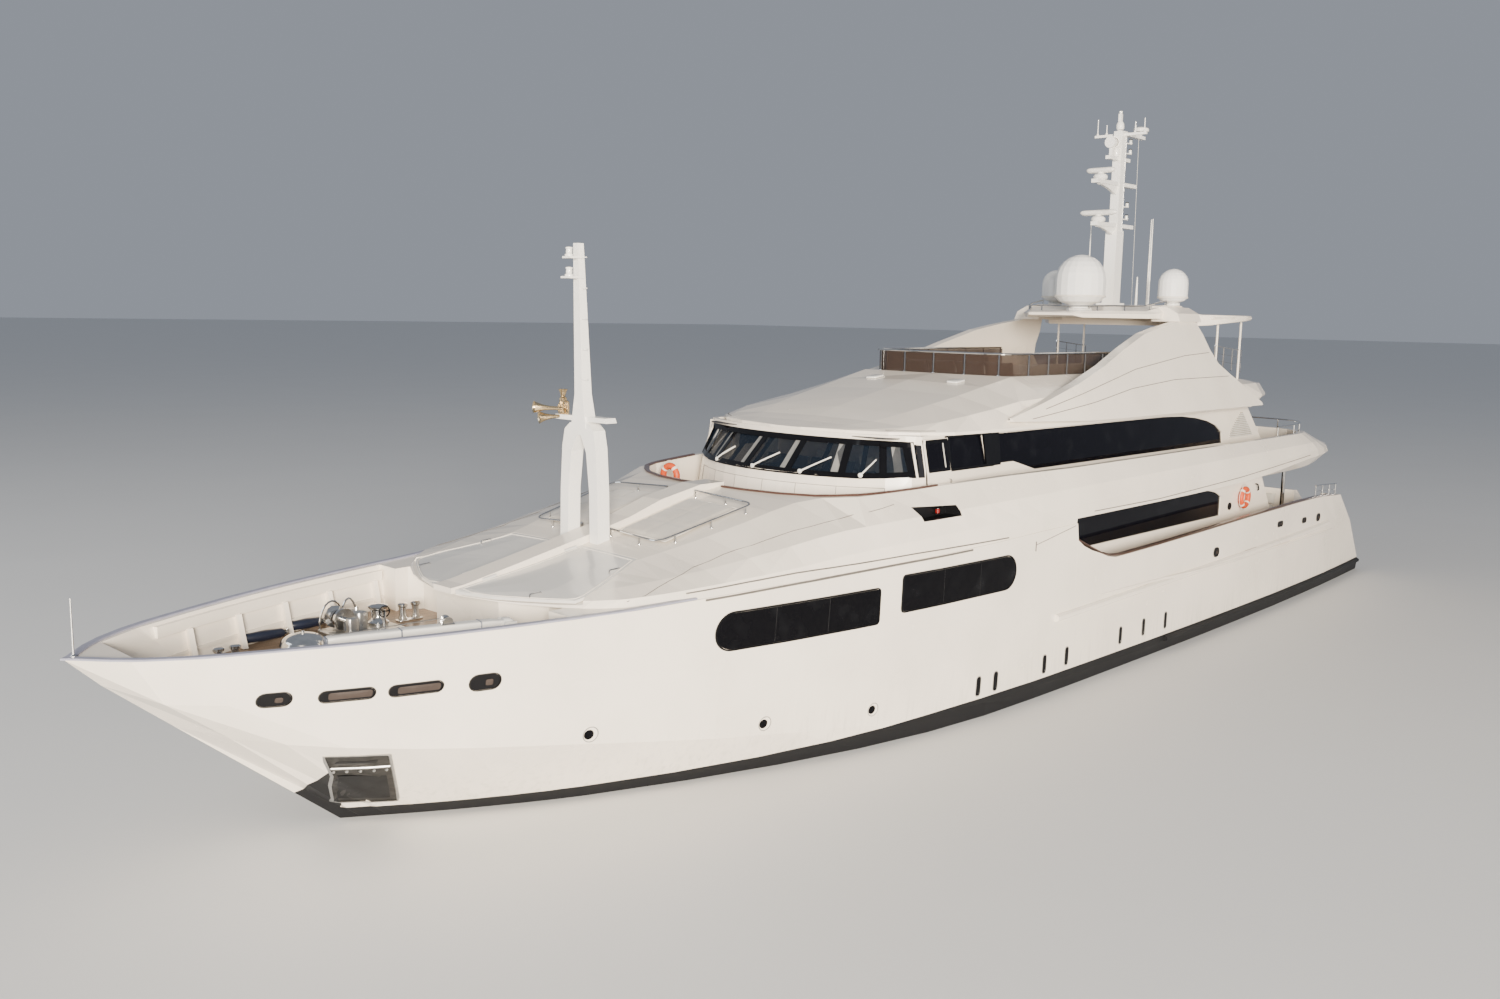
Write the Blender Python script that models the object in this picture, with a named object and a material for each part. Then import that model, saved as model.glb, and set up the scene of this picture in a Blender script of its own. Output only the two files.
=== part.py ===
"""Motor yacht, a half-size model of a vessel about 45 m long.

Every size below is the full ship's, in metres: +X to the bow, +Y to port, +Z up,
origin amidships on the centreline at the waterline. MODEL_SCALE shrinks it all once.
"""
import bpy
import bmesh
import math
from mathutils import Vector, Matrix

MODEL_SCALE = 0.5

# Gap between touching pieces, and clearance of pieces that slide past others
GAP = 0.0007
CLEAR = 0.012

# Deck levels
MAIN_DECK = 2.25
UPPER_DECK = 4.62
HOUSE_TOP = 6.56
SUN_DECK = 7.30
COAMING_TOP = 7.78
SCREEN_TOP = 8.38
HARDTOP_LOW = 9.38
HARDTOP_HIGH = 9.60
BEAM_TOP = 9.80
MAST_TOP = 15.9
FOREMAST_TOP = 10.66
WELL_DECK = 3.0
SOFFIT = 4.44
SALOON_SILL = 3.22

# Longitudinal places
BREAK_X = 0.38
WELL_AFT_X = 15.15
TRANSOM_DECK_X = -19.1
PLATFORM_AFT_X = -22.6

WALL = 0.12
GLASS = 0.035

# Half-breadth of the hull at its upper edge, from stern to bow
BREADTH = [(-19.1, 4.66), (-18, 4.72), (-12, 4.9), (-6, 4.95), (0, 4.95), (4, 4.9), (6, 4.8), (8, 4.63),
           (10, 4.4), (12, 4.1), (14, 3.7), (16, 3.23), (18, 2.66), (20, 1.87), (21.5, 1.12), (22.47, 0.0)]
# Height of the hull's upper edge, with the break down to the side deck's bulwark
EDGE_HEIGHT = [(-19.1, 3.2), (-16.8, 3.33), (-14.8, 3.35), (-9.9, 3.28), (-4.2, 3.15), (-1.7, 3.12),
               (-0.9, 3.32), (BREAK_X - 0.08, 3.8), (BREAK_X, 4.24), (5.5, 4.12), (8.9, 4.06), (10.8, 4.02),
               (12.9, 3.97), (14.3, 3.91), (20, 3.86), (22.47, 3.83)]


def smooth(points, x):
    """Monotone cubic through points of (x, value)."""
    n = len(points)
    if x <= points[0][0]:
        return points[0][1]
    if x >= points[-1][0]:
        return points[-1][1]
    slope = [(points[i + 1][1] - points[i][1]) / (points[i + 1][0] - points[i][0]) for i in range(n - 1)]
    tangent = [slope[0]]
    for i in range(1, n - 1):
        a, b = slope[i - 1], slope[i]
        tangent.append(0.0 if a * b <= 0 else 2 * a * b / (a + b))
    tangent.append(slope[-1])
    for i in range(n - 1):
        if x <= points[i + 1][0]:
            h = points[i + 1][0] - points[i][0]
            t = (x - points[i][0]) / h
            return ((2 * t ** 3 - 3 * t ** 2 + 1) * points[i][1] + (t ** 3 - 2 * t ** 2 + t) * h * tangent[i]
                    + (3 * t ** 2 - 2 * t ** 3) * points[i + 1][1] + (t ** 3 - t ** 2) * h * tangent[i + 1])


def breadth(x):
    return smooth(BREADTH, x)


def edge_height(x):
    return smooth(EDGE_HEIGHT, x)


def along_hull(function, x):
    """Value of a curve on the hull's own facets, straight between its stations."""
    xs = line_stations(TRANSOM_DECK_X, 22.47)
    for a, b in zip(xs, xs[1:]):
        if a <= x <= b:
            return function(a) + (function(b) - function(a)) * (x - a) / (b - a)
    return function(x)


def clear_scene():
    for old in list(bpy.data.objects):
        bpy.data.objects.remove(old, do_unlink=True)


def material(name, colour, roughness, metallic=0.0):
    mat = bpy.data.materials.get(name)
    if mat is None:
        mat = bpy.data.materials.new(name)
        mat.use_nodes = True
        shader = mat.node_tree.nodes["Principled BSDF"]
        shader.inputs["Base Color"].default_value = (*colour, 1)
        shader.inputs["Roughness"].default_value = roughness
        shader.inputs["Metallic"].default_value = metallic
    return mat


def white():
    return material("yacht_white", (0.86, 0.84, 0.80), 0.25)


def steel():
    return material("polished_steel", (0.62, 0.62, 0.61), 0.15, 1.0)


def dark_glass():
    return material("tinted_glass", (0.02, 0.022, 0.025), 0.05)


def fabric():
    return material("cushion_fabric", (0.60, 0.57, 0.50), 0.9)


def bronze():
    return material("bronze", (0.55, 0.38, 0.18), 0.3, 1.0)


def finish(name, bm, mat, pivot=(0, 0, 0), smooth_angle=30):
    """Turn a bmesh in full-size metres into an object whose origin lies on its pivot."""
    bmesh.ops.remove_doubles(bm, verts=bm.verts, dist=0.00005)
    bmesh.ops.dissolve_degenerate(bm, edges=bm.edges, dist=0.00005)
    bmesh.ops.recalc_face_normals(bm, faces=bm.faces)
    pivot = Vector(pivot)
    bmesh.ops.translate(bm, verts=bm.verts, vec=-pivot)
    bmesh.ops.scale(bm, verts=bm.verts, vec=(MODEL_SCALE,) * 3)
    mesh = bpy.data.meshes.new(name)
    bm.to_mesh(mesh)
    bm.free()
    mesh.shade_smooth()
    mesh.set_sharp_from_angle(angle=math.radians(smooth_angle))
    obj = bpy.data.objects.new(name, mesh)
    obj.location = pivot * MODEL_SCALE
    bpy.context.scene.collection.objects.link(obj)
    mesh.materials.append(mat)
    return obj


def boolean(target, tools, operation):
    """Apply boolean operations and remove the tool objects."""
    for tool in tools:
        mod = target.modifiers.new("cut", 'BOOLEAN')
        mod.operation = operation
        mod.solver = 'EXACT'
        mod.object = tool
        bpy.context.view_layer.update()
        graph = bpy.context.evaluated_depsgraph_get()
        mesh = bpy.data.meshes.new_from_object(target.evaluated_get(graph))
        target.modifiers.remove(mod)
        target.data = mesh
        bpy.data.objects.remove(tool, do_unlink=True)
    return target


def cut(target, *tools):
    return boolean(target, tools, 'DIFFERENCE')


def join(target, *tools):
    return boolean(target, tools, 'UNION')


def triangulate(obj):
    """Fix the facets of an object, so that a piece seated on it meets the same ones."""
    bm = bmesh.new()
    bm.from_mesh(obj.data)
    bmesh.ops.triangulate(bm, faces=bm.faces)
    bm.to_mesh(obj.data)
    bm.free()
    return obj


def seat(piece, carrier, lift):
    """Trim a piece to the surface of what carries it, moved by a small lift so that a gap is left."""
    copy = bpy.data.objects.new("tool", carrier.data.copy())
    copy.location = carrier.location + Vector(lift) * MODEL_SCALE
    bpy.context.scene.collection.objects.link(copy)
    return cut(piece, copy)


def sym_loft(lines, strip_caps=False):
    """Closed solid from port-side lines; each is mirrored and the first and last are joined across."""
    bm = bmesh.new()
    port = [[bm.verts.new(p) for p in line] for line in lines]
    star = [[bm.verts.new((p[0], -p[1], p[2])) for p in line] for line in lines]
    n = len(lines[0])

    def quad(a, b, c, d):
        bm.faces.new((a, b, c, d))

    for j in range(len(lines) - 1):
        for i in range(n - 1):
            quad(port[j][i], port[j][i + 1], port[j + 1][i + 1], port[j + 1][i])
            quad(star[j][i], star[j + 1][i], star[j + 1][i + 1], star[j][i + 1])
        for i in (0, n - 1):
            if strip_caps:
                quad(port[j][i], port[j + 1][i], star[j + 1][i], star[j][i])
    for i in (0, n - 1):
        if not strip_caps and max(line[i][1] for line in lines) > 0.001:
            loop = [line[i] for line in port]
            loop += [line[i] for line in reversed(star) if abs(line[i].co[1]) > 0.0001]
            bm.faces.new(loop)
    for j in (0, len(lines) - 1):
        for i in range(n - 1):
            quad(port[j][i], star[j][i], star[j][i + 1], port[j][i + 1])
    weld(bm)
    return bm


def weld(bm):
    """Merge coincident points and drop the faces that this flattens or doubles."""
    bmesh.ops.remove_doubles(bm, verts=bm.verts, dist=0.0002)
    flat = [f for f in bm.faces if f.calc_area() < 1e-9]
    bmesh.ops.delete(bm, geom=flat, context='FACES_ONLY')
    seen = {}
    doubled = []
    for face in bm.faces:
        key = tuple(sorted(v.index for v in face.verts))
        if key in seen:
            doubled += [face, seen[key]]
        seen[key] = face
    bmesh.ops.delete(bm, geom=list(set(doubled)), context='FACES_ONLY')
    bmesh.ops.dissolve_degenerate(bm, edges=bm.edges, dist=0.0002)
    loose = [e for e in bm.edges if not e.link_faces]
    bmesh.ops.delete(bm, geom=loose, context='EDGES')


def cells(point, solid, counts, closed=False):
    """Solid made of box-like cells: point(i, j, k) gives a corner and solid(i, j, k) says which are filled."""
    ni, nj, nk = counts
    bm = bmesh.new()
    verts = {}

    def vert(i, j, k):
        if closed:
            i %= ni
        if (i, j, k) not in verts:
            verts[i, j, k] = bm.verts.new(point(i, j, k))
        return verts[i, j, k]

    def filled(i, j, k):
        if closed:
            i %= ni
        inside = 0 <= i < ni and 0 <= j < nj and 0 <= k < nk
        return inside and solid(i, j, k)

    sides = [((1, 0, 0), ((1, 0, 0), (1, 1, 0), (1, 1, 1), (1, 0, 1))),
             ((-1, 0, 0), ((0, 0, 0), (0, 0, 1), (0, 1, 1), (0, 1, 0))),
             ((0, 1, 0), ((0, 1, 0), (0, 1, 1), (1, 1, 1), (1, 1, 0))),
             ((0, -1, 0), ((0, 0, 0), (1, 0, 0), (1, 0, 1), (0, 0, 1))),
             ((0, 0, 1), ((0, 0, 1), (1, 0, 1), (1, 1, 1), (0, 1, 1))),
             ((0, 0, -1), ((0, 0, 0), (0, 1, 0), (1, 1, 0), (1, 0, 0)))]
    for i in range(ni):
        for j in range(nj):
            for k in range(nk):
                if not filled(i, j, k):
                    continue
                for (di, dj, dk), corners in sides:
                    if filled(i + di, j + dj, k + dk):
                        continue
                    bm.faces.new([vert(i + a, j + b, k + c) for a, b, c in corners])
    return bm


def prism(outline, low, high, axis="Y"):
    """Extrude an outline along an axis; its points are (X, Z) for Y, (X, Y) for Z and (Y, Z) for X."""
    bm = bmesh.new()

    def place(a, b, h):
        return {"Y": (a, h, b), "Z": (a, b, h), "X": (h, a, b)}[axis]

    bottom = [bm.verts.new(place(a, b, low)) for a, b in outline]
    top = [bm.verts.new(place(a, b, high)) for a, b in outline]
    n = len(outline)
    bm.faces.new(bottom)
    bm.faces.new(top)
    for i in range(n):
        bm.faces.new((bottom[i], bottom[(i + 1) % n], top[(i + 1) % n], top[i]))
    return bm


def block(low, high):
    return prism([(low[0], low[1]), (high[0], low[1]), (high[0], high[1]), (low[0], high[1])],
                 low[2], high[2], "Z")


def turned(profile, centre, axis="Z", segments=24):
    """Turn a profile of (radius, height) points about an axis through centre."""
    bm = bmesh.new()
    rings = []
    for radius, height in profile:
        ring = []
        for s in range(segments):
            a = 2 * math.pi * s / segments
            u, v = radius * math.cos(a), radius * math.sin(a)
            local = {"Z": (u, v, height), "X": (height, u, v), "Y": (v, height, u)}[axis]
            ring.append(bm.verts.new(Vector(centre) + Vector(local)))
        rings.append(ring)
    for low, high in zip(rings, rings[1:]):
        for s in range(segments):
            t = (s + 1) % segments
            bm.faces.new((low[s], low[t], high[t], high[s]))
    bm.faces.new(rings[0])
    bm.faces.new(rings[-1])
    return bm


def rod(start, end, radius, segments=8):
    bm = bmesh.new()
    start, end = Vector(start), Vector(end)
    turn = (end - start).to_track_quat('Z', 'Y').to_matrix().to_4x4()
    place = Matrix.Translation((start + end) / 2) @ turn
    bmesh.ops.create_cone(bm, cap_ends=True, segments=segments, radius1=radius, radius2=radius,
                          depth=(end - start).length, matrix=place)
    return bm


def tool(bm):
    return finish("tool", bm, white())


# Hull

def line_stations(stern_x, stem_x):
    """X places of one hull line, shared amidships and drawn out to its own ends."""
    aft = [-16 + (stern_x + 16) * t for t in (1.0, 0.66, 0.33)]
    middle = [-16, -13, -10, -7, -4, -2.6, -1.7, -1.3, -0.9, -0.4, 0.0, BREAK_X - 0.08, BREAK_X,
              2, 4, 6, 8, 10, 12, 14]
    bow = [14 + (stem_x - 14) * t for t in (0.14, 0.28, 0.42, 0.56, 0.7, 0.82, 0.92, 1.0)]
    return aft + middle + bow


HULL_LINES = {
    # each line from the keel up: its stern and stem X, breadths and heights
    "keel": (-22.0, 16.2, [(-22, 0), (16.2, 0)],
             [(-22, -0.25), (-19, -0.7), (-14, -1.35), (-8, -1.85), (0, -2.2), (8, -2.3), (12, -2.15),
              (14.5, -1.75), (16.2, -1.2)]),
    "bottom": (-22.1, 17.1, [(-22.1, 2.3), (-16, 2.4), (-8, 2.4), (0, 2.3), (8, 1.7), (12, 1.0), (15, 0.4),
                             (17.1, 0)],
               [(-22.1, -0.36), (-16, -1.05), (-8, -1.68), (0, -1.98), (8, -1.95), (12, -1.7), (15, -1.15),
                (17.1, -0.6)]),
    "bilge": (-22.15, 17.5, [(-22.15, 3.9), (-12, 4.3), (0, 4.2), (6, 3.6), (9, 2.85), (12, 1.9), (15, 0.8),
                             (17.5, 0)],
              [(-22.15, -0.25), (-12, -0.95), (0, -1.2), (9, -1.05), (15, -0.6), (17.5, -0.3)]),
    "water": (-22.3, 17.95, [(-22.3, 4.35), (-18, 4.6), (-12, 4.8), (-5, 4.88), (0, 4.87), (3.6, 4.8),
                             (6.2, 4.55), (9, 3.95), (11.9, 3.05), (14.2, 2.15), (16.2, 1.1), (17.95, 0)],
              [(-22.3, 0.0), (17.95, 0.0)]),
    "chine": (-22.35, 20.85, [(-22.35, 4.38), (-18, 4.66), (-12, 4.86), (-5, 4.93), (2, 4.88), (5.9, 4.6),
                              (9.1, 4.22), (12.3, 3.68), (15.2, 3.02), (17.7, 2.3), (19.95, 1.15), (20.85, 0)],
              [(-22.35, 0.36), (-18, 0.32), (-5, 0.3), (2, 0.3), (5.9, 0.36), (9.1, 0.69), (12.3, 1.08),
               (15.2, 1.5), (17.7, 1.84), (19.95, 2.2), (20.85, 2.4)]),
    "knuckle": (-20.8, 21.95, [(-20.8, 4.5), (-16, 4.78), (-8, 4.93), (0, 4.93), (6, 4.75), (10, 4.3),
                               (14.2, 3.42), (17.8, 2.48), (20, 1.6), (21.28, 0.85), (21.95, 0)],
                [(-20.8, 2.07), (-16, 2.1), (0, 2.05), (6, 2.2), (10, 2.45), (14.2, 2.66), (17.8, 2.77),
                 (20, 2.95), (21.28, 3.05), (21.95, 3.32)]),
}


def hull_line(name):
    stern, stem, across, up = HULL_LINES[name]
    return [(x, smooth(across, x), smooth(up, x)) for x in line_stations(stern, stem)]


def edge_line():
    return [(x, breadth(x), edge_height(x)) for x in line_stations(TRANSOM_DECK_X, 22.47)]


def side_section(x):
    """Half-breadths of the hull's side at its chine, knuckle and upper edge, as (height, half-breadth)."""
    points = []
    for name in ("chine", "knuckle"):
        stem_x = HULL_LINES[name][1]
        half = smooth(HULL_LINES[name][2], x) if x < stem_x else 0.0
        points.append((smooth(HULL_LINES[name][3], x), half))
    return points + [(edge_height(x), breadth(x))]


def side_y(x, z):
    """Half-breadth of the hull's side at a place above its chine."""
    points = side_section(x)
    for (z0, y0), (z1, y1) in zip(points, points[1:]):
        if z <= z1:
            return max(y0 + (y1 - y0) * (z - z0) / (z1 - z0), 0.0)
    return points[-1][1]


WELL_SKIN = 0.24
WELL_STATIONS = 9


def well_cutters():
    """Bow well inside the flared bulwarks from the stem back, and its two rounded after corners."""
    lines = []
    for z, fore_x in ((WELL_DECK, 20.55), (3.25, 21.0), (3.5, 21.3), (3.9, 21.75), (5.0, 21.75)):
        line = []
        for i in range(WELL_STATIONS):
            x = fore_x + (WELL_AFT_X - fore_x) * i / (WELL_STATIONS - 1)
            line.append((x, max(side_y(x, min(z, edge_height(x))) - WELL_SKIN, 0.05), z))
        lines.append(line)
    tools = [tool(sym_loft(lines))]
    corner = [(WELL_AFT_X + 0.1, 0.9), (14.6, 1.9), (14.6, 2.4), (14.85, 2.6), (WELL_AFT_X + 0.1, 2.6)]
    for side in (1, -1):
        tools.append(tool(prism([(x, side * y) for x, y in corner], WELL_DECK, 5.0, "Z")))
    return tools


def side_deck_cutter():
    """Main deck aft: everything inside the bulwarks from the break to the transom."""
    xs = [BREAK_X - 0.1, -2, -6, -10, -14, -17, -18.5]
    port = [(x, breadth(x) - 0.17) for x in xs] + [(-18.85, 4.2)]
    outline = port + [(x, -y) for x, y in reversed(port)]
    return tool(prism(outline, MAIN_DECK, 5.2, "Z"))


def stair_cutter(side):
    """Steps from the main deck down to the bathing platform."""
    steps = 6
    rise = (MAIN_DECK - 0.46) / steps
    tread = 0.5
    outline = [(-18.7, 4.0), (-18.7, MAIN_DECK + 0.0005)]
    x, z = -19.2, MAIN_DECK + 0.0005
    for _ in range(steps):
        outline.append((x, z))
        z -= rise
        outline.append((x, z))
        x -= tread
    outline += [(-23.2, z), (-23.2, 4.0)]
    low, high = sorted((side * 3.1, side * 4.05))
    return tool(prism(outline, low, high))


def rub_rail(points, size):
    """Rounded fender strip along the side from points of (X, Y, Z), for both sides."""
    lines = []
    half = size * 0.5
    for dy, dz in ((-0.2, size), (0.05, size), (0.12, half), (0.12, -half), (0.05, -size), (-0.2, -size)):
        lines.append([(x, y + dy, z + dz) for x, y, z in points])
    return tool(sym_loft_pair(lines))


def sym_loft_pair(lines):
    """Two mirrored closed strips, each from a loop of lines."""
    bm = bmesh.new()
    for side in (1, -1):
        grid = [[bm.verts.new((p[0], side * p[1], p[2])) for p in line] for line in lines]
        m, n = len(grid), len(grid[0])
        for j in range(m):
            k = (j + 1) % m
            for i in range(n - 1):
                bm.faces.new((grid[j][i], grid[j][i + 1], grid[k][i + 1], grid[k][i]))
        bm.faces.new([grid[j][0] for j in range(m)])
        bm.faces.new([grid[j][n - 1] for j in range(m)])
    return bm


PROP_Y = 1.9
PROP_Z = -1.75
PROP_X = -18.4
RUDDER_X = -19.9
RUDDER_TOP = -0.85


def build_hull():
    lines = [hull_line(n) for n in HULL_LINES]
    lines.append(edge_line())
    hull = finish("hull", sym_loft(lines, strip_caps=True), white())
    upper = ((1.2, 1.93), (-4, 2.03), (-9, 2.13), (-14, 2.22), (-17.9, 2.31))
    upper = [(x, side_y(x, z) - 0.01, z) for x, z in upper]
    lower = [(x, smooth(HULL_LINES["chine"][2], x) - 0.01, 0.36) for x in (-4.9, -10, -15, -19, -22.2)]
    join(hull, rub_rail(upper, 0.09), rub_rail(lower, 0.08))
    platform = [(-21.0, -4.2), (-22.3, -4.2), (PLATFORM_AFT_X, -3.7),
                (PLATFORM_AFT_X, 3.7), (-22.3, 4.2), (-21.0, 4.2)]
    join(hull, tool(prism(platform, 0.28, 0.46, "Z")))
    skeg = [(-16.5, -1.2), (-16.2, -2.35), (-6, -2.42), (-2, -2.2), (-2, -1.5)]
    join(hull, tool(prism(skeg, -0.14, 0.14)))
    for side in (1, -1):
        y = side * PROP_Y
        join(hull, tool(rod((-8.5, y, PROP_Z), (PROP_X + 0.35, y, PROP_Z), 0.11, 12)),
             tool(prism([(-17.2, -0.6), (-17.7, -0.6), (-17.9, PROP_Z), (-17.4, PROP_Z)], y - 0.05, y + 0.05)),
             tool(rod((RUDDER_X, y, 0.0), (RUDDER_X, y, RUDDER_TOP + 0.1), 0.22, 12)))
    cut(hull, *well_cutters(), side_deck_cutter(), stair_cutter(1), stair_cutter(-1), transom_pocket())
    return hull


# Transom door, on the raked plane of the stern
DOOR_TOP = (-20.86, 2.0)
DOOR_LOW = (-22.02, 0.72)
DOOR_HALF = 2.4


def stern_normal():
    along = Vector((DOOR_LOW[0] - DOOR_TOP[0], DOOR_LOW[1] - DOOR_TOP[1])).normalized()
    return along, Vector((along[1], -along[0]))


def stern_panel(inset, depth, proud):
    """Outline in X and Z of a panel that lies on the stern's raked plane."""
    along, out = stern_normal()
    a = Vector(DOOR_TOP) + along * inset
    b = Vector(DOOR_LOW) - along * inset
    return [tuple(a + out * proud), tuple(b + out * proud), tuple(b - out * depth), tuple(a - out * depth)]


def transom_pocket():
    return tool(prism(stern_panel(0, 0.12, 0.6), -DOOR_HALF, DOOR_HALF))


def build_transom_door():
    pivot = Vector(DOOR_TOP)
    bm = prism(stern_panel(CLEAR, 0.12 - GAP, -0.02), -DOOR_HALF + CLEAR, DOOR_HALF - CLEAR)
    return finish("transom_door", bm, white(), (pivot[0], 0, pivot[1]))


# Propellers and rudders

def build_propeller(side, name):
    centre = Vector((PROP_X, side * PROP_Y, PROP_Z))
    hub = [(0.07, 0.35 - GAP), (0.16, 0.30), (0.17, -0.1), (0.12, -0.25), (0.02, -0.33)]
    prop = finish(name, turned(hub, centre, "X", 16), bronze(), centre)
    blades = 5
    for b in range(blades):
        bm = bmesh.new()
        rows = []
        for radius, chord, pitch in ((0.1, 0.2, 58), (0.35, 0.4, 40), (0.6, 0.38, 28), (0.72, 0.12, 24)):
            a = math.radians(pitch)
            row = []
            for u, t in ((-0.5, 0.0), (0.0, 0.02), (0.5, 0.0), (0.0, -0.02)):
                along = u * chord
                row.append(bm.verts.new((along * math.sin(a) + t * math.cos(a),
                                         side * (along * math.cos(a) - t * math.sin(a)), radius)))
            rows.append(row)
        for low, high in zip(rows, rows[1:]):
            for k in range(4):
                m = (k + 1) % 4
                if k < 2:
                    bm.faces.new((low[k], low[m], high[m]))
                    bm.faces.new((low[k], high[m], high[k]))
                else:
                    bm.faces.new((low[k], low[m], high[k]))
                    bm.faces.new((low[m], high[m], high[k]))
        bm.faces.new(rows[0])
        bm.faces.new(rows[-1])
        turn = Matrix.Translation(centre) @ Matrix.Rotation(2 * math.pi * b / blades, 4, 'X')
        bmesh.ops.transform(bm, matrix=turn, verts=bm.verts)
        blade = finish("blade", bm, bronze(), centre)
        join(prop, blade)
    return prop


def build_rudder(side, name):
    y = side * PROP_Y
    bm = bmesh.new()
    rows = []
    for z, fore, aft in ((RUDDER_TOP - 0.06, 0.32, -0.62), (-2.4, 0.2, -0.5)):
        row = []
        for t, w in ((fore, 0.0), (0.1, 0.07), (aft, 0.008), (aft, -0.008), (0.1, -0.07)):
            row.append(bm.verts.new((RUDDER_X + t, y + w, z)))
        rows.append(row)
    for k in range(5):
        m = (k + 1) % 5
        bm.faces.new((rows[0][k], rows[0][m], rows[1][m], rows[1][k]))
    bm.faces.new(rows[0])
    bm.faces.new(rows[1])
    rudder = finish(name, bm, white(), (RUDDER_X, y, 0))
    stock = rod((RUDDER_X, y, RUDDER_TOP - 0.3), (RUDDER_X, y, RUDDER_TOP + 0.1 - GAP), 0.06, 12)
    return join(rudder, finish("stock", stock, white(), (RUDDER_X, y, 0)))


# Foredeck moulding, from the hatch rim to the break of the deck

def crown(name, x):
    return smooth(CROWN[name], x)


RIM_X = 15.62
LID_AFT_X = 12.52
LID_THICK = 0.07
FORE_BASE = [(12.5, 3.97), (12.9, 3.86), (13.8, 3.5), (14.4, 3.08), (14.85, 2.5), (15.36, 1.4), (RIM_X, 0.4)]
CROWN = {
    "shoulder_y": [(0.4, 4.97), (2, 4.92), (4, 4.85), (6, 4.72), (8.6, 4.45), (10, 4.25), (12.05, 3.92),
                   (14, 3.3), (15.36, 1.3), (RIM_X, 0.36)],
    "shoulder_z": [(0.4, 4.70), (4, 4.60), (8.6, 4.42), (10, 4.3), (12.05, 4.18), (14, 4.06), (RIM_X, 3.97)],
    "side_y": [(0.4, 4.9), (2, 4.85), (4, 4.7), (6, 4.5), (8.6, 4.12), (10, 3.85), (12.05, 3.4), (14, 2.7),
               (15.36, 1.05), (RIM_X, 0.34)],
    "side_z": [(0.4, 5.15), (4, 5.05), (8.6, 4.85), (10, 4.65), (12.05, 4.36), (14, 4.14), (RIM_X, 3.98)],
    "top_y": [(0.4, 4.62), (2, 4.52), (4, 4.25), (5.9, 3.95), (6.9, 3.75), (7.5, 3.55), (8.0, 2.95), (8.6, 2.7),
              (10, 2.6), (12.05, 2.2), (14, 1.7), (15.36, 0.8), (RIM_X, 0.33)],
    "top_z": [(0.4, 5.6), (2, 5.6), (4, 5.55), (5.9, 5.47), (7.5, 5.4), (8.6, 5.28), (10, 5.0), (12.05, 4.54),
              (14, 4.2), (RIM_X, 3.99)],
    "centre_z": [(0.4, 5.6), (2, 5.6), (4, 5.55), (5.9, 5.47), (7.5, 5.42), (8.6, 5.38), (10, 5.1),
                 (12.05, 4.6), (14, 4.22), (RIM_X, 4.0)],
}


def base_y(x):
    if x > LID_AFT_X:
        return smooth(FORE_BASE, x)
    return along_hull(breadth, x) - 0.03


def deck_section(x):
    """Port half of the foredeck's section, from its lower edge to the centreline."""
    low = along_hull(edge_height, x) + GAP
    points = [(base_y(x), low)]
    for key in ("shoulder", "side", "top"):
        points.append((min(crown(key + "_y", x), base_y(x) + 0.06), max(crown(key + "_z", x), low + 0.004)))
    points.append((0.0, crown("centre_z", x)))
    return [(x, y, z) for y, z in points]


def deck_height(x, y):
    """Height of the foredeck's surface at a place inboard of its shoulder."""
    section = [(p[1], p[2]) for p in reversed(deck_section(x))]
    for (y0, z0), (y1, z1) in zip(section, section[1:]):
        if y <= y1:
            return z0 + (z1 - z0) * (y - y0) / (y1 - y0)
    return section[-1][1]


FORE_XS = [BREAK_X + GAP, 2, 3, 4, 5, 5.9, 6, 6.9, 7.5, 8.0, 8.6, 9.3, 10, 11, 12]
BOW_X = 14 + 0.14 * (22.47 - 14)
LID_XS = [LID_AFT_X, 12.9, 13.3, 13.8, 14, 14.4, 14.6, 14.85, BOW_X, 15.4, RIM_X]

# Inside edge of the coaming round the bridge walkway
COAMING_IN = [(0.0, 4.45), (2, 4.36), (4, 4.1), (5.9, 3.8), (6.9, 3.6), (7.3, 3.4), (7.8, 2.85), (8.15, 1.9),
              (8.35, 0.9)]

# Half-width of the centre ridge and outer edge of the hatch lids
RIDGE_HALF = 0.3
LID_EDGE = [(LID_AFT_X, 2.02), (13.3, 2.3), (14.1, 2.6), (14.6, 2.72), (14.85, 2.5), (15.36, 1.4),
            (RIM_X, 0.42)]


def lid_grid(side, margin, low, high):
    """Solid that follows the foredeck over a hatch lid's plan, between two heights off the surface."""
    rows = []
    for x in LID_XS:
        x = max(x, LID_AFT_X + CLEAR - margin)
        inner = RIDGE_HALF + CLEAR
        edge = min(smooth(LID_EDGE, x), crown("shoulder_y", x) - 0.01)
        ys = [inner + (edge - inner) * t for t in (0, 0.34, 0.67, 1)]
        row = [(x, y, deck_height(x, y)) for y in ys]
        if margin:
            row.insert(0, (x, inner - margin, row[0][2]))
            row.append((x, edge + (0.2 if x > 14.5 else margin), row[-1][2]))
        rows.append(row)
    if margin:
        rows.append([(RIM_X + 0.1, y, z) for _, y, z in rows[-1]])

    def point(i, j, k):
        x, y, z = rows[i][j]
        return (x, side * y, z + (high if k else low))

    return cells(point, lambda i, j, k: True, (len(rows) - 1, len(rows[0]) - 1, 1))


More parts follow.
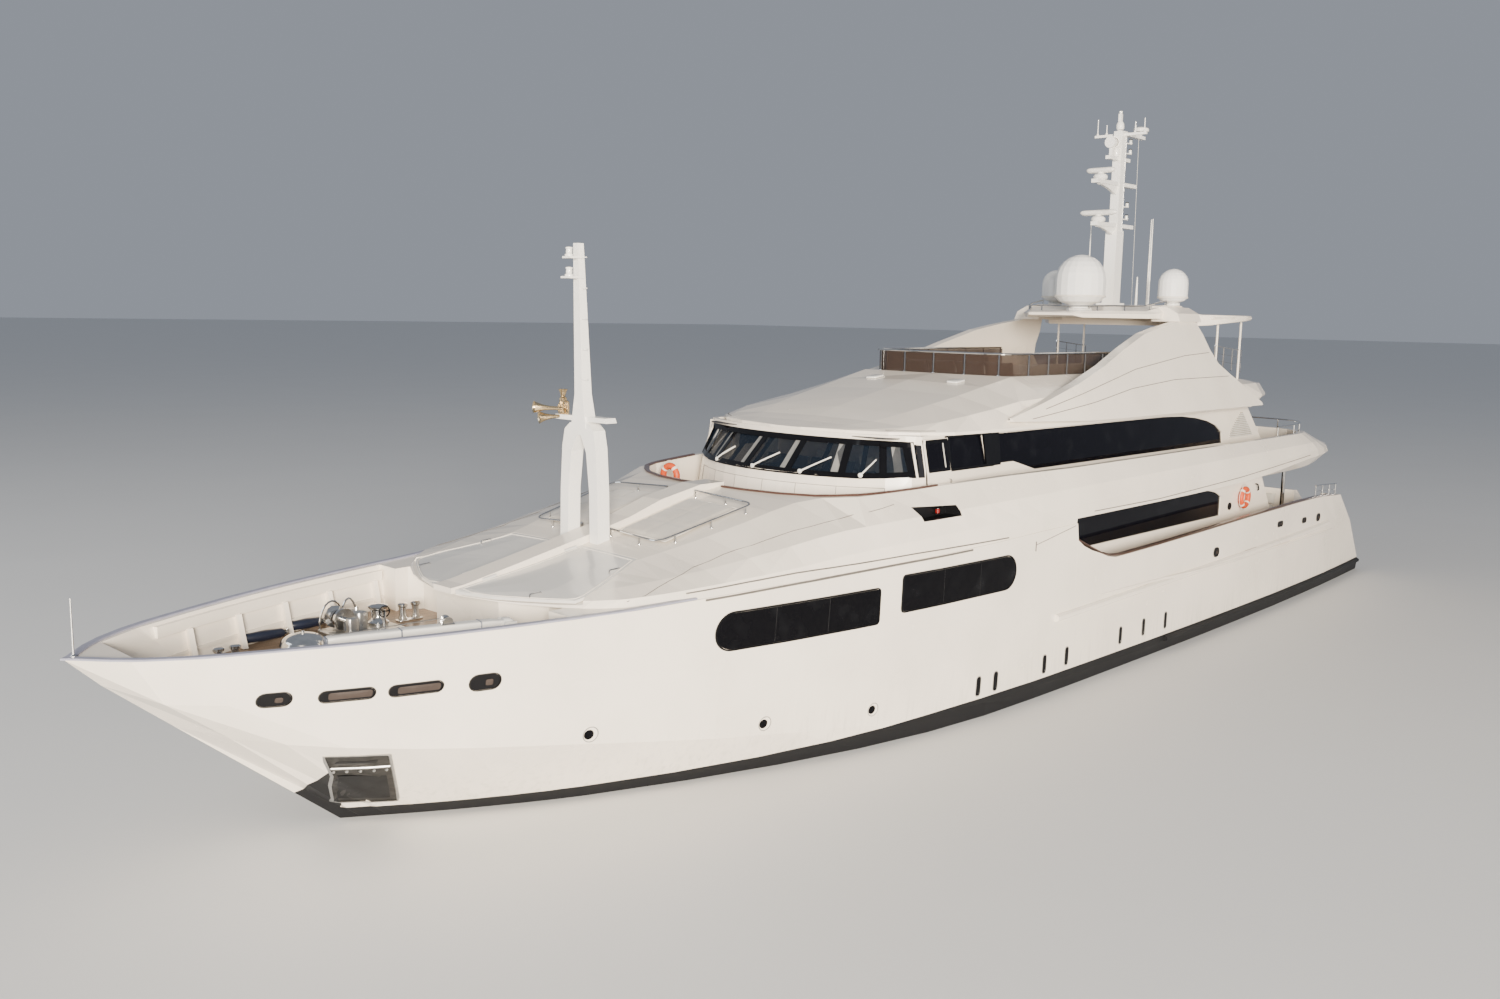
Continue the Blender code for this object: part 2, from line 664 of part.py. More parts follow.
def build_foredeck():
    stations = [deck_section(x) for x in FORE_XS + LID_XS]
    body = finish("foredeck", sym_loft([list(line) for line in zip(*stations)]), white())
    for side in (1, -1):
        cut(body, tool(lid_grid(side, CLEAR, -LID_THICK, 0.3)))
    ridge = [(RIM_X + 0.08, edge_height(RIM_X) + 0.02), (RIM_X + 0.08, 4.03), (15.4, 4.06), (14.1, 4.32),
             (12.0, 4.76), (11.2, 4.95), (10.3, 5.24), (9.1, 5.47), (7.9, 5.48), (7.9, 4.9), (12, 4.25)]
    join(body, tool(prism(ridge, -RIDGE_HALF, RIDGE_HALF)))
    outline = list(COAMING_IN) + [(x, -y) for x, y in reversed(COAMING_IN)]
    outline[0] = (BREAK_X - 1.0, COAMING_IN[0][1])
    outline[-1] = (BREAK_X - 1.0, -COAMING_IN[0][1])
    cut(body, tool(prism(outline, UPPER_DECK, 6.5, "Z")))
    for side in (1, -1):
        low, high = sorted((side * 4.2, side * 5.2))
        light = [(5.08, 4.88), (6.34, 4.85), (6.43, 5.15), (5.09, 5.11)]
        cut(body, tool(prism(light, low, high)))
    return triangulate(body)


HINGE_RADIUS = 0.035
HINGE_STARTS = (13.0, 15.0)
HINGE_LENGTH = 0.3
HINGE_TOP = (12.52, 4.51)
HINGE_LOW = (15.62, 4.00)


def hinge_point(side, x):
    """Point of a hatch lid's hinge line, which runs beside the centre ridge."""
    slope = (HINGE_LOW[1] - HINGE_TOP[1]) / (HINGE_LOW[0] - HINGE_TOP[0])
    return (x, side * (RIDGE_HALF + HINGE_RADIUS + GAP), HINGE_TOP[1] + slope * (x - HINGE_TOP[0]))


def build_lid(side, name):
    """One of the two foredeck hatch lids, hinged along the centre ridge."""
    pivot = hinge_point(side, LID_AFT_X)
    lid = finish(name, lid_grid(side, 0.0, CLEAR - LID_THICK, 0.0), white(), pivot)
    for start in HINGE_STARTS:
        barrel = rod(hinge_point(side, start), hinge_point(side, start - HINGE_LENGTH), HINGE_RADIUS, 16)
        join(lid, finish("barrel", barrel, white(), pivot))
    return lid


# Upper deck with its side bulwarks, aft of the break

UPPER_LOW = [(-19.9, 4.86), (-17.1, 4.84), (-13.5, 4.66), (-11.2, 4.5), (-8, 4.42), (-4, 4.38), (BREAK_X, 4.36)]


STERN_ROUND = 0.4


def aft_round(x_straight, x_end, half, count=8):
    """Plan points from a straight side round an elliptical stern to the centreline."""
    out = []
    for i in range(count + 1):
        a = math.pi / 2 * i / count
        y = half * math.cos(a) ** STERN_ROUND if i < count else 0.0
        out.append((x_straight + (x_end - x_straight) * math.sin(a), y))
    return out


def upper_line(offset, heights, x_straight, x_end):
    xs = [BREAK_X - GAP, -2, -4, -6, -8, -10, -12, -14]
    line = [(x, breadth(x) - offset, smooth(heights, x)) for x in xs]
    half = breadth(x_straight) - offset
    for x, y in aft_round(x_straight, x_end, half):
        line.append((x, y, smooth(heights, x)))
    return line


def build_upper_deck():
    top = [(-20, 5.5), (-16, 5.62), (0.4, 5.6)]
    bulge = [(-20, 5.1), (-16, 5.05), (-10, 4.78), (0.4, 4.72)]
    lines = [
        upper_line(0.48, [(-20, UPPER_DECK), (1, UPPER_DECK)], -14.5, -17.2),
        upper_line(0.48, top, -14.5, -17.2),
        upper_line(0.33, top, -14.8, -17.6),
        upper_line(0.05, [(-20, 5.3), (-16, 5.3), (0.4, 5.15)], -15.0, -18.6),
        upper_line(-0.02, bulge, -15.2, -19.7),
        upper_line(0.02, UPPER_LOW, -15.4, -20.2),
        upper_line(0.25, [(-20, 4.7), (-14, SOFFIT), (1, SOFFIT)], -15.2, -19.4),
    ]
    return triangulate(finish("upper_deck", sym_loft(lines), white()))


# Houses: walls on a plan outline, with windows and doors left open

def offset_loop(loop, distance):
    """Move each corner of a closed anticlockwise plan loop inwards."""
    n = len(loop)
    out = []
    for i in range(n):
        a, b, c = Vector(loop[i - 1]), Vector(loop[i]), Vector(loop[(i + 1) % n])
        n1 = Vector((-(b - a)[1], (b - a)[0])).normalized()
        n2 = Vector((-(c - b)[1], (c - b)[0])).normalized()
        bis = (n1 + n2) / (1 + n1.dot(n2))
        out.append(tuple(b + bis * distance))
    return out


def wall_cells(plans, levels, depths, solid):
    """Closed wall round a plan loop: plans are (height, outline) pairs, blended between their heights."""
    rings = [[(z, offset_loop(plan, depth)) for z, plan in plans] for depth in depths]

    def point(i, j, k):
        z = levels[j](i) if callable(levels[j]) else levels[j]
        for (z0, a), (z1, b) in zip(rings[k], rings[k][1:]):
            if z <= z1 or z1 == plans[-1][0]:
                t = (z - z0) / (z1 - z0)
                return (a[i][0] + (b[i][0] - a[i][0]) * t, a[i][1] + (b[i][1] - a[i][1]) * t, z)

    return cells(point, solid, (len(plans[0][1]), len(levels) - 1, len(depths) - 1), closed=True)


def mirror_loop(port):
    """Closed anticlockwise loop from port points that run from the front centre to the after centre."""
    return port + [(x, -y) for x, y in reversed(port)]


WH_AFT_X = 2.2
WH_DOOR_CELL = 9
WH_SILL = 5.62
WH_HEAD = 6.38
SIDE_SILL = 5.77
SIDE_HEAD = 6.48
CORNER_RISE = {6: 0.03, 7: 0.08}
SIDE_FROM = 8
SILL_LIFT = 0.0018


def sill_at(m):
    """Height of the window sill at a point of the wheelhouse outline, counted from its front centre."""
    return SIDE_SILL if m >= SIDE_FROM else WH_SILL + CORNER_RISE.get(m, 0.0)


def head_at(m):
    return SIDE_HEAD if m > SIDE_FROM else WH_HEAD


def wheelhouse_plan(front, corner_x, corner_y, wall_y):
    """Port half of the wheelhouse outline, as front arc, corner and side; windows lie between its points."""
    count = 7
    out = [(front - 0.001, 0.12)]
    for i in range(1, count + 1):
        t = i / count
        out.append((front - (front - corner_x) * t ** 2.2, corner_y * t))
    out.append((corner_x - 0.16, corner_y + (wall_y - corner_y) * 0.6))
    out += [(x, wall_y) for x in (5.03, 4.15, 4.0, 2.5, WH_AFT_X)]
    return out


def wheelhouse_plans():
    low = mirror_loop(wheelhouse_plan(6.85, 5.5, 3.5, 3.64))
    sill = mirror_loop(wheelhouse_plan(6.7, 5.38, 3.46, 3.6))
    head = mirror_loop(wheelhouse_plan(5.92, 5.26, 3.12, 3.42))
    return low, sill, head


def build_wheelhouse():
    low, sill, head = wheelhouse_plans()
    plans = [(UPPER_DECK, low), (WH_SILL, sill), (WH_HEAD, head), (HOUSE_TOP, head)]
    n = len(low)
    half = n // 2
    levels = [UPPER_DECK + GAP, UPPER_DECK + 0.12, lambda i: sill_at(min(i, n - 1 - i)),
              lambda i: head_at(min(i, n - 1 - i)), HOUSE_TOP - GAP]

    def solid(i, j, k):
        m = i if i < half else n - 2 - i
        if i == half - 1:
            return True
        if m == WH_DOOR_CELL:
            return j not in (1, 2)
        glazed = i == n - 1 or m <= 7 or m == WH_DOOR_CELL + 2
        return not (glazed and j == 2)

    bm = wall_cells(plans, levels, [0.0, WALL], solid)
    shell = finish("wheelhouse_shell", bm, white())
    posts = []
    for m in (1, 3, 5, 7):
        for i in (m, n - 1 - m):
            posts.append(tool(window_post(sill, head, i)))
    return join(shell, *posts)


def window_post(sill, head, i):
    """Pillar between two front windows, on the inner side of the glass."""
    bm = bmesh.new()
    low, high = WH_SILL - 0.03, WH_HEAD + 0.03
    rise = 0.03 / (WH_HEAD - WH_SILL)
    rows = []
    for t, z in ((-rise, low), (1 + rise, high)):
        row = []
        for depth, slide in ((0.055, 0.1), (0.14, 0.1), (0.14, -0.1), (0.055, -0.1)):
            a, b = offset_loop(sill, depth), offset_loop(head, depth)
            step = 1 if slide > 0 else -1
            p = Vector(a[i]) + (Vector(a[(i + step) % len(a)]) - Vector(a[i])) * abs(slide)
            q = Vector(b[i]) + (Vector(b[(i + step) % len(b)]) - Vector(b[i])) * abs(slide)
            place = p + (q - p) * t
            row.append(bm.verts.new((place[0], place[1], z)))
        rows.append(row)
    for k in range(4):
        m = (k + 1) % 4
        bm.faces.new((rows[0][k], rows[0][m], rows[1][m], rows[1][k]))
    bm.faces.new(rows[0])
    bm.faces.new(rows[1])
    return bm


def build_wheelhouse_glass():
    """Curved front windscreen of the wheelhouse, with its black frame's width left round it."""
    _, sill, head = wheelhouse_plans()
    n = len(sill)
    loops = [[offset_loop(plan, depth) for plan in (sill, head)] for depth in (0.005, 0.005 + GLASS)]
    order = [n - 1 - m for m in range(8, -1, -1)] + list(range(0, 9))

    def point(i, j, k):
        x, y = loops[k][j][order[i]]
        if i in (0, len(order) - 1):
            near = loops[k][j][order[1 if i == 0 else -2]]
            x += (near[0] - x) * 0.1
            y += (near[1] - y) * 0.1
        m = min(order[i], n - 1 - order[i])
        z = WH_HEAD - GAP if j else sill_at(m) + SILL_LIFT
        t = (z - WH_SILL) / (WH_HEAD - WH_SILL)
        other = loops[k][1 - j][order[i]]
        share = t if j == 0 else 0.0
        return (x + (other[0] - x) * share, y + (other[1] - y) * share, z)

    bm = cells(point, lambda i, j, k: True, (len(order) - 1, 1, 1))
    return finish("wheelhouse_glass", bm, dark_glass())


def build_wheelhouse_door(side, name):
    """Sliding door on the wheelhouse side, hung outside the wall."""
    fore_x, aft_x = 5.04, 4.14
    low = (fore_x, side * 3.67, UPPER_DECK + GAP)
    rows = [low[1:], (side * 3.625, WH_SILL), (side * 3.465, WH_HEAD), (side * 3.465, SIDE_HEAD + 0.02)]

    def point(i, j, k):
        y, z = rows[j]
        return (fore_x if i else aft_x, y + side * 0.05 * k, z)

    return finish(name, cells(point, lambda i, j, k: True, (1, 3, 1)), white(), low)


# Upper house aft of the wheelhouse
UH_FORE_X = WH_AFT_X - GAP
UH_AFT_X = -12.6
UH_WALL_LOW = 3.64
UH_WALL_HIGH = 3.40
UH_ARCH_END = -11.2
SALOON_FORE_X = BREAK_X - 0.1 - GAP
SALOON_AFT_X = -13.0
SALOON_WALL = 3.92
SALOON_ARCH_END = -10.5


def arch_top(x, start, end, head, drop):
    """Window head that is level to start and falls in a quarter ellipse to end."""
    if x >= start:
        return head
    t = min((start - x) / (start - end), 1.0)
    return head - drop * (1 - math.sqrt(max(1 - t * t, 0)))


def upper_sill(x):
    return smooth([(UH_ARCH_END, 5.47), (0.2, 5.47), (1.2, 5.74)], x)


def upper_head(x):
    return arch_top(x, -7.2, UH_ARCH_END - 0.05, 6.47, 0.8)


def saloon_head(x):
    return arch_top(x, -8.0, SALOON_ARCH_END - 0.05, 4.18, 0.45)


def house(name, fore_x, window_xs, aft_x, walls, levels, sill, head, door_half):
    """Closed house of thin walls: window strips along the sides and one doorway in its after bulkhead."""
    xs = [fore_x] + window_xs
    (low_y, high_y), (floor, roof) = walls, levels
    loops = []
    for y in (low_y, high_y):
        loops.append(mirror_loop([(x, y) for x in xs] + [(aft_x, y), (aft_x, door_half)]))
    loop = loops[0]
    n = len(loop)
    half = n // 2

    def sill_z(i):
        return sill(loop[i][0]) if loop[i][0] > aft_x else sill(window_xs[-1])

    def head_z(i):
        return head(loop[i][0]) if loop[i][0] > aft_x else roof - 0.5

    def solid(i, j, k):
        m = i if i < half else n - 2 - i
        if i == half - 1:
            return j == 2
        if i == n - 1:
            return True
        return not (j == 1 and 1 <= m < len(window_xs))

    plans = [(floor, loops[0]), (roof, loops[1])]
    bm = wall_cells(plans, [floor + GAP, sill_z, head_z, roof - GAP], [0.0, WALL], solid)
    return finish(name, bm, white())


def fashion_plate(side, corners, y_low, y_high, z_low, z_high):
    """Side panel that runs on aft of a house wall, from four corners in X and Z, leaning with the wall."""
    bm = bmesh.new()
    loops = []
    for depth in (0.0, WALL):
        loop = []
        for x, z in corners:
            y = y_low + (y_high - y_low) * (z - z_low) / (z_high - z_low) - depth
            loop.append(bm.verts.new((x, side * y, z)))
        loops.append(loop)
    bm.faces.new(loops[0])
    bm.faces.new(loops[1])
    for k in range(4):
        m = (k + 1) % 4
        bm.faces.new((loops[0][k], loops[0][m], loops[1][m], loops[1][k]))
    return bm


UH_WINDOW_XS = [1.85, 1.2, 0.2, -1.4, -3.0, -4.6, -6.2, -7.2, -8.4, -9.4, -10.2, -10.8, UH_ARCH_END]
SALOON_WINDOW_XS = [0.0, -1.5, -3.2, -4.9, -6.6, -8.0, -8.9, -9.6, -10.1, SALOON_ARCH_END]


def build_upper_house():
    body = house("upper_house", WH_AFT_X - GAP, UH_WINDOW_XS, UH_AFT_X, (UH_WALL_LOW, UH_WALL_HIGH),
                 (UPPER_DECK, HOUSE_TOP), upper_sill, upper_head, 0.55)
    fore_x = UH_AFT_X + WALL / 2
    low, high = UPPER_DECK + GAP, HOUSE_TOP - GAP
    corners = [(fore_x, low), (-15.0, low), (-13.3, high), (fore_x, high)]
    for side in (1, -1):
        plate = fashion_plate(side, corners, UH_WALL_LOW - 0.01, UH_WALL_HIGH - 0.01, UPPER_DECK, HOUSE_TOP)
        join(body, tool(plate))
    return body


def window_strip(side, name, xs, walls, levels, sill, head):
    """Tinted window strip set into a leaning house side."""
    margin = GAP
    (low_y, high_y), (low_z, high_z) = walls, levels

    def point(i, j, k):
        x = xs[i]
        if i == 0:
            x -= margin
        if i == len(xs) - 1:
            x += margin
        z = sill(xs[i]) + margin if j == 0 else head(xs[i]) - margin
        t = (z - low_z) / (high_z - low_z)
        return (x, side * (low_y + (high_y - low_y) * t - 0.045 - GLASS * k), z)

    return finish(name, cells(point, lambda i, j, k: True, (len(xs) - 1, 1, 1)), dark_glass())


ROOF_EDGE = [(-15.9, 1.5), (-15.7, 2.5), (-15.2, 3.2), (-14.2, 3.5), (-13, 3.65), (-12, 3.72), (0, 3.79),
             (2, 3.78), (4, 3.62), (4.8, 3.2), (5.3, 2.65), (5.7, 1.7), (5.95, 0.5)]
ROOF_CENTRE = [(-15.9, 7.3), (-13.5, 7.5), (-12, COAMING_TOP), (-0.2, COAMING_TOP), (2, 7.42), (4, 7.02),
               (5, 6.78), (5.95, 6.62)]
ROOF_XS = [-15.9, -15.7, -15.2, -14.2, -13, -12, -9, -6, -3, -0.2, 1, 2, 3, 4, 4.8, 5.3, 5.7, 5.95]


def roof_section(x):
    """Port half of the roof's section, from its crown down to its edge and back under."""
    edge = smooth(ROOF_EDGE, x)
    crest = smooth(ROOF_CENTRE, x)
    low = HOUSE_TOP if x > -13.2 else HOUSE_TOP + 0.3
    rim = low + 0.07
    if x <= 0:
        shoulder = (min(2.45, edge * 0.8), crest)
        side_z = min(SUN_DECK, crest - 0.1)
        side = (min(roof_side(side_z), edge - 0.02), side_z) if x >= -12 else (edge * 0.93, side_z)
    else:
        t = x / ROOF_XS[-1]
        rise = crest - rim
        shoulder = (edge * (0.64 - 0.1 * t), rim + rise * (0.93 - 0.06 * t))
        side = (edge * (0.92 - 0.06 * t), rim + rise * (0.62 - 0.12 * t))
    return [(x, 0, crest), (x, *shoulder), (x, *side), (x, edge, rim), (x, edge, low), (x, 0, low)]


def build_sundeck():
    """Roof of the upper house, which is the sun deck with its coaming."""
    sections = [roof_section(x) for x in ROOF_XS]
    roof = finish("sun_deck", sym_loft([list(line) for line in zip(*sections)]), white())
    recess = [(-0.35, 1.9), (-0.75, 2.2), (-11.6, 2.2), (-12.6, 1.9), (-17, 1.9)]
    outline = recess + [(x, -y) for x, y in reversed(recess)]
    return triangulate(cut(roof, tool(prism(outline, SUN_DECK, 9.0, "Z"))))


def wing_out(z):
    """Outer half-breadth of the leaning side wing at a height."""
    return 4.12 - 0.46 * (z - 6.65)


def roof_side(z):
    """Half-breadth of the roof where the inner face of a wing meets it."""
    return wing_out(z) - WING_THICK - GAP


WING_TOP = 9.30
WING_EDGE = [(1.82, 6.87), (0.18, 7.22), (-1.64, 7.64), (-3.3, 8.06), (-4.79, 8.51), (-6.34, 8.93),
             (-7.44, 9.11), (-8.9, WING_TOP), (-10.05, WING_TOP), (-10.25, 8.9), (-10.35, 8.45), (-10.6, 8.02),
             (-11.15, 7.69), (-11.83, 7.32), (-12.29, 7.06), (-12.81, 6.75)]
WING_THICK = 0.3


def build_wing(side, name):
    """Side wing of the radar arch, thin at its long forward tip; it is trimmed to the roof later."""
    tip_x = WING_EDGE[0][0]

    def point(i, j, k):
        x, top = WING_EDGE[i]
        low = 6.66 + 0.12 * max(0.0, 1 - (tip_x - x) / 4)
        z = (low, min((low + top) / 2, SUN_DECK), top)[j]
        thick = WING_THICK * min(1.0, 0.25 + 0.25 * (tip_x - x))
        outer = wing_out(z) - WING_THICK + thick
        inner = wing_out(z) - WING_THICK - (0.15 if j == 0 else 0.0)
        return (x, side * (outer if k else inner), z)

    return finish(name, cells(point, lambda i, j, k: True, (len(WING_EDGE) - 1, 2, 1)), white())


def build_hardtop():
    """Hardtop, arch beam and after awning in one, with the awning's poles."""
    rows = [(-6.2, 0.8, 9.44, 9.52), (-6.4, 1.0, HARDTOP_LOW, 9.57), (-7.3, 1.65, HARDTOP_LOW, HARDTOP_HIGH),
            (-8.3, 2.25, HARDTOP_LOW, HARDTOP_HIGH), (-8.7, 2.38, HARDTOP_LOW, 9.70),
            (-9.1, 2.4, HARDTOP_LOW, BEAM_TOP), (-10.3, 2.42, HARDTOP_LOW, BEAM_TOP),
            (-10.7, 2.42, HARDTOP_LOW, 9.62), (-10.9, 3.1, 9.40, 9.50), (-11.9, 3.3, 9.40, 9.50),
            (-13.4, 3.3, 9.40, 9.50), (-13.7, 3.0, 9.42, 9.48)]
    sections = []
    for x, half, low, high in rows:
        middle = (low + high) / 2 + 0.02
        profile = ((0, high), (half - 0.15, high), (half, middle), (half - 0.04, low), (0, low))
        sections.append([(x, y, z) for y, z in profile])
    top = finish("hardtop", sym_loft([list(line) for line in zip(*sections)]), white())
    for side in (1, -1):
        shoulder = [(2.0, WING_TOP + GAP), (2.95, WING_TOP + GAP), (2.85, 9.55), (2.5, 9.74), (2.0, 9.77)]
        join(top, tool(prism([(side * y, z) for y, z in shoulder], -10.35, -8.85, "X")))
        for x in (-11.7, -13.5):
            join(top, tool(rod((x, side * 2.9, 7.0), (x, side * 2.9, 9.45), 0.035)))
    return top


def build_screen_glass():
    levels = [COAMING_TOP + GAP, SCREEN_TOP - 0.05]
    return finish("sundeck_screen", band(SCREEN_PLAN, 0.0, 0.03, levels), dark_glass())


SCREEN_PLAN = [(-7.2, 2.32), (-6.0, 2.32), (-4.8, 2.32), (-3.6, 2.32), (-2.4, 2.32), (-1.3, 2.32), (-0.8, 2.28),
               (-0.45, 2.1), (-0.25, 1.7), (-0.2, 0.85), (-0.18, 0.0)]


def mirror_path(port):
    """Open path from the port points, whose last one lies on the centreline, on round to starboard."""
    return port + [(p[0], -p[1], *p[2:]) for p in reversed(port[:-1])]


def path_sides(path):
    """Unit vectors square to a plan path, towards its left hand."""
    out = []
    for i in range(len(path)):
        a = Vector(path[max(i - 1, 0)][:2])
        b = Vector(path[min(i + 1, len(path) - 1)][:2])
        d = (b - a).normalized()
        out.append(Vector((-d[1], d[0])))
    return out


def band(plan, inner, outer, levels):
    """Thin upright band along a mirrored plan path."""
    path = mirror_path(plan)
    sides = path_sides(path)

    def point(i, j, k):
        p = Vector(path[i]) + sides[i] * (outer if k else inner)
        return (p[0], p[1], levels[j])

    return cells(point, lambda i, j, k: True, (len(path) - 1, len(levels) - 1, 1))


def rail_cells(path, low, heights, size, post_every):
    """Rail on posts along a plan path of (X, Y, base Z); square bars in one lattice."""
    dense = []
    posts = []
    for a, b in zip(path, path[1:]):
        a, b = Vector(a), Vector(b)
        count = max(1, round((b - a).length / post_every))
        unit = (b - a).normalized()
        for s in range(count):
            p = a + (b - a) * (s / count)
            posts.append(len(dense))
            dense.append(p)
            dense.append(p + unit * size)
    end = Vector(path[-1])
    posts.append(len(dense))
    dense.append(end - (Vector(path[-1]) - Vector(path[-2])).normalized() * size)
    dense.append(end)
    posts = set(posts)
    levels = [low]
    for h in heights:
        levels += [h - size, h]
    bars = {2 * n + 1 for n in range(len(heights))}
    side = [v.to_3d() * size / 2 for v in path_sides(dense)]

    def point(i, j, k):
        return tuple(dense[i] + side[i] * (1 if k else -1) + Vector((0, 0, levels[j])))

    return cells(point, lambda i, j, k: i in posts or j in bars, (len(dense) - 1, len(levels) - 1, 1))


def build_screen_rail():
    path = mirror_path([(x, y, COAMING_TOP) for x, y in SCREEN_PLAN])
    pushed = [Vector(p) + v.to_3d() * 0.055 for p, v in zip(path, path_sides(path))]
    return finish("screen_rail", rail_cells(pushed, GAP, [SCREEN_TOP - COAMING_TOP], 0.045, 1.1), steel())


def build_foremast():
    """Signal mast on two legs astride the centre ridge, raked a little forward."""
    leg = [(-0.62, 4.4), (-0.6, 5.6), (-0.54, 6.5), (-0.46, 6.86), (-0.28, 7.0), (0.28, 7.0), (0.46, 6.86),
           (0.54, 6.5), (0.6, 5.6), (0.62, 4.4), (0.36, 4.4), (0.34, 5.6), (0.24, 6.4), (0.06, 6.75),
           (-0.06, 6.75), (-0.24, 6.4), (-0.34, 5.6), (-0.36, 4.4)]
    mast = finish("foremast", prism(leg, 12.04, 12.36, "X"), white())
    column = bmesh.new()
    rows = []
    for x, z, half in ((12.22, 6.9, 0.24), (12.24, 7.6, 0.125), (12.36, FOREMAST_TOP, 0.075)):
        corners = ((1, 1), (-1, 1), (-1, -1), (1, -1))
        deep = min(half, 0.15)
        rows.append([column.verts.new((x + a * deep, b * half, z)) for a, b in corners])
    for low, high in zip(rows, rows[1:]):
        for k in range(4):
            m = (k + 1) % 4
            column.faces.new((low[k], low[m], high[m], high[k]))
    column.faces.new(rows[0])
    column.faces.new(rows[-1])
    arm = [(-0.85, 7.04), (-0.8, 7.14), (0.8, 7.14), (0.85, 7.04)]
    join(mast, tool(column), tool(prism(arm, 12.05, 12.33, "X")),
         tool(block((12.3, -0.12, 9.95), (12.72, 0.12, 9.99))),
         tool(block((12.32, -0.12, 10.35), (12.68, 0.12, 10.39))))
    return mast


def build_main_mast():
    mast = finish("main_mast", block((-10.15, -0.2, BEAM_TOP + GAP), (-9.7, 0.2, 12.2)), white())
    parts = [block((-10.28, -0.3, BEAM_TOP + GAP), (-9.5, 0.3, BEAM_TOP + 0.07)),
             block((-10.12, -0.15, 12.1), (-9.8, 0.15, 15.35)),
             block((-10.94, -0.12, 12.30), (-8.55, 0.12, 12.42)),
             block((-11.0, -0.12, 13.62), (-8.45, 0.12, 13.74)),
             block((-10.55, -0.08, 14.42), (-9.2, 0.08, 14.53)),
             block((-10.0, -0.9, 15.2), (-9.92, 0.9, 15.28)),
             block((-11.48, -0.09, 15.24), (-10.05, 0.09, 15.34)),
             block((-10.0, -0.08, 15.3), (-9.9, 0.02, MAST_TOP)),
             block((-9.5, -0.05, 14.5), (-9.36, 0.05, 14.85)),
             turned([(0.14, -0.17), (0.18, 0.0), (0.18, 0.14)], (-9.42, 0, 14.95), "X", 16),
             turned([(0.03, 15.3), (0.03, 15.5)], (-11.33, 0, 0), "Z", 8),
             turned([(0.25, 15.49), (0.25, 15.57), (0.1, 15.63)], (-11.33, 0, 0), "Z", 20)]
    for z in (12.42, 13.74):
        parts.append(turned([(0.17, z - 0.02), (0.15, z + 0.14), (0.1, z + 0.18)], (-8.8, 0, 0), "Z", 12))
    join(mast, *[tool(bm) for bm in parts])
    return mast


def build_scanner(name, z, length):
    low = z + 0.18 + GAP
    bm = block((-8.88, -length / 2, low + 0.04), (-8.72, length / 2, low + 0.2))
    bar = finish(name, bm, white(), (-8.8, 0, low))
    hub = turned([(0.09, low), (0.09, low + 0.08)], (-8.8, 0, 0), "Z", 12)
    return join(bar, finish("hub", hub, white(), (-8.8, 0, low)))


def build_dome(name, centre, radius, base, drum):
    """Satellite dome: a hemisphere on a short drum and a narrow foot."""
    x, y = centre
    profile = [(0.35, GAP / radius), (0.35, 0.18), (0.8, 0.35), (1, 0.55), (1, 0.35 + drum / radius)]
    profile = [(radius * r, base + radius * h) for r, h in profile]
    for i in range(1, 6):
        a = math.pi / 2 * i / 6
        profile.append((radius * math.cos(a), base + radius * 0.35 + drum + radius * math.sin(a)))
    profile.append((radius * 0.06, base + radius * 1.35 + drum))
    return finish(name, turned(profile, (x, y, 0), "Z", 20), white())


# Main-deck house

def saloon_sill(_):
    return SALOON_SILL


def build_main_house():
    """Saloon house on the main deck; its sides run on past the after bulkhead as fashion plates."""
    body = house("main_house", SALOON_FORE_X, SALOON_WINDOW_XS, SALOON_AFT_X, (SALOON_WALL, SALOON_WALL),
                 (MAIN_DECK, SOFFIT), saloon_sill, saloon_head, 1.3)
    fore_x = SALOON_AFT_X + WALL / 2
    low, high = MAIN_DECK + GAP, SOFFIT - GAP
    corners = [(fore_x, low), (-15.14, low), (-13.5, high), (fore_x, high)]
    for side in (1, -1):
        plate = fashion_plate(side, corners, SALOON_WALL - 0.01, SALOON_WALL - 0.01, MAIN_DECK, SOFFIT)
        join(body, tool(plate))
    return body


def build_saloon_door(side, name):
    """One leaf of the saloon's sliding doors, running inside the after bulkhead."""
    x = SALOON_AFT_X + WALL + CLEAR
    low, high = sorted((side * CLEAR, side * 1.42))
    bm = block((x, low, MAIN_DECK + GAP), (x + 0.05, high, 4.2))
    return finish(name, bm, dark_glass(), (x, 0, MAIN_DECK))


def build_upper_aft_door():
    """Sliding door inside the upper house's after bulkhead."""
    x = UH_AFT_X + WALL + CLEAR
    low = UPPER_DECK + GAP
    bm = block((x, -0.68, low), (x + 0.05, 0.68, HOUSE_TOP - 0.4))
    return finish("upper_aft_door", bm, dark_glass(), (x, 0, low))


SUNK = 0.03


def sloped_pad(side, name, x0, x1, y0, y1, thick):
    """Cushion for the sloping foredeck beside the centre ridge; it is trimmed to the deck later."""
    xs = [x0 + (x1 - x0) * i / 3 for i in range(4)]
    ys = [y0 + (y1 - y0) * j / 3 for j in range(4)]

    def point(i, j, k):
        z = deck_height(xs[i], ys[j]) + (thick if k else -SUNK)
        return (xs[i], side * ys[j], z)

    return finish(name, cells(point, lambda i, j, k: True, (3, 3, 1)), fabric())


def build_pad_rail(side, name):
    """Low rail round a sun pad on the foredeck; its feet are trimmed to the deck later."""
    corners = [(11.85, 0.42), (11.95, 2.05), (9.45, 2.3), (9.4, 0.42)]
    path = [(x, side * y, deck_height(x, y) - SUNK) for x, y in corners]
    bm = rail_cells(path, 0.0, [0.24 + SUNK], 0.035, 0.8)
    return finish(name, bm, steel())


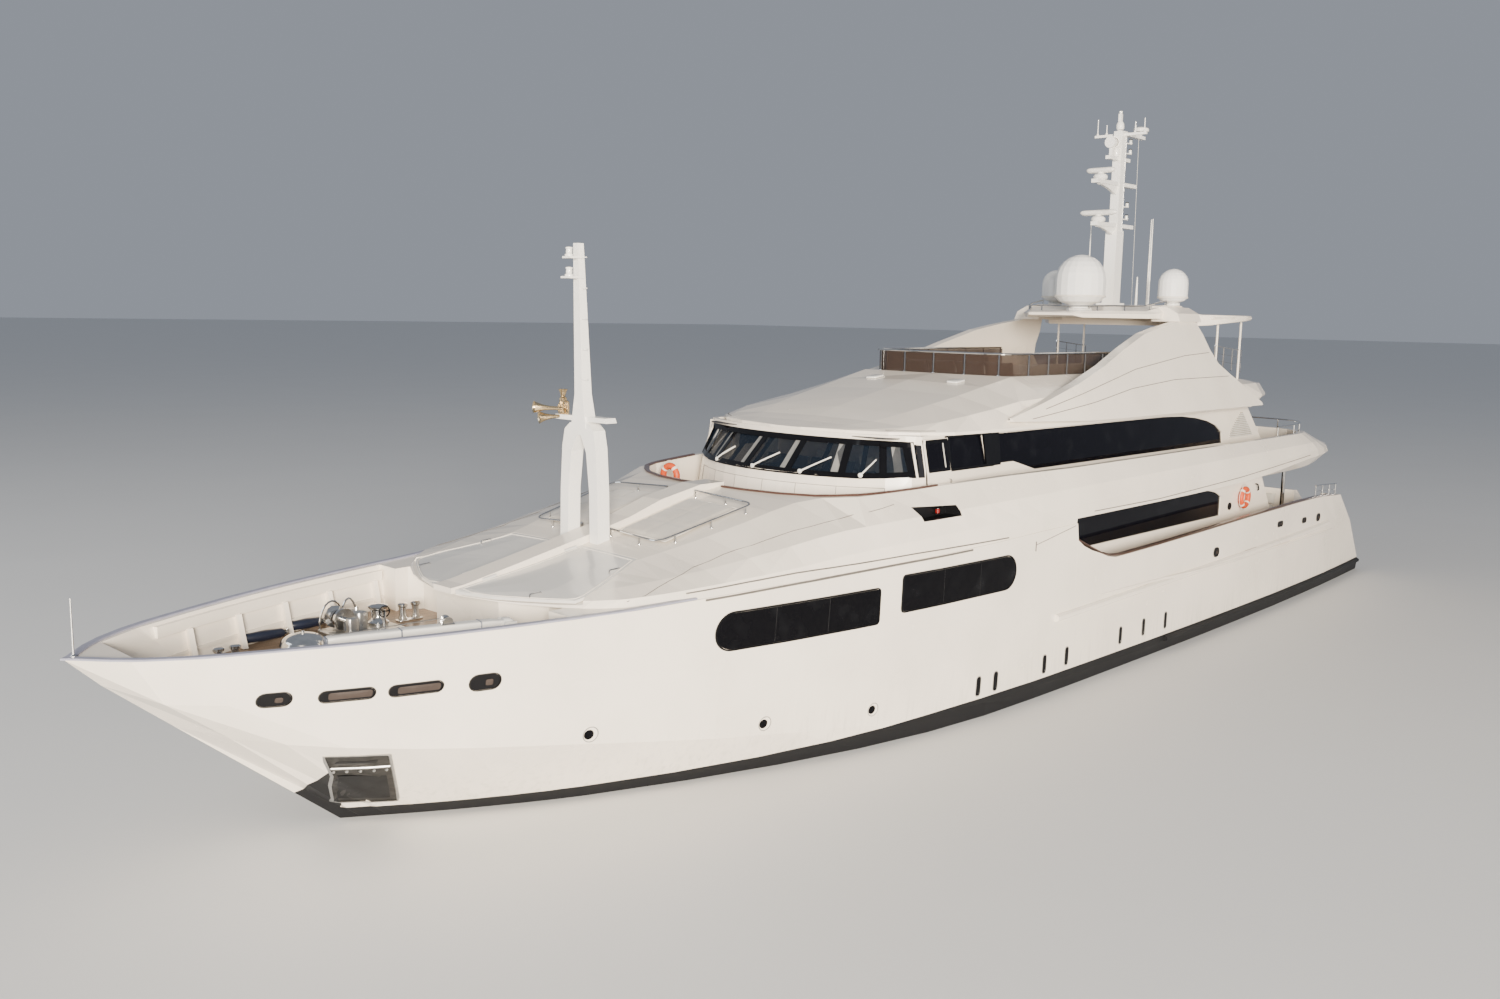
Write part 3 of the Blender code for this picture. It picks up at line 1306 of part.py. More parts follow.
def build_windlass():
    """Two mooring winches on one base plate: a warping drum, a brake drum, a gear housing and a shaft each."""
    floor = WELL_DECK + 0.05
    base = finish("windlass", block((15.9, -1.95, WELL_DECK + GAP), (17.3, 1.95, WELL_DECK + 0.08)), steel())
    parts = []
    for side in (1, -1):
        y = side * 1.6
        parts.append(turned([(0.21, 0.0), (0.21, 0.1), (0.13, 0.14), (0.13, 0.32), (0.2, 0.36), (0.2, 0.42)],
                            (16.15, y, floor), "Z", 16))
        parts.append(turned([(0.22, -0.2), (0.15, -0.14), (0.15, 0.14), (0.22, 0.2)],
                            (16.98, y, WELL_DECK + 0.32), "Y", 16))
        parts.append(rod((16.98, y, WELL_DECK + 0.32), (16.98, side * 1.1, WELL_DECK + 0.32), 0.06, 12))
        parts.append(block((16.84, y - 0.08, floor), (17.12, y + 0.08, WELL_DECK + 0.36)))
        parts.append(block((16.5, y - 0.26, floor), (16.74, y + 0.26, WELL_DECK + 0.42)))
        parts.append(block((16.88, side * 1.12 - 0.08, floor), (17.08, side * 1.12 + 0.08, WELL_DECK + 0.4)))
    join(base, *[tool(bm) for bm in parts])
    return base


def build_well_dome():
    profile = [(0.42, 0.0), (0.42, 0.1)]
    for i in range(1, 5):
        a = math.pi / 2 * i / 5
        profile.append((0.42 * math.cos(a), 0.1 + 0.2 * math.sin(a)))
    profile.append((0.03, 0.31))
    return finish("well_hatch", turned(profile, (18.0, -1.1, WELL_DECK + GAP), "Z", 20), steel())


CRANE_FOOT = Vector((15.85, 2.3, WELL_DECK))
CRANE_TIP = Vector((18.9, 1.4, WELL_DECK))
CRANE_PIVOT_Z = 3.7
BOOM_HALF = 0.15


def build_crane():
    """Deck crane: a post with two cheeks, and a boom that luffs on a pin between them."""
    pivot = Vector((CRANE_FOOT[0], CRANE_FOOT[1], CRANE_PIVOT_Z))
    reach = CRANE_TIP - CRANE_FOOT
    place = Matrix.Translation(pivot) @ Matrix.Rotation(math.atan2(reach[1], reach[0]), 4, 'Z')

    def placed(bm):
        bmesh.ops.transform(bm, matrix=place, verts=bm.verts)
        return bm

    drop = BOOM_HALF + CLEAR
    foot = GAP - (CRANE_PIVOT_Z - WELL_DECK)
    post = finish("crane_post", placed(turned([(0.16, foot), (0.16, -drop)], (0, 0, 0), "Z", 16)), white())
    saddle = block((-0.16, -drop - 0.05, -drop - 0.08), (0.16, drop + 0.05, -drop))
    cheeks = [block((-0.11, min(y, y + w), -drop - 0.04), (0.11, max(y, y + w), 0.11))
              for y, w in ((drop, 0.05), (-drop, -0.05))]
    join(post, *[tool(placed(bm)) for bm in (saddle, *cheeks)])
    outline = [(reach.length, -0.1), (reach.length, BOOM_HALF)]
    for step in range(9):
        a = math.radians(90 + 22.5 * step)
        outline.append((BOOM_HALF * math.cos(a), BOOM_HALF * math.sin(a)))
    boom = finish("crane_boom", placed(prism(outline, -BOOM_HALF, BOOM_HALF)), white(), pivot)
    pin = placed(rod((0, GAP - drop, 0), (0, drop - GAP, 0), 0.07, 12))
    return join(boom, finish("pin", pin, white(), pivot))


def build_jackstaff():
    x = 22.33
    z = along_hull(edge_height, x - 0.05) + GAP
    profile = [(0.045, z), (0.045, z + 0.04), (0.02, z + 0.06), (0.012, z + 0.95)]
    return finish("jackstaff", turned(profile, (x, 0, 0), "Z", 8), steel())


def build_column(side, name):
    foot = (-15.6, side * 3.9, MAIN_DECK + GAP)
    return finish(name, rod(foot, (foot[0], foot[1], SOFFIT - GAP), 0.07, 12), steel())


def build_upper_aft_rail():
    plan = [(-13.2, breadth(-13.2) - 0.42)] + aft_round(-14.65, -17.4, breadth(-14.65) - 0.41, 7)
    path = mirror_path([(x, y, 5.55) for x, y in plan])
    return finish("upper_aft_rail", rail_cells(path, 0.0, [0.36], 0.04, 1.4), steel())


def build_aft_rail():
    path = [(x, breadth(x) - 0.09, along_hull(edge_height, x) + 2 * GAP) for x in (-16.5, -17.8, -18.7)]
    for side, name in ((1, "aft_rail_port"), (-1, "aft_rail_starboard")):
        mirrored = [(x, side * y, z) for x, y, z in path]
        finish(name, rail_cells(mirrored, 0.0, [0.35], 0.035, 1.0), steel())


def build_helm():
    console = [(5.6, UPPER_DECK + GAP), (5.9, 5.5), (5.2, 5.6), (4.9, 5.35), (4.9, UPPER_DECK + GAP)]
    finish("helm_console", prism(console, -1.6, 1.6), material("dark_trim", (0.05, 0.05, 0.05), 0.5))
    seats = finish("helm_seats", block((3.5, -1.1, UPPER_DECK + GAP), (4.1, 1.1, UPPER_DECK + 0.12)), fabric())
    parts = []
    for y in (-0.7, 0.7):
        parts.append(block((3.74, y - 0.06, UPPER_DECK + 0.1), (3.86, y + 0.06, UPPER_DECK + 0.5)))
        parts.append(block((3.5, y - 0.28, UPPER_DECK + 0.48), (4.05, y + 0.28, UPPER_DECK + 0.62)))
        parts.append(block((3.45, y - 0.26, UPPER_DECK + 0.6), (3.58, y + 0.26, UPPER_DECK + 1.2)))
    return join(seats, *[tool(bm) for bm in parts])


def build_sofa(name, low, high, back, deck):
    """Plain sofa solid: a seat block with its back along one side."""
    base = finish(name, block((*low, deck + GAP), (*high, deck + 0.42)), fabric())
    return join(base, tool(block((back[0], back[1], deck + 0.3), (back[2], back[3], deck + 0.85))))


def build():
    clear_scene()
    build_hull()
    build_transom_door()
    foredeck = build_foredeck()
    roof = build_sundeck()
    for side, suffix in ((1, "port"), (-1, "starboard")):
        build_propeller(side, "propeller_" + suffix)
        build_rudder(side, "rudder_" + suffix)
        build_lid(side, "hatch_lid_" + suffix)
        seat(build_wing(side, "arch_wing_" + suffix), roof, (0, side * 2 * GAP, 0))
        build_wheelhouse_door(side, "wheelhouse_door_" + suffix)
        build_saloon_door(side, "saloon_door_" + suffix)
        build_column(side, "aft_column_" + suffix)
        seat(sloped_pad(side, "sunpad_" + suffix, 9.6, 11.7, 0.5, 1.95, 0.14), foredeck, (0, 0, GAP))
        seat(build_pad_rail(side, "sunpad_rail_" + suffix), foredeck, (0, 0, GAP))
        window_strip(side, "bridge_window_" + suffix, [4.0, 2.5], (3.6, 3.42), (WH_SILL, WH_HEAD),
                     lambda x: SIDE_SILL, lambda x: SIDE_HEAD)
        window_strip(side, "upper_windows_" + suffix, UH_WINDOW_XS, (UH_WALL_LOW, UH_WALL_HIGH),
                     (UPPER_DECK, HOUSE_TOP), upper_sill, upper_head)
        window_strip(side, "saloon_windows_" + suffix, SALOON_WINDOW_XS, (SALOON_WALL, SALOON_WALL),
                     (MAIN_DECK, SOFFIT), saloon_sill, saloon_head)
        build_dome("small_dome_" + suffix, (-10.0, side * 2.1), 0.46, BEAM_TOP, 0.54)
    seat(build_foremast(), foredeck, (0, 0, GAP))
    seat(build_upper_aft_rail(), build_upper_deck(), (0, 0, GAP))
    build_wheelhouse()
    build_wheelhouse_glass()
    build_upper_house()
    build_upper_aft_door()
    seat(build_hardtop(), roof, (0, 0, GAP))
    build_screen_glass()
    build_screen_rail()
    build_main_mast()
    build_scanner("radar_lower", 12.42, 1.3)
    build_scanner("radar_upper", 13.74, 1.0)
    build_dome("large_dome", (-7.9, 0.0), 0.79, HARDTOP_HIGH, 0.68)
    build_main_house()
    build_windlass()
    build_well_dome()
    build_crane()
    build_jackstaff()
    build_aft_rail()
    build_helm()
    build_sofa("sundeck_sofa", (-3.2, -1.9), (-1.0, 1.9), (-1.25, -1.9, -1.0, 1.9), SUN_DECK)
    build_sofa("aft_sofa", (-18.6, -2.6), (-17.7, 2.6), (-18.6, -2.6, -18.35, 2.6), MAIN_DECK)
    build_sofa("upper_aft_sofa", (-16.6, -1.6), (-15.8, 1.6), (-16.6, -1.6, -16.35, 1.6), UPPER_DECK)


build()
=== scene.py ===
"""Looks of a half-size model of a motor yacht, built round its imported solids.

Sizes in the shape functions are the full ship's, in metres: +X to the bow, +Y to port, +Z up,
origin amidships at the waterline. SCALE shrinks them once, where a mesh is made.
"""
import math

import bmesh
import bpy
import numpy as np
from mathutils import Matrix, Vector


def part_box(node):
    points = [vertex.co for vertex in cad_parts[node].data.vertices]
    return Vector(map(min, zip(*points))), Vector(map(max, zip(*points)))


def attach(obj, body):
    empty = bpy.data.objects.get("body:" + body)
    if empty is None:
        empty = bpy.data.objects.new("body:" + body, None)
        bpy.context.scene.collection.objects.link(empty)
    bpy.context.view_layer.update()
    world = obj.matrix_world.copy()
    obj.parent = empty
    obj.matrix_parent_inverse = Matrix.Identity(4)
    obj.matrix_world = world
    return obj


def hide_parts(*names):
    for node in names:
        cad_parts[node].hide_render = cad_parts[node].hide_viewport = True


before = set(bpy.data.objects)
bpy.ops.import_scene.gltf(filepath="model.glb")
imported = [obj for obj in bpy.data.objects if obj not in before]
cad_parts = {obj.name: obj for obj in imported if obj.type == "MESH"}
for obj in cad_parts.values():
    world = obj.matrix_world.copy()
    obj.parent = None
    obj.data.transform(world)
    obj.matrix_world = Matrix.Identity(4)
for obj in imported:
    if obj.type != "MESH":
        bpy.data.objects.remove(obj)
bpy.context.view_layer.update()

bl_info = {
    "name": "Motor Yacht Looks",
    "version": (1, 0, 0),
    "blender": (4, 5, 0),
    "location": "View3D > Sidebar > Yacht",
    "description": "Builds the fittings, furnishings and finishes of a motor yacht round its frame",
    "category": "Object",
}

SCALE = 0.5
MAIN_DECK = 2.25
WELL_DECK = 3.0
UPPER_DECK = 4.62
SUN_DECK = 7.30
COAMING_TOP = 7.78
SCREEN_TOP = 8.38
SIDES = ((1, "port"), (-1, "starboard"))
TINY = 1e-9


# Shapes: arrays of points, each a function of two parameters on a grid

def rows_of(*parts):
    """Stack points, given as rows or single points, into one array."""
    return np.vstack([np.atleast_2d(np.asarray(p, float)) for p in parts])


def skin(rings, wrap=False):
    """Closed solid through rings of points (ring, point, xyz): quads between neighbours, and either fans to
    the centres of the two end rings or, with wrap, quads from the last ring back to the first."""
    rings = np.asarray(rings, float)
    count, n, _ = rings.shape
    index = np.arange(count * n).reshape(count, n)
    across = np.roll(index, -1, axis=1)
    lower, upper = (index, np.roll(index, -1, axis=0)) if wrap else (index[:-1], index[1:])
    lower_next, upper_next = (across, np.roll(across, -1, axis=0)) if wrap else (across[:-1], across[1:])
    faces = np.stack([lower, lower_next, upper_next, upper], axis=-1).reshape(-1, 4).tolist()
    verts = rings.reshape(-1, 3)
    if not wrap:
        verts = np.vstack([verts, rings[[0, -1]].mean(axis=1)])
        first, last = count * n, count * n + 1
        faces += np.stack([across[0], index[0], np.full(n, first)], axis=-1).tolist()
        faces += np.stack([index[-1], across[-1], np.full(n, last)], axis=-1).tolist()
    return verts, faces


def merged(*parts):
    """One mesh from several: points stacked and face numbers moved on."""
    verts, faces, start = [], [], 0
    for points, polygons in parts:
        verts.append(points)
        faces += [[i + start for i in polygon] for polygon in polygons]
        start += len(points)
    return np.vstack(verts), faces


def each_merged(*lists):
    """One mesh from each list of parts."""
    return [merged(*parts) for parts in lists]


def moved(part, shift):
    """Carry a part by a shift."""
    return part[0] + np.asarray(shift, float), part[1]


def turned_part(part, angle, axis, centre=(0, 0, 0)):
    """Turn a part by an angle in degrees about an axis through a centre."""
    turn = np.array(Matrix.Rotation(math.radians(angle), 3, Vector(axis)))
    centre = np.asarray(centre, float)
    return (part[0] - centre) @ turn.T + centre, part[1]


def mirrored(part):
    """The same part on the other side of the ship."""
    return part[0] * np.array([1.0, -1.0, 1.0]), part[1]


def both(part):
    """A part and its mirror image as one."""
    return merged(part, mirrored(part))


def on_side(part, side):
    """A port part itself, or its mirror image where side is -1."""
    return part if side > 0 else mirrored(part)


def arc(count, start=0.0, end=360.0, closed=True):
    """Angles in radians from start to end; a closed arc leaves out the last one."""
    return np.radians(np.linspace(start, end, count, endpoint=not closed))


def unit(vectors):
    """Vectors scaled to length one."""
    return vectors / np.maximum(np.linalg.norm(vectors, axis=-1, keepdims=True), TINY)


def path_frames(path, closed):
    """Unit tangents of a path, and two unit vectors square to each."""
    if closed:
        tangents = np.roll(path, -1, axis=0) - np.roll(path, 1, axis=0)
    else:
        tangents = np.gradient(path, axis=0)
    tangents = unit(tangents)
    rest = np.zeros(3)
    rest[np.abs(tangents).mean(axis=0).argmin()] = 1.0
    side = unit(np.cross(tangents, rest))
    return tangents, side, np.cross(tangents, side)


def tube(path, radius, sides=10, closed=False):
    """Circle of a radius carried along a path; the radius may change from point to point."""
    path = np.asarray(path, float)
    _, u, v = path_frames(path, closed)
    a = arc(sides)
    reach = np.broadcast_to(np.asarray(radius, float), (len(path),))[:, None, None]
    circle = np.cos(a)[None, :, None] * u[:, None] + np.sin(a)[None, :, None] * v[:, None]
    return skin(path[:, None] + reach * circle, wrap=closed)


def rounded_path(points, radius=0.1, steps=5):
    """Path through points whose corners are replaced by quadratic curves that start a radius away."""
    points = np.asarray(points, float)
    out = [points[:1]]
    t = np.linspace(0, 1, steps)[:, None]
    for before, corner, after in zip(points, points[1:], points[2:]):
        a = corner + (before - corner) * min(radius / np.linalg.norm(before - corner), 0.45)
        b = corner + (after - corner) * min(radius / np.linalg.norm(after - corner), 0.45)
        out.append((1 - t) ** 2 * a + 2 * t * (1 - t) * corner + t ** 2 * b)
    out.append(points[-1:])
    return np.vstack(out)


def level_path(plan, z=0.0):
    """Points of a plane outline, given a third coordinate."""
    return np.column_stack([plan, np.full(len(plan), z)])


def dense(path, step=0.3):
    """The same path with points at most a step apart."""
    path = np.asarray(path, float)
    lengths = np.concatenate([[0], np.cumsum(np.linalg.norm(np.diff(path, axis=0), axis=1))])
    count = max(2, int(lengths[-1] / step) + 2)
    at = np.unique(np.concatenate([np.linspace(0, lengths[-1], count), lengths]))
    return np.stack([np.interp(at, lengths, path[:, k]) for k in range(3)], axis=1)


def closed_loop(points, step):
    """Closed outline of plane points with its neighbours at most a step apart."""
    return dense(level_path(rows_of(points, points[0])), step)[:-1, :2]


AXES = {"X": (1, 2, 0), "Y": (2, 0, 1), "Z": (0, 1, 2)}


def lathe(profile, centre=(0, 0, 0), axis="Z", sides=24):
    """Profile of (radius, height) turned about an axis through centre."""
    profile = np.asarray(profile, float)
    a = arc(sides)
    rings = np.zeros((len(profile), sides, 3))
    u, v, w = AXES[axis]
    rings[..., u] = profile[:, :1] * np.cos(a)
    rings[..., v] = profile[:, :1] * np.sin(a)
    rings[..., w] = profile[:, 1:]
    return skin(rings + np.asarray(centre, float))


def aimed(profile, start, end, sides=16):
    """Profile of (radius, distance) turned about the line from start towards end."""
    start, end = np.asarray(start, float), np.asarray(end, float)
    part = lathe(profile, sides=sides)
    turn = np.array(Vector(end - start).to_track_quat('Z', 'Y').to_matrix())
    return part[0] @ turn.T + start, part[1]


def round_rect(width, depth, radius, steps=4):
    """Loop of a rectangle with quarter-circle corners, centred on the origin."""
    radius = min(radius, width / 2 - 1e-4, depth / 2 - 1e-4)
    a = arc(steps + 1, 0, 90, closed=False)
    corner = np.stack([np.cos(a), np.sin(a)], axis=1) * radius
    reach = np.array([width / 2 - radius, depth / 2 - radius])
    turns = [corner, corner[::-1] * [-1, 1], corner * [-1, -1], corner[::-1] * [1, -1]]
    signs = [(1, 1), (-1, 1), (-1, -1), (1, -1)]
    return np.vstack([c + reach * s for c, s in zip(turns, signs)])


def slab(centre, size, bevel=0.02, corner=0.0, steps=3):
    """Box with rounded upright corners and bevelled rims: rounded rectangles stacked in height."""
    width, depth, height = size
    corner = max(corner, bevel)
    bevel = min(bevel, height * 0.45)
    rings = []
    for z, inset in ((0, bevel), (bevel * 0.3, bevel * 0.3), (bevel, 0), (height - bevel, 0),
                     (height - bevel * 0.3, bevel * 0.3), (height, bevel)):
        loop = round_rect(width - 2 * inset, depth - 2 * inset, max(corner - inset, 0.003), steps)
        rings.append(np.column_stack([loop, np.full(len(loop), z - height / 2)]))
    return moved(skin(rings), centre)


def brick(low, high, bevel=0.01, corner=0.0):
    """Bevelled box between two corners."""
    low, high = np.asarray(low, float), np.asarray(high, float)
    return slab((low + high) / 2, np.abs(high - low), bevel, corner)


def ribbon(path, sections):
    """Loop of (sideways, upwards) offsets carried along a path that lies roughly level."""
    path = np.asarray(path, float)
    tangents = np.gradient(path, axis=0)
    side = unit(np.stack([-tangents[:, 1], tangents[:, 0], np.zeros(len(path))], axis=1))
    sections = np.asarray(sections, float)
    up = np.array([0.0, 0.0, 1.0])
    rings = path[:, None] + sections[None, :, :1] * side[:, None] + sections[None, :, 1:] * up
    return skin(rings)


def box_beam(x, half, low, top, radius):
    """Beam along X: a rounded oblong section whose half-width, foot and head change along it."""
    rings = []
    for place, wide, foot, head in zip(*np.broadcast_arrays(x, half, low, top)):
        loop = round_rect(wide * 2, head - foot, radius, 3)
        rings.append(np.column_stack([np.full(len(loop), place), loop[:, 0], loop[:, 1] + (head + foot) / 2]))
    return skin(rings)


# Places on the frame's own surfaces

_triangles = {}
SLIVER = 1e-10
SLACK = 1e-6
LINES_AT_ONCE = 150


def node_triangles(node):
    """Corners of a frame node's triangles in full-size metres."""
    if node not in _triangles:
        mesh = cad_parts[node].data
        mesh.calc_loop_triangles()
        corners = np.zeros(len(mesh.loop_triangles) * 3, np.int32)
        mesh.loop_triangles.foreach_get("vertices", corners)
        places = np.zeros(len(mesh.vertices) * 3)
        mesh.vertices.foreach_get("co", places)
        _triangles[node] = places.reshape(-1, 3)[corners].reshape(-1, 3, 3) / SCALE
    return _triangles[node]


def crossings(node, points, axis, low, high):
    """Farthest crossing, between two limits, of lines along an axis with a node's triangles; each line goes
    through one point. Barycentric coordinates in the plane across the axis say which triangles are met."""
    u, v = [k for k in range(3) if k != axis]
    corners = node_triangles(node)
    start, first, second = corners[:, 0], corners[:, 1] - corners[:, 0], corners[:, 2] - corners[:, 0]
    area = first[:, u] * second[:, v] - first[:, v] * second[:, u]
    usable = np.abs(area) > SLIVER
    start, first, second, area = start[usable], first[usable], second[usable], area[usable]
    found = []
    for block in np.array_split(points, max(1, len(points) // LINES_AT_ONCE)):
        du = block[:, None, u] - start[None, :, u]
        dv = block[:, None, v] - start[None, :, v]
        s = (du * second[:, v] - dv * second[:, u]) / area
        t = (dv * first[:, u] - du * first[:, v]) / area
        value = start[:, axis] + s * first[:, axis] + t * second[:, axis]
        met = (s > -SLACK) & (t > -SLACK) & (s + t < 1 + SLACK) & (value >= low) & (value <= high)
        found.append(np.where(met, value, -np.inf).max(axis=1))
    found = np.concatenate(found)
    good = np.isfinite(found)
    if not good.any():
        raise RuntimeError(f"no point of {node} was met")
    order = np.arange(len(found))
    return np.interp(order, order[good], found[good])


def side_of(node, x, z, low=0.0, high=6.0):
    """Port half-breadth of a node's outer side at places X and Z."""
    x, z = np.broadcast_arrays(np.asarray(x, float), np.asarray(z, float))
    points = np.stack([x.ravel(), np.zeros(x.size), z.ravel()], axis=1)
    return crossings(node, points, 1, low, high).reshape(x.shape)


def top_of(node, x, y, low=-5.0, high=20.0):
    """Height of a node's upper surface at places X and Y, between two limits."""
    x, y = np.broadcast_arrays(np.asarray(x, float), np.asarray(y, float))
    points = np.stack([x.ravel(), y.ravel(), np.zeros(x.size)], axis=1)
    return crossings(node, points, 2, low, high).reshape(x.shape)


def side_plate(node, loop, lift, sunk=0.03, rings=5, dish=0.0):
    """Plate on a node's port side: a loop in X and Z, first sunk below the side, then lifted off it in rings
    that shrink towards the middle, which dish raises by a parabola."""
    loop = np.asarray(loop, float)
    middle = loop.mean(axis=0)
    layers = [np.column_stack([loop[:, 0], side_of(node, loop[:, 0], loop[:, 1]) - sunk, loop[:, 1]])]
    for t in np.linspace(1.0, 0.08, rings):
        flat = middle + (loop - middle) * t
        y = side_of(node, flat[:, 0], flat[:, 1]) + lift + dish * (1 - t ** 2)
        layers.append(np.column_stack([flat[:, 0], y, flat[:, 1]]))
    return skin(layers)


def side_rim(node, loop, width, lift, sunk=0.03):
    """Band round a loop in X and Z on a node's port side: four copies of the loop, each wider than the one
    before, of which the first and the last are sunk below the side."""
    loop = np.asarray(loop, float)
    middle = loop.mean(axis=0)
    edge = np.roll(loop, -1, axis=0) - np.roll(loop, 1, axis=0)
    out = unit(np.stack([edge[:, 1], -edge[:, 0]], axis=1))
    out *= np.sign(((loop - middle) * out).sum(axis=1, keepdims=True).mean())
    wide = loop + out * width
    layers = []
    for flat, rise in ((loop, -sunk), (loop + out * width * 0.15, lift), (wide - out * width * 0.15, lift),
                       (wide, -sunk)):
        layers.append(np.column_stack([flat[:, 0], side_of(node, flat[:, 0], flat[:, 1]) + rise, flat[:, 1]]))
    return skin(layers, wrap=True)


def side_line(node, line, radius, sides=6, step=0.4):
    """Thin round line laid on a node's port side through points of X and Z."""
    x, z, _ = dense(level_path(line), step).T
    return tube(np.column_stack([x, side_of(node, x, z), z]), radius, sides)


def capsule_loop(x0, x1, z0, z1, aft_round=True, fore_round=True, steps=8):
    """Loop of a long window in X and Z; each end is a half circle or a square end with small corners."""
    half = (z1 - z0) / 2
    middle = (z0 + z1) / 2
    small = 0.06
    parts = []
    for x, round_end, sign, begin in ((x1, fore_round, 1, -90), (x0, aft_round, -1, 90)):
        if round_end:
            a = arc(steps * 2 + 1, begin, begin + 180, closed=False)
            parts.append(np.column_stack([x - sign * half + np.cos(a) * half, middle + np.sin(a) * half]))
        else:
            for corner in (-1, 1):
                a = arc(4, begin + (0 if corner < 0 else 90), begin + (90 if corner < 0 else 180),
                        closed=False)
                centre = (x - sign * small, middle + sign * corner * (half - small))
                parts.append(np.column_stack([centre[0] + np.cos(a) * small, centre[1] + np.sin(a) * small]))
    loop = np.vstack(parts)
    apart = np.linalg.norm(loop - np.roll(loop, 1, axis=0), axis=1) > 1e-5
    return closed_loop(loop[apart], 0.35)


# Materials: a socket takes part in arithmetic, and each operation adds its node

class Value:
    """Output socket of a shader node; arithmetic on it adds Math nodes to its tree."""

    def __init__(self, shader, socket):
        self.shader = shader
        self.socket = socket

    def math(self, operation, *others, swap=False):
        """Result of a Math node fed with this value and others, in turned order where swap is set."""
        terms = [self, *others]
        if swap:
            terms.reverse()
        return self.shader.node("Math", {"operation": operation}, dict(enumerate(terms)))

    def __add__(self, other):
        return self.math('ADD', other)

    __radd__ = __add__

    def __sub__(self, other):
        return self.math('SUBTRACT', other)

    def __rsub__(self, other):
        return self.math('SUBTRACT', other, swap=True)

    def __mul__(self, other):
        return self.math('MULTIPLY', other)

    __rmul__ = __mul__


    def __gt__(self, other):
        return self.math('GREATER_THAN', other)

    def __lt__(self, other):
        return self.math('LESS_THAN', other)

    def near(self, centre, width):
        """One where the value lies within a width of the centre, otherwise nothing."""
        return self.math('COMPARE', centre, width)

    def ramp(self, low, high, start=0.0, end=1.0):
        """Smooth change from start to end while the value goes from low to high."""
        return self.shader.node("MapRange", {"interpolation_type": 'SMOOTHSTEP'},
                                {0: self, 1: low, 2: high, 3: start, 4: end})


class Shader:
    """Material with one Principled surface; node() makes every other node."""

    def __init__(self, name, **constants):
        self.name = name
        self.material = bpy.data.materials.new(name)
        self.material.use_nodes = True
        self.tree = self.material.node_tree
        self.surface = self.tree.nodes["Principled BSDF"]
        self.fill(self.surface, {key.replace("_", " ").title().replace("Ior", "IOR"): value
                                 for key, value in constants.items()})

    def fill(self, node, sockets):
        """Link each value that comes from a node to its socket, and set the others."""
        for key, value in sockets.items():
            if isinstance(value, Value):
                self.tree.links.new(value.socket, node.inputs[key])
            elif isinstance(value, tuple) and len(value) == 3 and node.inputs[key].type == 'RGBA':
                node.inputs[key].default_value = (*value, 1)
            else:
                node.inputs[key].default_value = value

    def node(self, kind, settings=None, sockets=None, output=0):
        """Add a shader node: its settings are set first, then the values or links of its sockets."""
        made = self.tree.nodes.new("ShaderNode" + kind)
        for key, value in (settings or {}).items():
            setattr(made, key, value)
        self.fill(made, sockets or {})
        return Value(self, made.outputs[output])

    def place(self, output="Object"):
        """Coordinates of the shaded point."""
        return self.node("TexCoord", output=output)

    def axes(self, vector):
        """The three components of a vector."""
        split = self.tree.nodes.new("ShaderNodeSeparateXYZ")
        self.fill(split, {0: vector})
        return [Value(self, split.outputs[k]) for k in range(3)]

    def stretched(self, scale):
        """Coordinates multiplied by a scale for each axis."""
        return self.node("Mapping", sockets={"Vector": self.place(), "Scale": scale})

    def noise(self, size, detail=3.0, vector=None, rough=0.5):
        """Noise between 0 and 1 whose lumps are about size metres across."""
        return self.node("TexNoise", sockets={"Vector": vector or self.place(), "Scale": 1 / size,
                                              "Detail": detail, "Roughness": rough})

    def mix(self, factor, first, second):
        """Colour that goes from the first to the second as the factor rises."""
        return self.node("Mix", {"data_type": 'RGBA'}, {0: factor, 6: first, 7: second}, output=2)

    def bump(self, height, strength, distance):
        """Normal of a surface with this relief."""
        return self.node("Bump", sockets={"Height": height, "Strength": strength, "Distance": distance})

    def done(self, **sockets):
        """Fill the surface's sockets and keep the material as the finish of its name."""
        self.fill(self.surface, {key.replace("_", " ").title(): value for key, value in sockets.items()})
        FINISHES[self.name] = self.material
        return self.material


FINISHES = {}
SAME_PLACE = 1e-6
CREASE = math.radians(38)


def finish_named(name):
    """Material kept under a name."""
    if name not in FINISHES:
        raise RuntimeError(f"no finish is named {name}")
    return FINISHES[name]


def put(name, part, finish, body="ship", replaces=()):
    """Make an object from a part in full-size metres, with its finish in its one material slot."""
    verts, faces = part
    mesh = bpy.data.meshes.new(name)
    mesh.from_pydata((np.asarray(verts) * SCALE).tolist(), [], faces)
    shape = bmesh.new()
    shape.from_mesh(mesh)
    bmesh.ops.remove_doubles(shape, verts=shape.verts, dist=SAME_PLACE)
    bmesh.ops.recalc_face_normals(shape, faces=shape.faces)
    shape.to_mesh(mesh)
    shape.free()
    mesh.shade_smooth()
    mesh.set_sharp_from_angle(angle=CREASE)
    mesh.materials.append(finish_named(finish))
    piece = bpy.data.objects.new(name, mesh)
    bpy.context.scene.collection.objects.link(piece)
    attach(piece, body)
    if replaces:
        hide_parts(*replaces)
    return piece


def put_each(parts, body="ship", replaces=(), **finishes):
    """Make an object from each part: each keyword is its name and the value its finish; the first of them
    stands for the replaced nodes."""
    for part, (name, finish) in zip(parts, finishes.items()):
        put(name, part, finish, body, replaces)
        replaces = ()


def dress(finish, *nodes):
    """Give frame nodes a finish in place of their plain colour."""
    for node in nodes:
        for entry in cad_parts[node].material_slots:
            entry.material = finish_named(finish)


# Finishes

WHITE = (0.87, 0.79, 0.68)


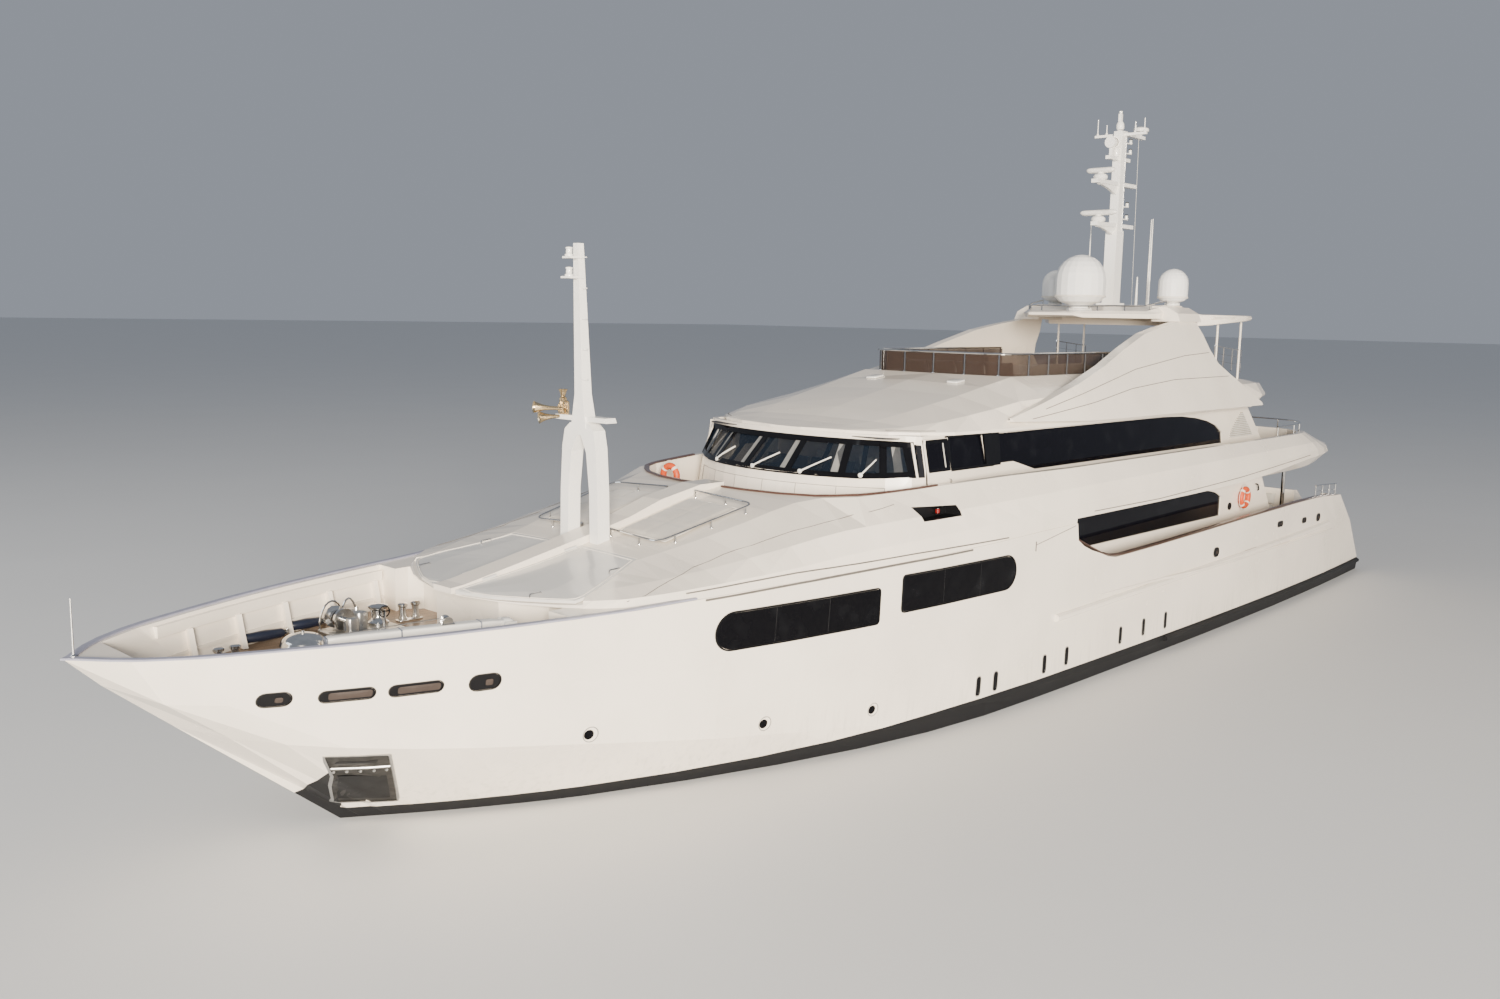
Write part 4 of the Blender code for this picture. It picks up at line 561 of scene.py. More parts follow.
def teak_colour(shader, plank=0.03):
    """Planks that run fore and aft, each of its own tone, with dark caulking between; returns colour and
    height."""
    across = shader.axes(shader.place())[1] * (1 / plank)
    tone = shader.node("TexWhiteNoise", {"noise_dimensions": '1D'}, {"W": across.math('FLOOR')})
    seam = across.math('FRACT').near(0.5, 0.44)
    grain = shader.noise(0.01, 4.0, shader.stretched((0.06, 1.0, 1.0)))
    wood = shader.mix(grain * 0.6 + tone * 0.5, (0.16, 0.10, 0.06), (0.32, 0.22, 0.135))
    return shader.mix(seam, (0.03, 0.025, 0.02), wood), seam * 0.7 + grain * 0.3


def gelcoat(name, base, levels=(), boot=False, dark_posts=False):
    """Glossy paint with a faint ripple and soft soiling; levels lists deck heights that are laid with teak,
    boot adds the black boot top with its upward sweep at the stem, and dark_posts blackens what stands
    behind the windscreen."""
    shader = Shader(name, coat_roughness=0.04, specular_ior_level=0.4)
    x, y, z = shader.axes(shader.place())
    coat = 0.35
    cloud = shader.noise(0.9, 4.0)
    fine = shader.noise(0.03, 2.0)
    dim = tuple(c * 0.93 for c in base)
    colour = shader.mix(cloud.ramp(0.35, 0.7), base, dim)
    gloss = cloud.ramp(0.3, 0.8, 0.2, 0.3)
    height = cloud * 0.8 + fine * 0.02
    if boot:
        streak = shader.noise(0.05, 3.0, shader.stretched((1.0, 1.0, 0.08)))
        low = z.ramp(0.12, 0.9, 1.0, 0.0)
        colour = shader.mix(low * streak.ramp(0.45, 0.8) * 0.35, colour, (0.45, 0.42, 0.34))
        line = x.ramp(1.0, 7.6, 0.235, 0.14)
        patch = (z < y.math('ABSOLUTE') * 0.59 + 0.36) * (x - z * 0.4935 > 8.944)
        paint = (z < line).math('MAXIMUM', patch)
        dark = shader.mix(z < -0.02, (0.004, 0.004, 0.005), (0.05, 0.052, 0.06))
        colour = shader.mix(paint, colour, dark)
        gloss = gloss + paint * 0.35
        coat = (1 - paint) * coat
    if levels:
        up = shader.axes(shader.place("Normal"))[2] > 0.9996
        deck = None
        for level in levels:
            band = z.near(level * SCALE, 0.004)
            deck = band if deck is None else deck.math('MAXIMUM', band)
        deck = deck * up
        planks, relief = teak_colour(shader)
        colour = shader.mix(deck, colour, planks)
        gloss = gloss + deck * 0.35
        height = height * (1 - deck) + relief * deck
    if dark_posts:
        within = z.near((WINDOW_SILL + WINDOW_HEAD) / 2 * SCALE, 0.185) * (x > 5.06 * SCALE)
        colour = shader.mix(within, colour, (0.01, 0.01, 0.012))
    shader.done(base_color=colour, roughness=gloss, coat_weight=coat, normal=shader.bump(height, 0.12, 0.004))


def metal(name, colour, roughness, brushed=0.0):
    """Bright metal with faint smears, and fine lines where it is brushed."""
    shader = Shader(name, metallic=1.0)
    smear = shader.noise(0.08, 4.0)
    lines = shader.noise(0.004, 2.0, shader.stretched((1.0, 1.0, 0.05)))
    tint = shader.mix(smear.ramp(0.3, 0.75), colour, tuple(c * 0.82 for c in colour))
    rough = smear.ramp(0.3, 0.8, roughness * 0.8, roughness * 1.5) + lines * brushed
    shader.done(base_color=tint, roughness=rough, normal=shader.bump(lines, 0.05, 0.0005))


def plain(name, colour, roughness, grain=0.004, relief=0.15, spread=0.15, **constants):
    """Moulded or painted surface with a fine grain and slight change of tone."""
    shader = Shader(name, **constants)
    tone = shader.noise(0.12, 4.0)
    pores = shader.noise(grain, 2.0)
    tint = shader.mix(tone.ramp(0.3, 0.7), colour, tuple(c * (1 - spread) for c in colour))
    rough = tone.ramp(0.25, 0.8, roughness * 0.9, min(roughness * 1.25, 1.0))
    shader.done(base_color=tint, roughness=rough, normal=shader.bump(pores, relief, 0.0006))


def tinted(name, colour, alpha, roughness=0.02, shine=0.35):
    """Tinted pane: dark and glossy, partly see-through, with a faint film of salt in patches."""
    shader = Shader(name, ior=1.45, specular_ior_level=shine)
    film = shader.noise(0.25, 5.0)
    tint = shader.mix(film.ramp(0.5, 0.9) * 0.06, colour, (0.1, 0.11, 0.12))
    rough = film.ramp(0.4, 0.9, roughness, roughness + 0.07)
    shader.done(base_color=tint, roughness=rough, alpha=film.ramp(0.3, 0.9, alpha, alpha + 0.05))


def cloth(name, colour, weave=0.0022, spread=0.12, sheen=0.25):
    """Outdoor canvas: two crossed thread waves for relief, with sun-bleached patches."""
    shader = Shader(name, sheen_weight=sheen, sheen_roughness=0.5)
    waves = []
    for axis in ('X', 'Y'):
        waves.append(shader.node("TexWave", {"wave_type": 'BANDS', "bands_direction": axis},
                                 {"Vector": shader.place(), "Scale": 0.314 / weave, "Distortion": 0.4},
                                 output=1))
    thread = waves[0] * waves[1]
    patch = shader.noise(0.2, 4.0)
    tint = shader.mix(patch.ramp(0.3, 0.75), colour, tuple(c * (1 - spread) for c in colour))
    tint = shader.mix(thread * 0.25, tint, tuple(c * 0.7 for c in colour))
    shader.done(base_color=tint, roughness=patch.ramp(0.2, 0.8, 0.82, 0.95),
                normal=shader.bump(thread, 0.3, 0.0006))


def wood(name, light, dark, roughness):
    """Varnished or bare timber with grain drawn out fore and aft."""
    shader = Shader(name, coat_weight=0.4, coat_roughness=0.1)
    grain = shader.noise(0.012, 6.0, shader.stretched((0.05, 1.0, 1.0)), 0.6)
    tint = shader.mix(grain.ramp(0.3, 0.7), dark, light)
    shader.done(base_color=tint, roughness=grain.ramp(0.2, 0.8, roughness, roughness * 1.4),
                normal=shader.bump(grain, 0.2, 0.0008))


def lamp(name, colour, strength):
    """Lit lens: a dim glow that varies a little over the glass."""
    shader = Shader(name, roughness=0.1, emission_strength=strength, coat_weight=0.5)
    tone = shader.noise(0.02, 2.0)
    tint = shader.mix(tone, colour, tuple(c * 0.7 for c in colour))
    shader.done(base_color=tint, emission_color=tint)


def make_finishes(colours):
    """Every finish of the ship, with the colours of the add-on's properties where they are listed."""
    white = tuple(colours.paint)
    gelcoat("hull_paint", white, (MAIN_DECK, WELL_DECK, 0.46), boot=True)
    gelcoat("deck_paint", white, (UPPER_DECK, SUN_DECK))
    gelcoat("top_paint", white)
    gelcoat("shell_paint", white, (UPPER_DECK,), dark_posts=True)
    gelcoat("dome_paint", (0.86, 0.85, 0.82))
    gelcoat("mast_paint", (0.84, 0.82, 0.77))
    gelcoat("lid_paint", tuple(colours.lids))
    metal("bright_steel", (0.72, 0.71, 0.69), 0.12)
    metal("brushed_steel", (0.6, 0.59, 0.57), 0.28, 0.1)
    metal("propeller_bronze", (0.66, 0.45, 0.2), 0.25)
    # Black of real trim, bars, brakes and fittings, and painted shade where it fills the hollow mouths of the
    # fairleads and anchor pockets
    plain("black_trim_and_shade", (0.008, 0.008, 0.009), 0.35, specular_ior_level=0.15)
    plain("black_gloss", (0.004, 0.004, 0.005), 0.06, relief=0.02, specular_ior_level=0.2)
    plain("grey_trim", (0.16, 0.18, 0.23), 0.35)
    # Dark grey of real joints and seams, and painted shadow where it lines the hull's grooves, the shelf, the
    # gap under the wing and the wings' creases
    plain("seam_and_shadow_grey", (0.13, 0.115, 0.10), 0.6)
    plain("white_plastic", (0.80, 0.78, 0.73), 0.35)
    plain("life_orange", (0.62, 0.075, 0.012), 0.5, 0.002, 0.3)
    plain("pale_band", (0.75, 0.70, 0.62), 0.6)
    # painted shade: dull cream that stands for the shade in the gaps between the louvre slats
    plain("painted_shade_cream", (0.36, 0.32, 0.26), 0.6)
    # painted shade: bluish grey that stands for the pale cap rail in shadow under the sky
    plain("rail_painted_shade_lilac", (0.34, 0.34, 0.42), 0.35)
    metal("horn_brass", (0.72, 0.56, 0.34), 0.22)
    plain("roller_rubber", (0.012, 0.016, 0.032), 0.3)
    plain("roller_grey", (0.055, 0.042, 0.036), 0.5, 0.01, 0.2, specular_ior_level=0.15)
    metal("dark_steel", (0.07, 0.067, 0.063), 0.35)
    # Near-black of the helm console, and painted shade on the bridge's linings for the dim inside of the
    # wheelhouse
    plain("cabin_dark_and_shade", (0.035, 0.033, 0.035), 0.6)
    plain("cabin_pale", (0.50, 0.49, 0.45), 0.6)
    plain("screen_black", (0.01, 0.012, 0.016), 0.08, relief=0.01)
    tinted("pilot_glass", (0.008, 0.013, 0.022), 0.48)
    tinted("cabin_glass", (0.003, 0.003, 0.005), 0.9, shine=0.15)
    tinted("hull_glass", (0.003, 0.003, 0.004), 0.985, shine=0.1)
    tinted("screen_glass", (0.05, 0.034, 0.027), 0.66)
    cloth("pad_canvas", tuple(colours.pads))
    cloth("taupe_cover", (0.20, 0.155, 0.125))
    cloth("cream_canvas", (0.66, 0.62, 0.54))
    cloth("rope_white", (0.7, 0.68, 0.62), 0.004)
    wood("cap_wood", (0.10, 0.045, 0.03), (0.04, 0.016, 0.012), 0.25)
    wood("furniture_wood", (0.33, 0.17, 0.08), (0.15, 0.07, 0.035), 0.4)
    lamp("lens_clear", (0.9, 0.88, 0.8), 0.15)
    lamp("lens_red", (0.22, 0.012, 0.01), 0.05)
    lamp("lens_green", (0.008, 0.16, 0.05), 0.05)


# Hull fittings

HULL_WINDOWS = ((8.0, 12.2, 2.87, 3.6, False, True), (3.16, 7.25, 3.01, 3.78, True, False))
ROUND_PORTS = ((14.66, 1.61), (10.81, 1.14), (7.86, 0.9))
SLOT_PORTS = ((4.33, 0.78), (3.66, 0.78), (1.59, 0.82), (0.54, 0.84), (-2.26, 0.90), (-3.58, 0.91),
              (-4.91, 0.89))
BOW_OPENINGS = ((19.93, 3.03, 0.46, 0.23), (18.9, 3.0, 0.8, 0.19), (17.85, 2.98, 0.84, 0.19),
                (16.71, 2.94, 0.52, 0.28))
AFT_OPENINGS = ((-8.05, 2.47, 0.34, 0.26), (-13.04, 2.79, 0.42, 0.16), (-15.32, 2.67, 0.36, 0.16),
                (-16.76, 2.62, 0.34, 0.24))


EDGE_X = (-19.1, -16.8, -14.8, -9.9, -4.2, -1.7, -0.9, 0.3, 0.38, 5.5, 8.9, 10.8, 12.9, 14.3, 20, 22.47)
EDGE_Z = (3.2, 3.33, 3.35, 3.28, 3.15, 3.12, 3.32, 3.8, 4.24, 4.12, 4.06, 4.02, 3.97, 3.91, 3.86, 3.83)


def hull_edge(x):
    """Half-breadth and height of the hull's upper edge at a place X."""
    x = np.atleast_1d(np.asarray(x, float))
    z = np.interp(x, EDGE_X, EDGE_Z)
    return side_of("hull", x, z - 0.01), z


def hull_windows():
    """Long windows of the topsides: panes, frames and two upright bars each, laid on the hull's side."""
    panes, frames, bars = [], [], []
    for x0, x1, z0, z1, aft_round, fore_round in HULL_WINDOWS:
        loop = capsule_loop(x0, x1, z0, z1, aft_round, fore_round)
        panes.append(side_plate("hull", loop, 0.016, rings=8))
        frames.append(side_rim("hull", loop, 0.045, 0.022))
        for share in (0.34, 0.67):
            x = x0 + (x1 - x0) * share
            bars.append(side_line("hull", [(x, z0 + 0.02), (x, z1 - 0.02)], 0.022))
    return each_merged(panes, frames, bars)


def circle_loop(x, z, radius, steps=24):
    """Circle in X and Z."""
    a = arc(steps)
    return np.column_stack([x + np.cos(a) * radius, z + np.sin(a) * radius])


def box_loop(x, z, width, height, radius):
    """Oblong with rounded corners in X and Z."""
    return round_rect(width, height, radius) + [x, z]


def ports():
    """Round ports and upright slots of the topsides: dark discs and oblongs in thin rims on the side."""
    panes, rims = [], []
    for x, z in ROUND_PORTS:
        panes.append(side_plate("hull", circle_loop(x + 0.03, z, 0.095), 0.008, rings=3))
        rims.append(side_rim("hull", circle_loop(x, z, 0.135), 0.022, 0.014))
    for x, z in SLOT_PORTS:
        loop = box_loop(x, z, 0.15, 0.46, 0.07)
        panes.append(side_plate("hull", loop, 0.003))
        rims.append(side_rim("hull", loop, 0.025, 0.014))
    return each_merged(panes, rims)


def fairlead(x, z, width, height):
    """Mooring opening: a black plate of painted shade for its hollow mouth, in a thin rim, and inside it a
    crowned roller or chock.
    """
    loop = box_loop(x, z, width, height, height * 0.48)
    if width > 0.7:
        fill = side_plate("hull", box_loop(x - width * 0.06, z, width * 0.8, height * 0.66, height * 0.2),
                          0.012, dish=0.02)
    else:
        fill = side_plate("hull", box_loop(x - width * 0.14, z - 0.01, width * 0.24, height * 0.4, 0.03),
                          0.016, dish=0.01)
    return side_plate("hull", loop, 0.004), side_rim("hull", loop, 0.022, 0.02), fill


def anchor_pocket():
    """Steel plate round the anchor's pocket with its folded rim, a black plate of painted shade for its mouth
    and slot, polished lip bar and studs.
    """
    corners = [(18.97, 1.78), (18.09, 1.74), (17.32, 0.43), (18.22, 0.47), (18.6, 1.24)]
    loop = closed_loop(corners, 0.15)
    plate = side_plate("hull", loop, 0.012)
    rim = side_rim("hull", loop, 0.035, 0.035)
    middle = loop.mean(axis=0)
    inner = middle + (loop - middle) * 0.82
    inner = inner[inner[:, 1] < 1.3]
    mouth = side_plate("hull", inner + (0.0, -0.02), 0.02)
    bar_x = np.linspace(18.74, 17.94, 6)
    bar = tube(np.column_stack([bar_x, side_of("hull", bar_x, 1.46) + 0.035, np.full(6, 1.455)]), 0.026, 8)
    slot = side_plate("hull", box_loop(18.46, 1.6, 0.56, 0.08, 0.035), 0.02)
    studs = []
    for x in np.linspace(18.66, 17.94, 5):
        y = float(side_of("hull", x, 1.36))
        studs.append(lathe([(0.02, 0.0), (0.03, 0.02), (0.026, 0.045), (0.0, 0.05)], (x, y, 1.36), "Y", 10))
    return plate, merged(rim, bar, *studs), merged(mouth, slot)


def cap_rail():
    """Flat rail on the bow's bulwarks: an oblong section carried round the stem from side to side."""
    x = np.concatenate([np.linspace(12.7, 21.6, 20), [21.95, 22.2, 22.36]])
    y, z = hull_edge(x)
    port = np.column_stack([x, np.maximum(y - 0.07, 0.02), z])
    path = rows_of(port, (22.45, 0.0, z[-1]), port[::-1] * [1, -1, 1])
    return ribbon(path, [(-0.07, 0.0), (-0.075, 0.02), (-0.06, 0.032), (0.06, 0.032), (0.075, 0.02),
                         (0.07, 0.0)])


FRAME_PLACES = (15.4, 16.6, 17.7, 18.8, 19.9)


def well_frames():
    """Bulwark frames in the bow well: uprights on the inner face, a stringer and a thick upper band."""
    parts = []
    for x in FRAME_PLACES:
        z = np.array([WELL_DECK + 0.01, 3.2, 3.4, 3.62])
        y = side_of("hull", np.full(4, x), z) - 0.235
        depth = np.array([0.2, 0.16, 0.14, 0.12])
        parts.append(skin([[(x - 0.06, a, h), (x + 0.06, a, h), (x + 0.05, a - d, h), (x - 0.05, a - d, h)]
                           for a, h, d in zip(y, z, depth)]))
    x = np.linspace(15.2, 20.6, 19)
    for low, high, thick in ((3.2, 3.26, 0.05), (3.6, 3.8, 0.09)):
        z = np.full(len(x), (low + high) / 2)
        y = side_of("hull", x, z) - 0.235
        path = np.column_stack([x, y, np.full(len(x), low)])
        parts.append(ribbon(path, [(0.01, 0), (0.01, high - low), (-thick, high - low), (-thick, 0)]))
    return both(merged(*parts))


def roller_fairleads():
    """Tapered mooring rollers that lie on the well's deck inside the bow openings, on short brackets."""
    rollers, mounts = [], []
    for low, high, y in ((17.9, 18.8, 1.95), (16.95, 17.7, 2.3)):
        x, reach = (low + high) / 2, (high - low) / 2 - 0.04
        profile = [(0.0, -1.0), (0.05, -1.0), (0.09, -0.85), (0.105, 0.0), (0.09, 0.85), (0.05, 1.0),
                   (0.0, 1.0)]
        rollers.append(lathe(np.array(profile) * [1.0, reach], (x, y, 3.14), "X", 16))
        for end in (low, high):
            mounts.append(brick((end - 0.02, y - 0.06, WELL_DECK + 0.005), (end + 0.02, y + 0.1, 3.2), 0.008))
    return both(merged(*rollers)), both(merged(*mounts))


def bollards():
    """Pairs of mooring bollards: waisted posts with caps on an oblong foot."""
    profile = [(0.0, 0.0), (0.09, 0.0), (0.085, 0.05), (0.065, 0.12), (0.07, 0.26), (0.1, 0.29), (0.1, 0.33),
               (0.07, 0.35), (0.0, 0.355)]
    parts = []
    for x, y, z in ((19.55, 0.85, WELL_DECK), (15.36, 1.75, WELL_DECK), (-18.1, 3.9, MAIN_DECK)):
        parts.append(brick((x - 0.28, y - 0.11, z + 0.003), (x + 0.28, y + 0.11, z + 0.03), 0.01, 0.06))
        for dx in (-0.15, 0.15):
            parts.append(lathe(profile, (x + dx, y, z + 0.02), "Z", 16))
    return both(merged(*parts))


def windlass_parts():
    """Two mooring winches: base plate, ribbed warping drums, brake drums, gear housings, hooped guards, brake
    bands and hand wheels."""
    warping_x, gear_x, drum_x, wheel_x = 16.15, 16.62, 16.98, 16.3
    plates, shiny, dark = [], [], []
    low, high = node_box("windlass")
    floor = WELL_DECK + 0.07
    axle, wheel_z = floor + 0.25, floor + 0.36
    warping = [(0.0, 0.0), (0.21, 0.0), (0.21, 0.05), (0.14, 0.1), (0.11, 0.2), (0.125, 0.29), (0.19, 0.34),
               (0.2, 0.37),
               (0.13, 0.4), (0.0, 0.41)]
    drum = [(0.0, -0.2), (0.22, -0.2), (0.22, -0.17), (0.14, -0.14), (0.14, 0.1), (0.22, 0.13), (0.22, 0.2),
            (0.0, 0.2)]
    band = [(0.1, -0.05), (0.155, -0.05), (0.155, 0.05), (0.1, 0.05)]
    cap = [(0, 0), (0.05, 0), (0.04, 0.06), (0, 0.07)]
    half_turn, full_turn = arc(13, 0, 180, closed=False), arc(20)
    plates.append(brick((low[0], low[1], WELL_DECK + 0.003), (high[0], high[1], floor + 0.01), 0.015, 0.1))
    for side in (1, -1):
        y, inner = side * 1.6, side * 1.1
        shiny.append(lathe(warping, (warping_x, y, floor), "Z", 24))
        for cosine, sine in zip(np.cos(arc(8)), np.sin(arc(8))):
            shiny.append(tube([(warping_x + cosine * 0.12, y + sine * 0.12, floor + 0.14),
                               (warping_x + cosine * 0.135, y + sine * 0.135, floor + 0.29)], 0.014, 6))
        shiny.append(lathe(drum, (drum_x, y, axle), "Y", 28))
        dark.append(lathe(band, (drum_x, y - side * 0.02, axle), "Y", 28))
        shiny.append(tube([(drum_x, y, axle), (drum_x, side * 1.06, axle)], 0.055, 12))
        plates.append(brick((16.87, side * 1.12 - 0.08, floor), (17.09, side * 1.12 + 0.08, floor + 0.34),
                            0.03, 0.05))
        plates.append(brick((16.49, y - 0.27, floor), (16.75, y + 0.27, floor + 0.36), 0.04, 0.08))
        shiny.append(lathe(cap, (gear_x, y, floor + 0.355), "Z", 12))
        for place, reach in ((gear_x, 0.18), (drum_x, 0.27)):
            hoop = [place + np.cos(half_turn) * reach, np.full(13, y + side * 0.29),
                    floor + 0.02 + np.sin(half_turn) * 0.52]
            shiny.append(tube(np.column_stack(hoop), 0.02, 8))
        wheel = [wheel_x + np.cos(full_turn) * 0.11, np.full(20, inner), wheel_z + np.sin(full_turn) * 0.11]
        dark.append(tube(np.column_stack(wheel), 0.012, 8, closed=True))
        dark.append(tube([(wheel_x - 0.11, inner, wheel_z), (wheel_x + 0.11, inner, wheel_z)], 0.01, 6))
        shiny.append(tube([(wheel_x, inner, floor), (wheel_x, inner, wheel_z)], 0.028, 8))
    return each_merged(plates, shiny, dark)


def chain_run():
    """Anchor chain from each winch forward to its deck pipe: flat links, every other one turned."""
    a = arc(12)
    link = np.column_stack([np.cos(a) * 0.075, np.sin(a) * 0.04, np.zeros(12)])
    flat = tube(link, 0.016, 6, closed=True)
    upright = tube(link[:, [0, 2, 1]], 0.016, 6, closed=True)
    parts = []
    for k in range(17):
        parts.append(moved(flat if k % 2 else upright, (17.36 + k * 0.13, 0.52, WELL_DECK + 0.06)))
    pipe = [(0.0, 0.0), (0.13, 0.0), (0.13, 0.05), (0.09, 0.1), (0.0, 0.105)]
    for x in (17.3, 19.55):
        parts.append(lathe(pipe, (x, 0.52, WELL_DECK), "Z", 16))
    return both(merged(*parts))


def dome_hatch():
    """Polished dome over the well's hatch with a knob, hinge and ring, turned about its upright axis."""
    a = np.linspace(0, math.pi / 2, 10)
    dome = np.column_stack([0.4 * np.cos(a), 0.115 + 0.18 * np.sin(a)])
    x, y, z = 18.0, -1.1, WELL_DECK + 0.003
    body = lathe(rows_of((0.0, 0.0), (0.42, 0.0), (0.425, 0.05), (0.41, 0.1), dome[:-1], (0.03, 0.296),
                         (0.035, 0.33),
                         (0.0, 0.34)), (x, y, z), "Z", 40)
    hinge = tube([(x - 0.44, y - 0.1, z + 0.08), (x - 0.44, y + 0.1, z + 0.08)], 0.03, 10)
    return merged(body, hinge)


# Rails

def stanchion_rail(path, height, radius, spacing, wires=0):
    """Round rail on posts: the path lifted by a height, posts at even spacing with round feet, and thin wires
    between."""
    path = np.asarray(path, float)
    lift = np.array([0.0, 0.0, height])
    parts = [tube(path + lift, radius, 8)]
    lengths = np.concatenate([[0], np.cumsum(np.linalg.norm(np.diff(path, axis=0), axis=1))])
    count = max(2, int(round(lengths[-1] / spacing)) + 1)
    at = np.linspace(radius, lengths[-1] - radius, count)
    feet = np.stack([np.interp(at, lengths, path[:, k]) for k in range(3)], axis=1)
    for point in feet:
        parts.append(tube([point, point + lift], radius * 0.8, 8))
        flange = [(0.0, 0.0), (radius * 2.0, 0.0), (radius * 1.9, radius * 0.5), (radius * 0.9, radius * 0.9),
                  (0, radius)]
        parts.append(lathe(flange, point, "Z", 10))
    for k in range(wires):
        parts.append(tube(path + lift * ((k + 1) / (wires + 1)), radius * 0.35, 6))
    return merged(*parts)


def node_box(node):
    """Lowest and highest corners of a frame node in full-size metres."""
    low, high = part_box(node)
    return np.array(low) / SCALE, np.array(high) / SCALE


def sunpad_rail_path(side):
    """Foot of the rail round a sunpad: four corners rounded off and laid on the foredeck."""
    corners = [(11.88, 0.45), (11.97, 2.02), (9.45, 2.28), (9.42, 0.45)]
    x, y, _ = dense(rounded_path(level_path(corners), 0.25, 6), 0.25).T
    y = y * side
    return np.column_stack([x, y, top_of("foredeck", x, y, 3, 7) + 0.001])


SCREEN_PLAN = ((-7.2, 2.32), (-6.0, 2.32), (-4.8, 2.32), (-3.6, 2.32), (-2.4, 2.32), (-1.3, 2.32),
               (-0.8, 2.28),
               (-0.45, 2.1), (-0.25, 1.7), (-0.2, 0.85), (-0.18, 0.0))


def mirror_path(points):
    """A path that ends on the centreline, carried on along the starboard side."""
    points = np.asarray(points, float)
    return np.vstack([points, (points * [1, -1, 1])[::-1][1:]])


def screen_posts():
    """Bright posts and top rail of the sun deck's wind screen, on the outer side of the panes."""
    path = mirror_path(level_path(SCREEN_PLAN, COAMING_TOP + 0.002))
    return stanchion_rail(dense(path + outward(path) * 0.06, 0.4), SCREEN_TOP - COAMING_TOP - 0.02, 0.03,
                          0.98)


def aft_round(x_straight, x_end, half, count=14):
    """Plan points from a straight side round a blunt stern to the centreline: a superellipse."""
    a = np.linspace(0, math.pi / 2, count)
    y = half * np.clip(np.cos(a), 0, 1) ** 0.4
    y[-1] = 0.0
    return np.column_stack([x_straight + (x_end - x_straight) * np.sin(a), y])


def upper_aft_rail():
    """Rail of the upper after deck, just inside the deck's edge and round its stern."""
    reach = [float(hull_edge(x)[0][0]) - 0.41 for x in (-13.3, -14.65)]
    path = mirror_path(level_path(rows_of((-13.3, reach[0]), aft_round(-14.65, -17.35, reach[1]))))
    path[:, 2] = top_of("upper_deck", path[:, 0], path[:, 1], 5, 6)
    return stanchion_rail(path, 0.32, 0.026, 1.5)


def stern_rails():
    """Rail with one wire on the after bulwark's cap, along the hull's upper edge."""
    x = np.linspace(-16.5, -18.75, 6)
    y, z = hull_edge(x)
    return stanchion_rail(np.column_stack([x, y - 0.09, z + 0.002]), 0.4, 0.025, 0.75, wires=1)


def wood_caps():
    """Varnished caps: round the bridge coaming and along the main-deck bulwarks, bulged sections on paths."""
    section = [(-0.09, 0.0), (-0.1, 0.02), (-0.06, 0.045), (0.06, 0.045), (0.1, 0.02), (0.09, 0.0)]
    aft = np.concatenate([np.linspace(-18.5, -1.4, 26), [-0.95, -0.4, 0.0, 0.22]])
    y, z = hull_edge(aft)
    bulwark = ribbon(np.column_stack([aft, y - 0.085, z + 0.003]), section)
    plan = np.array([(5.2, 3.98), (5.9, 3.88), (6.6, 3.74), (7.0, 3.62), (7.36, 3.44), (7.7, 3.08),
                     (7.95, 2.7), (8.25, 1.95),
                     (8.45, 1.0), (8.5, 0.4)])
    height = top_of("foredeck", plan[:, 0], plan[:, 1] + 0.02, 4.9, 6.5)
    bridge = ribbon(dense(np.column_stack([plan, height + 0.004]), 0.2),
                    [(-0.05, 0.0), (-0.06, 0.02), (-0.03, 0.04),
                    (0.05, 0.04), (0.07, 0.02), (0.06, 0.0)])
    return both(merged(bulwark, bridge))


# Lifebuoys and horns

def lifebuoy(centre, axis, radius=0.28, thick=0.085):
    """Ring standing square to an axis, with four pale bands and a grab line bulging between them."""
    u, v, _ = AXES[axis]

    def around(angles, reach):
        """Points at angles round the ring's centre."""
        points = np.zeros((len(angles), 3))
        points[:, u] = np.cos(angles) * reach
        points[:, v] = np.sin(angles) * reach
        return points + centre

    body = tube(around(arc(40), radius), thick, 12, closed=True)
    pale = []
    for quarter in range(4):
        middle = 45 + 90 * quarter
        pale.append(tube(around(arc(5, middle - 7, middle + 7, closed=False), radius), thick * 1.04, 12))
        swell = radius + thick * (1.15 + 0.5 * np.sin(np.linspace(0, math.pi, 9)))
        pale.append(tube(around(arc(9, middle, middle + 90, closed=False), swell), 0.008, 6))
    return body, merged(*pale)


def horn(mouth, back, wide=0.12):
    """Trumpet: a curve of radius that flares towards its mouth."""
    length = float(np.linalg.norm(np.asarray(mouth) - back))
    t = np.linspace(0, 1, 12)
    outer = np.column_stack([0.035 + (wide - 0.035) * t ** 3, t * length])
    inner = outer[::-1] * [0.86, 1.0] + [0.0, -0.01]
    return aimed(rows_of((0.0, 0.0), outer, inner[:-2], (0.0, length * 0.3)), back, mouth)


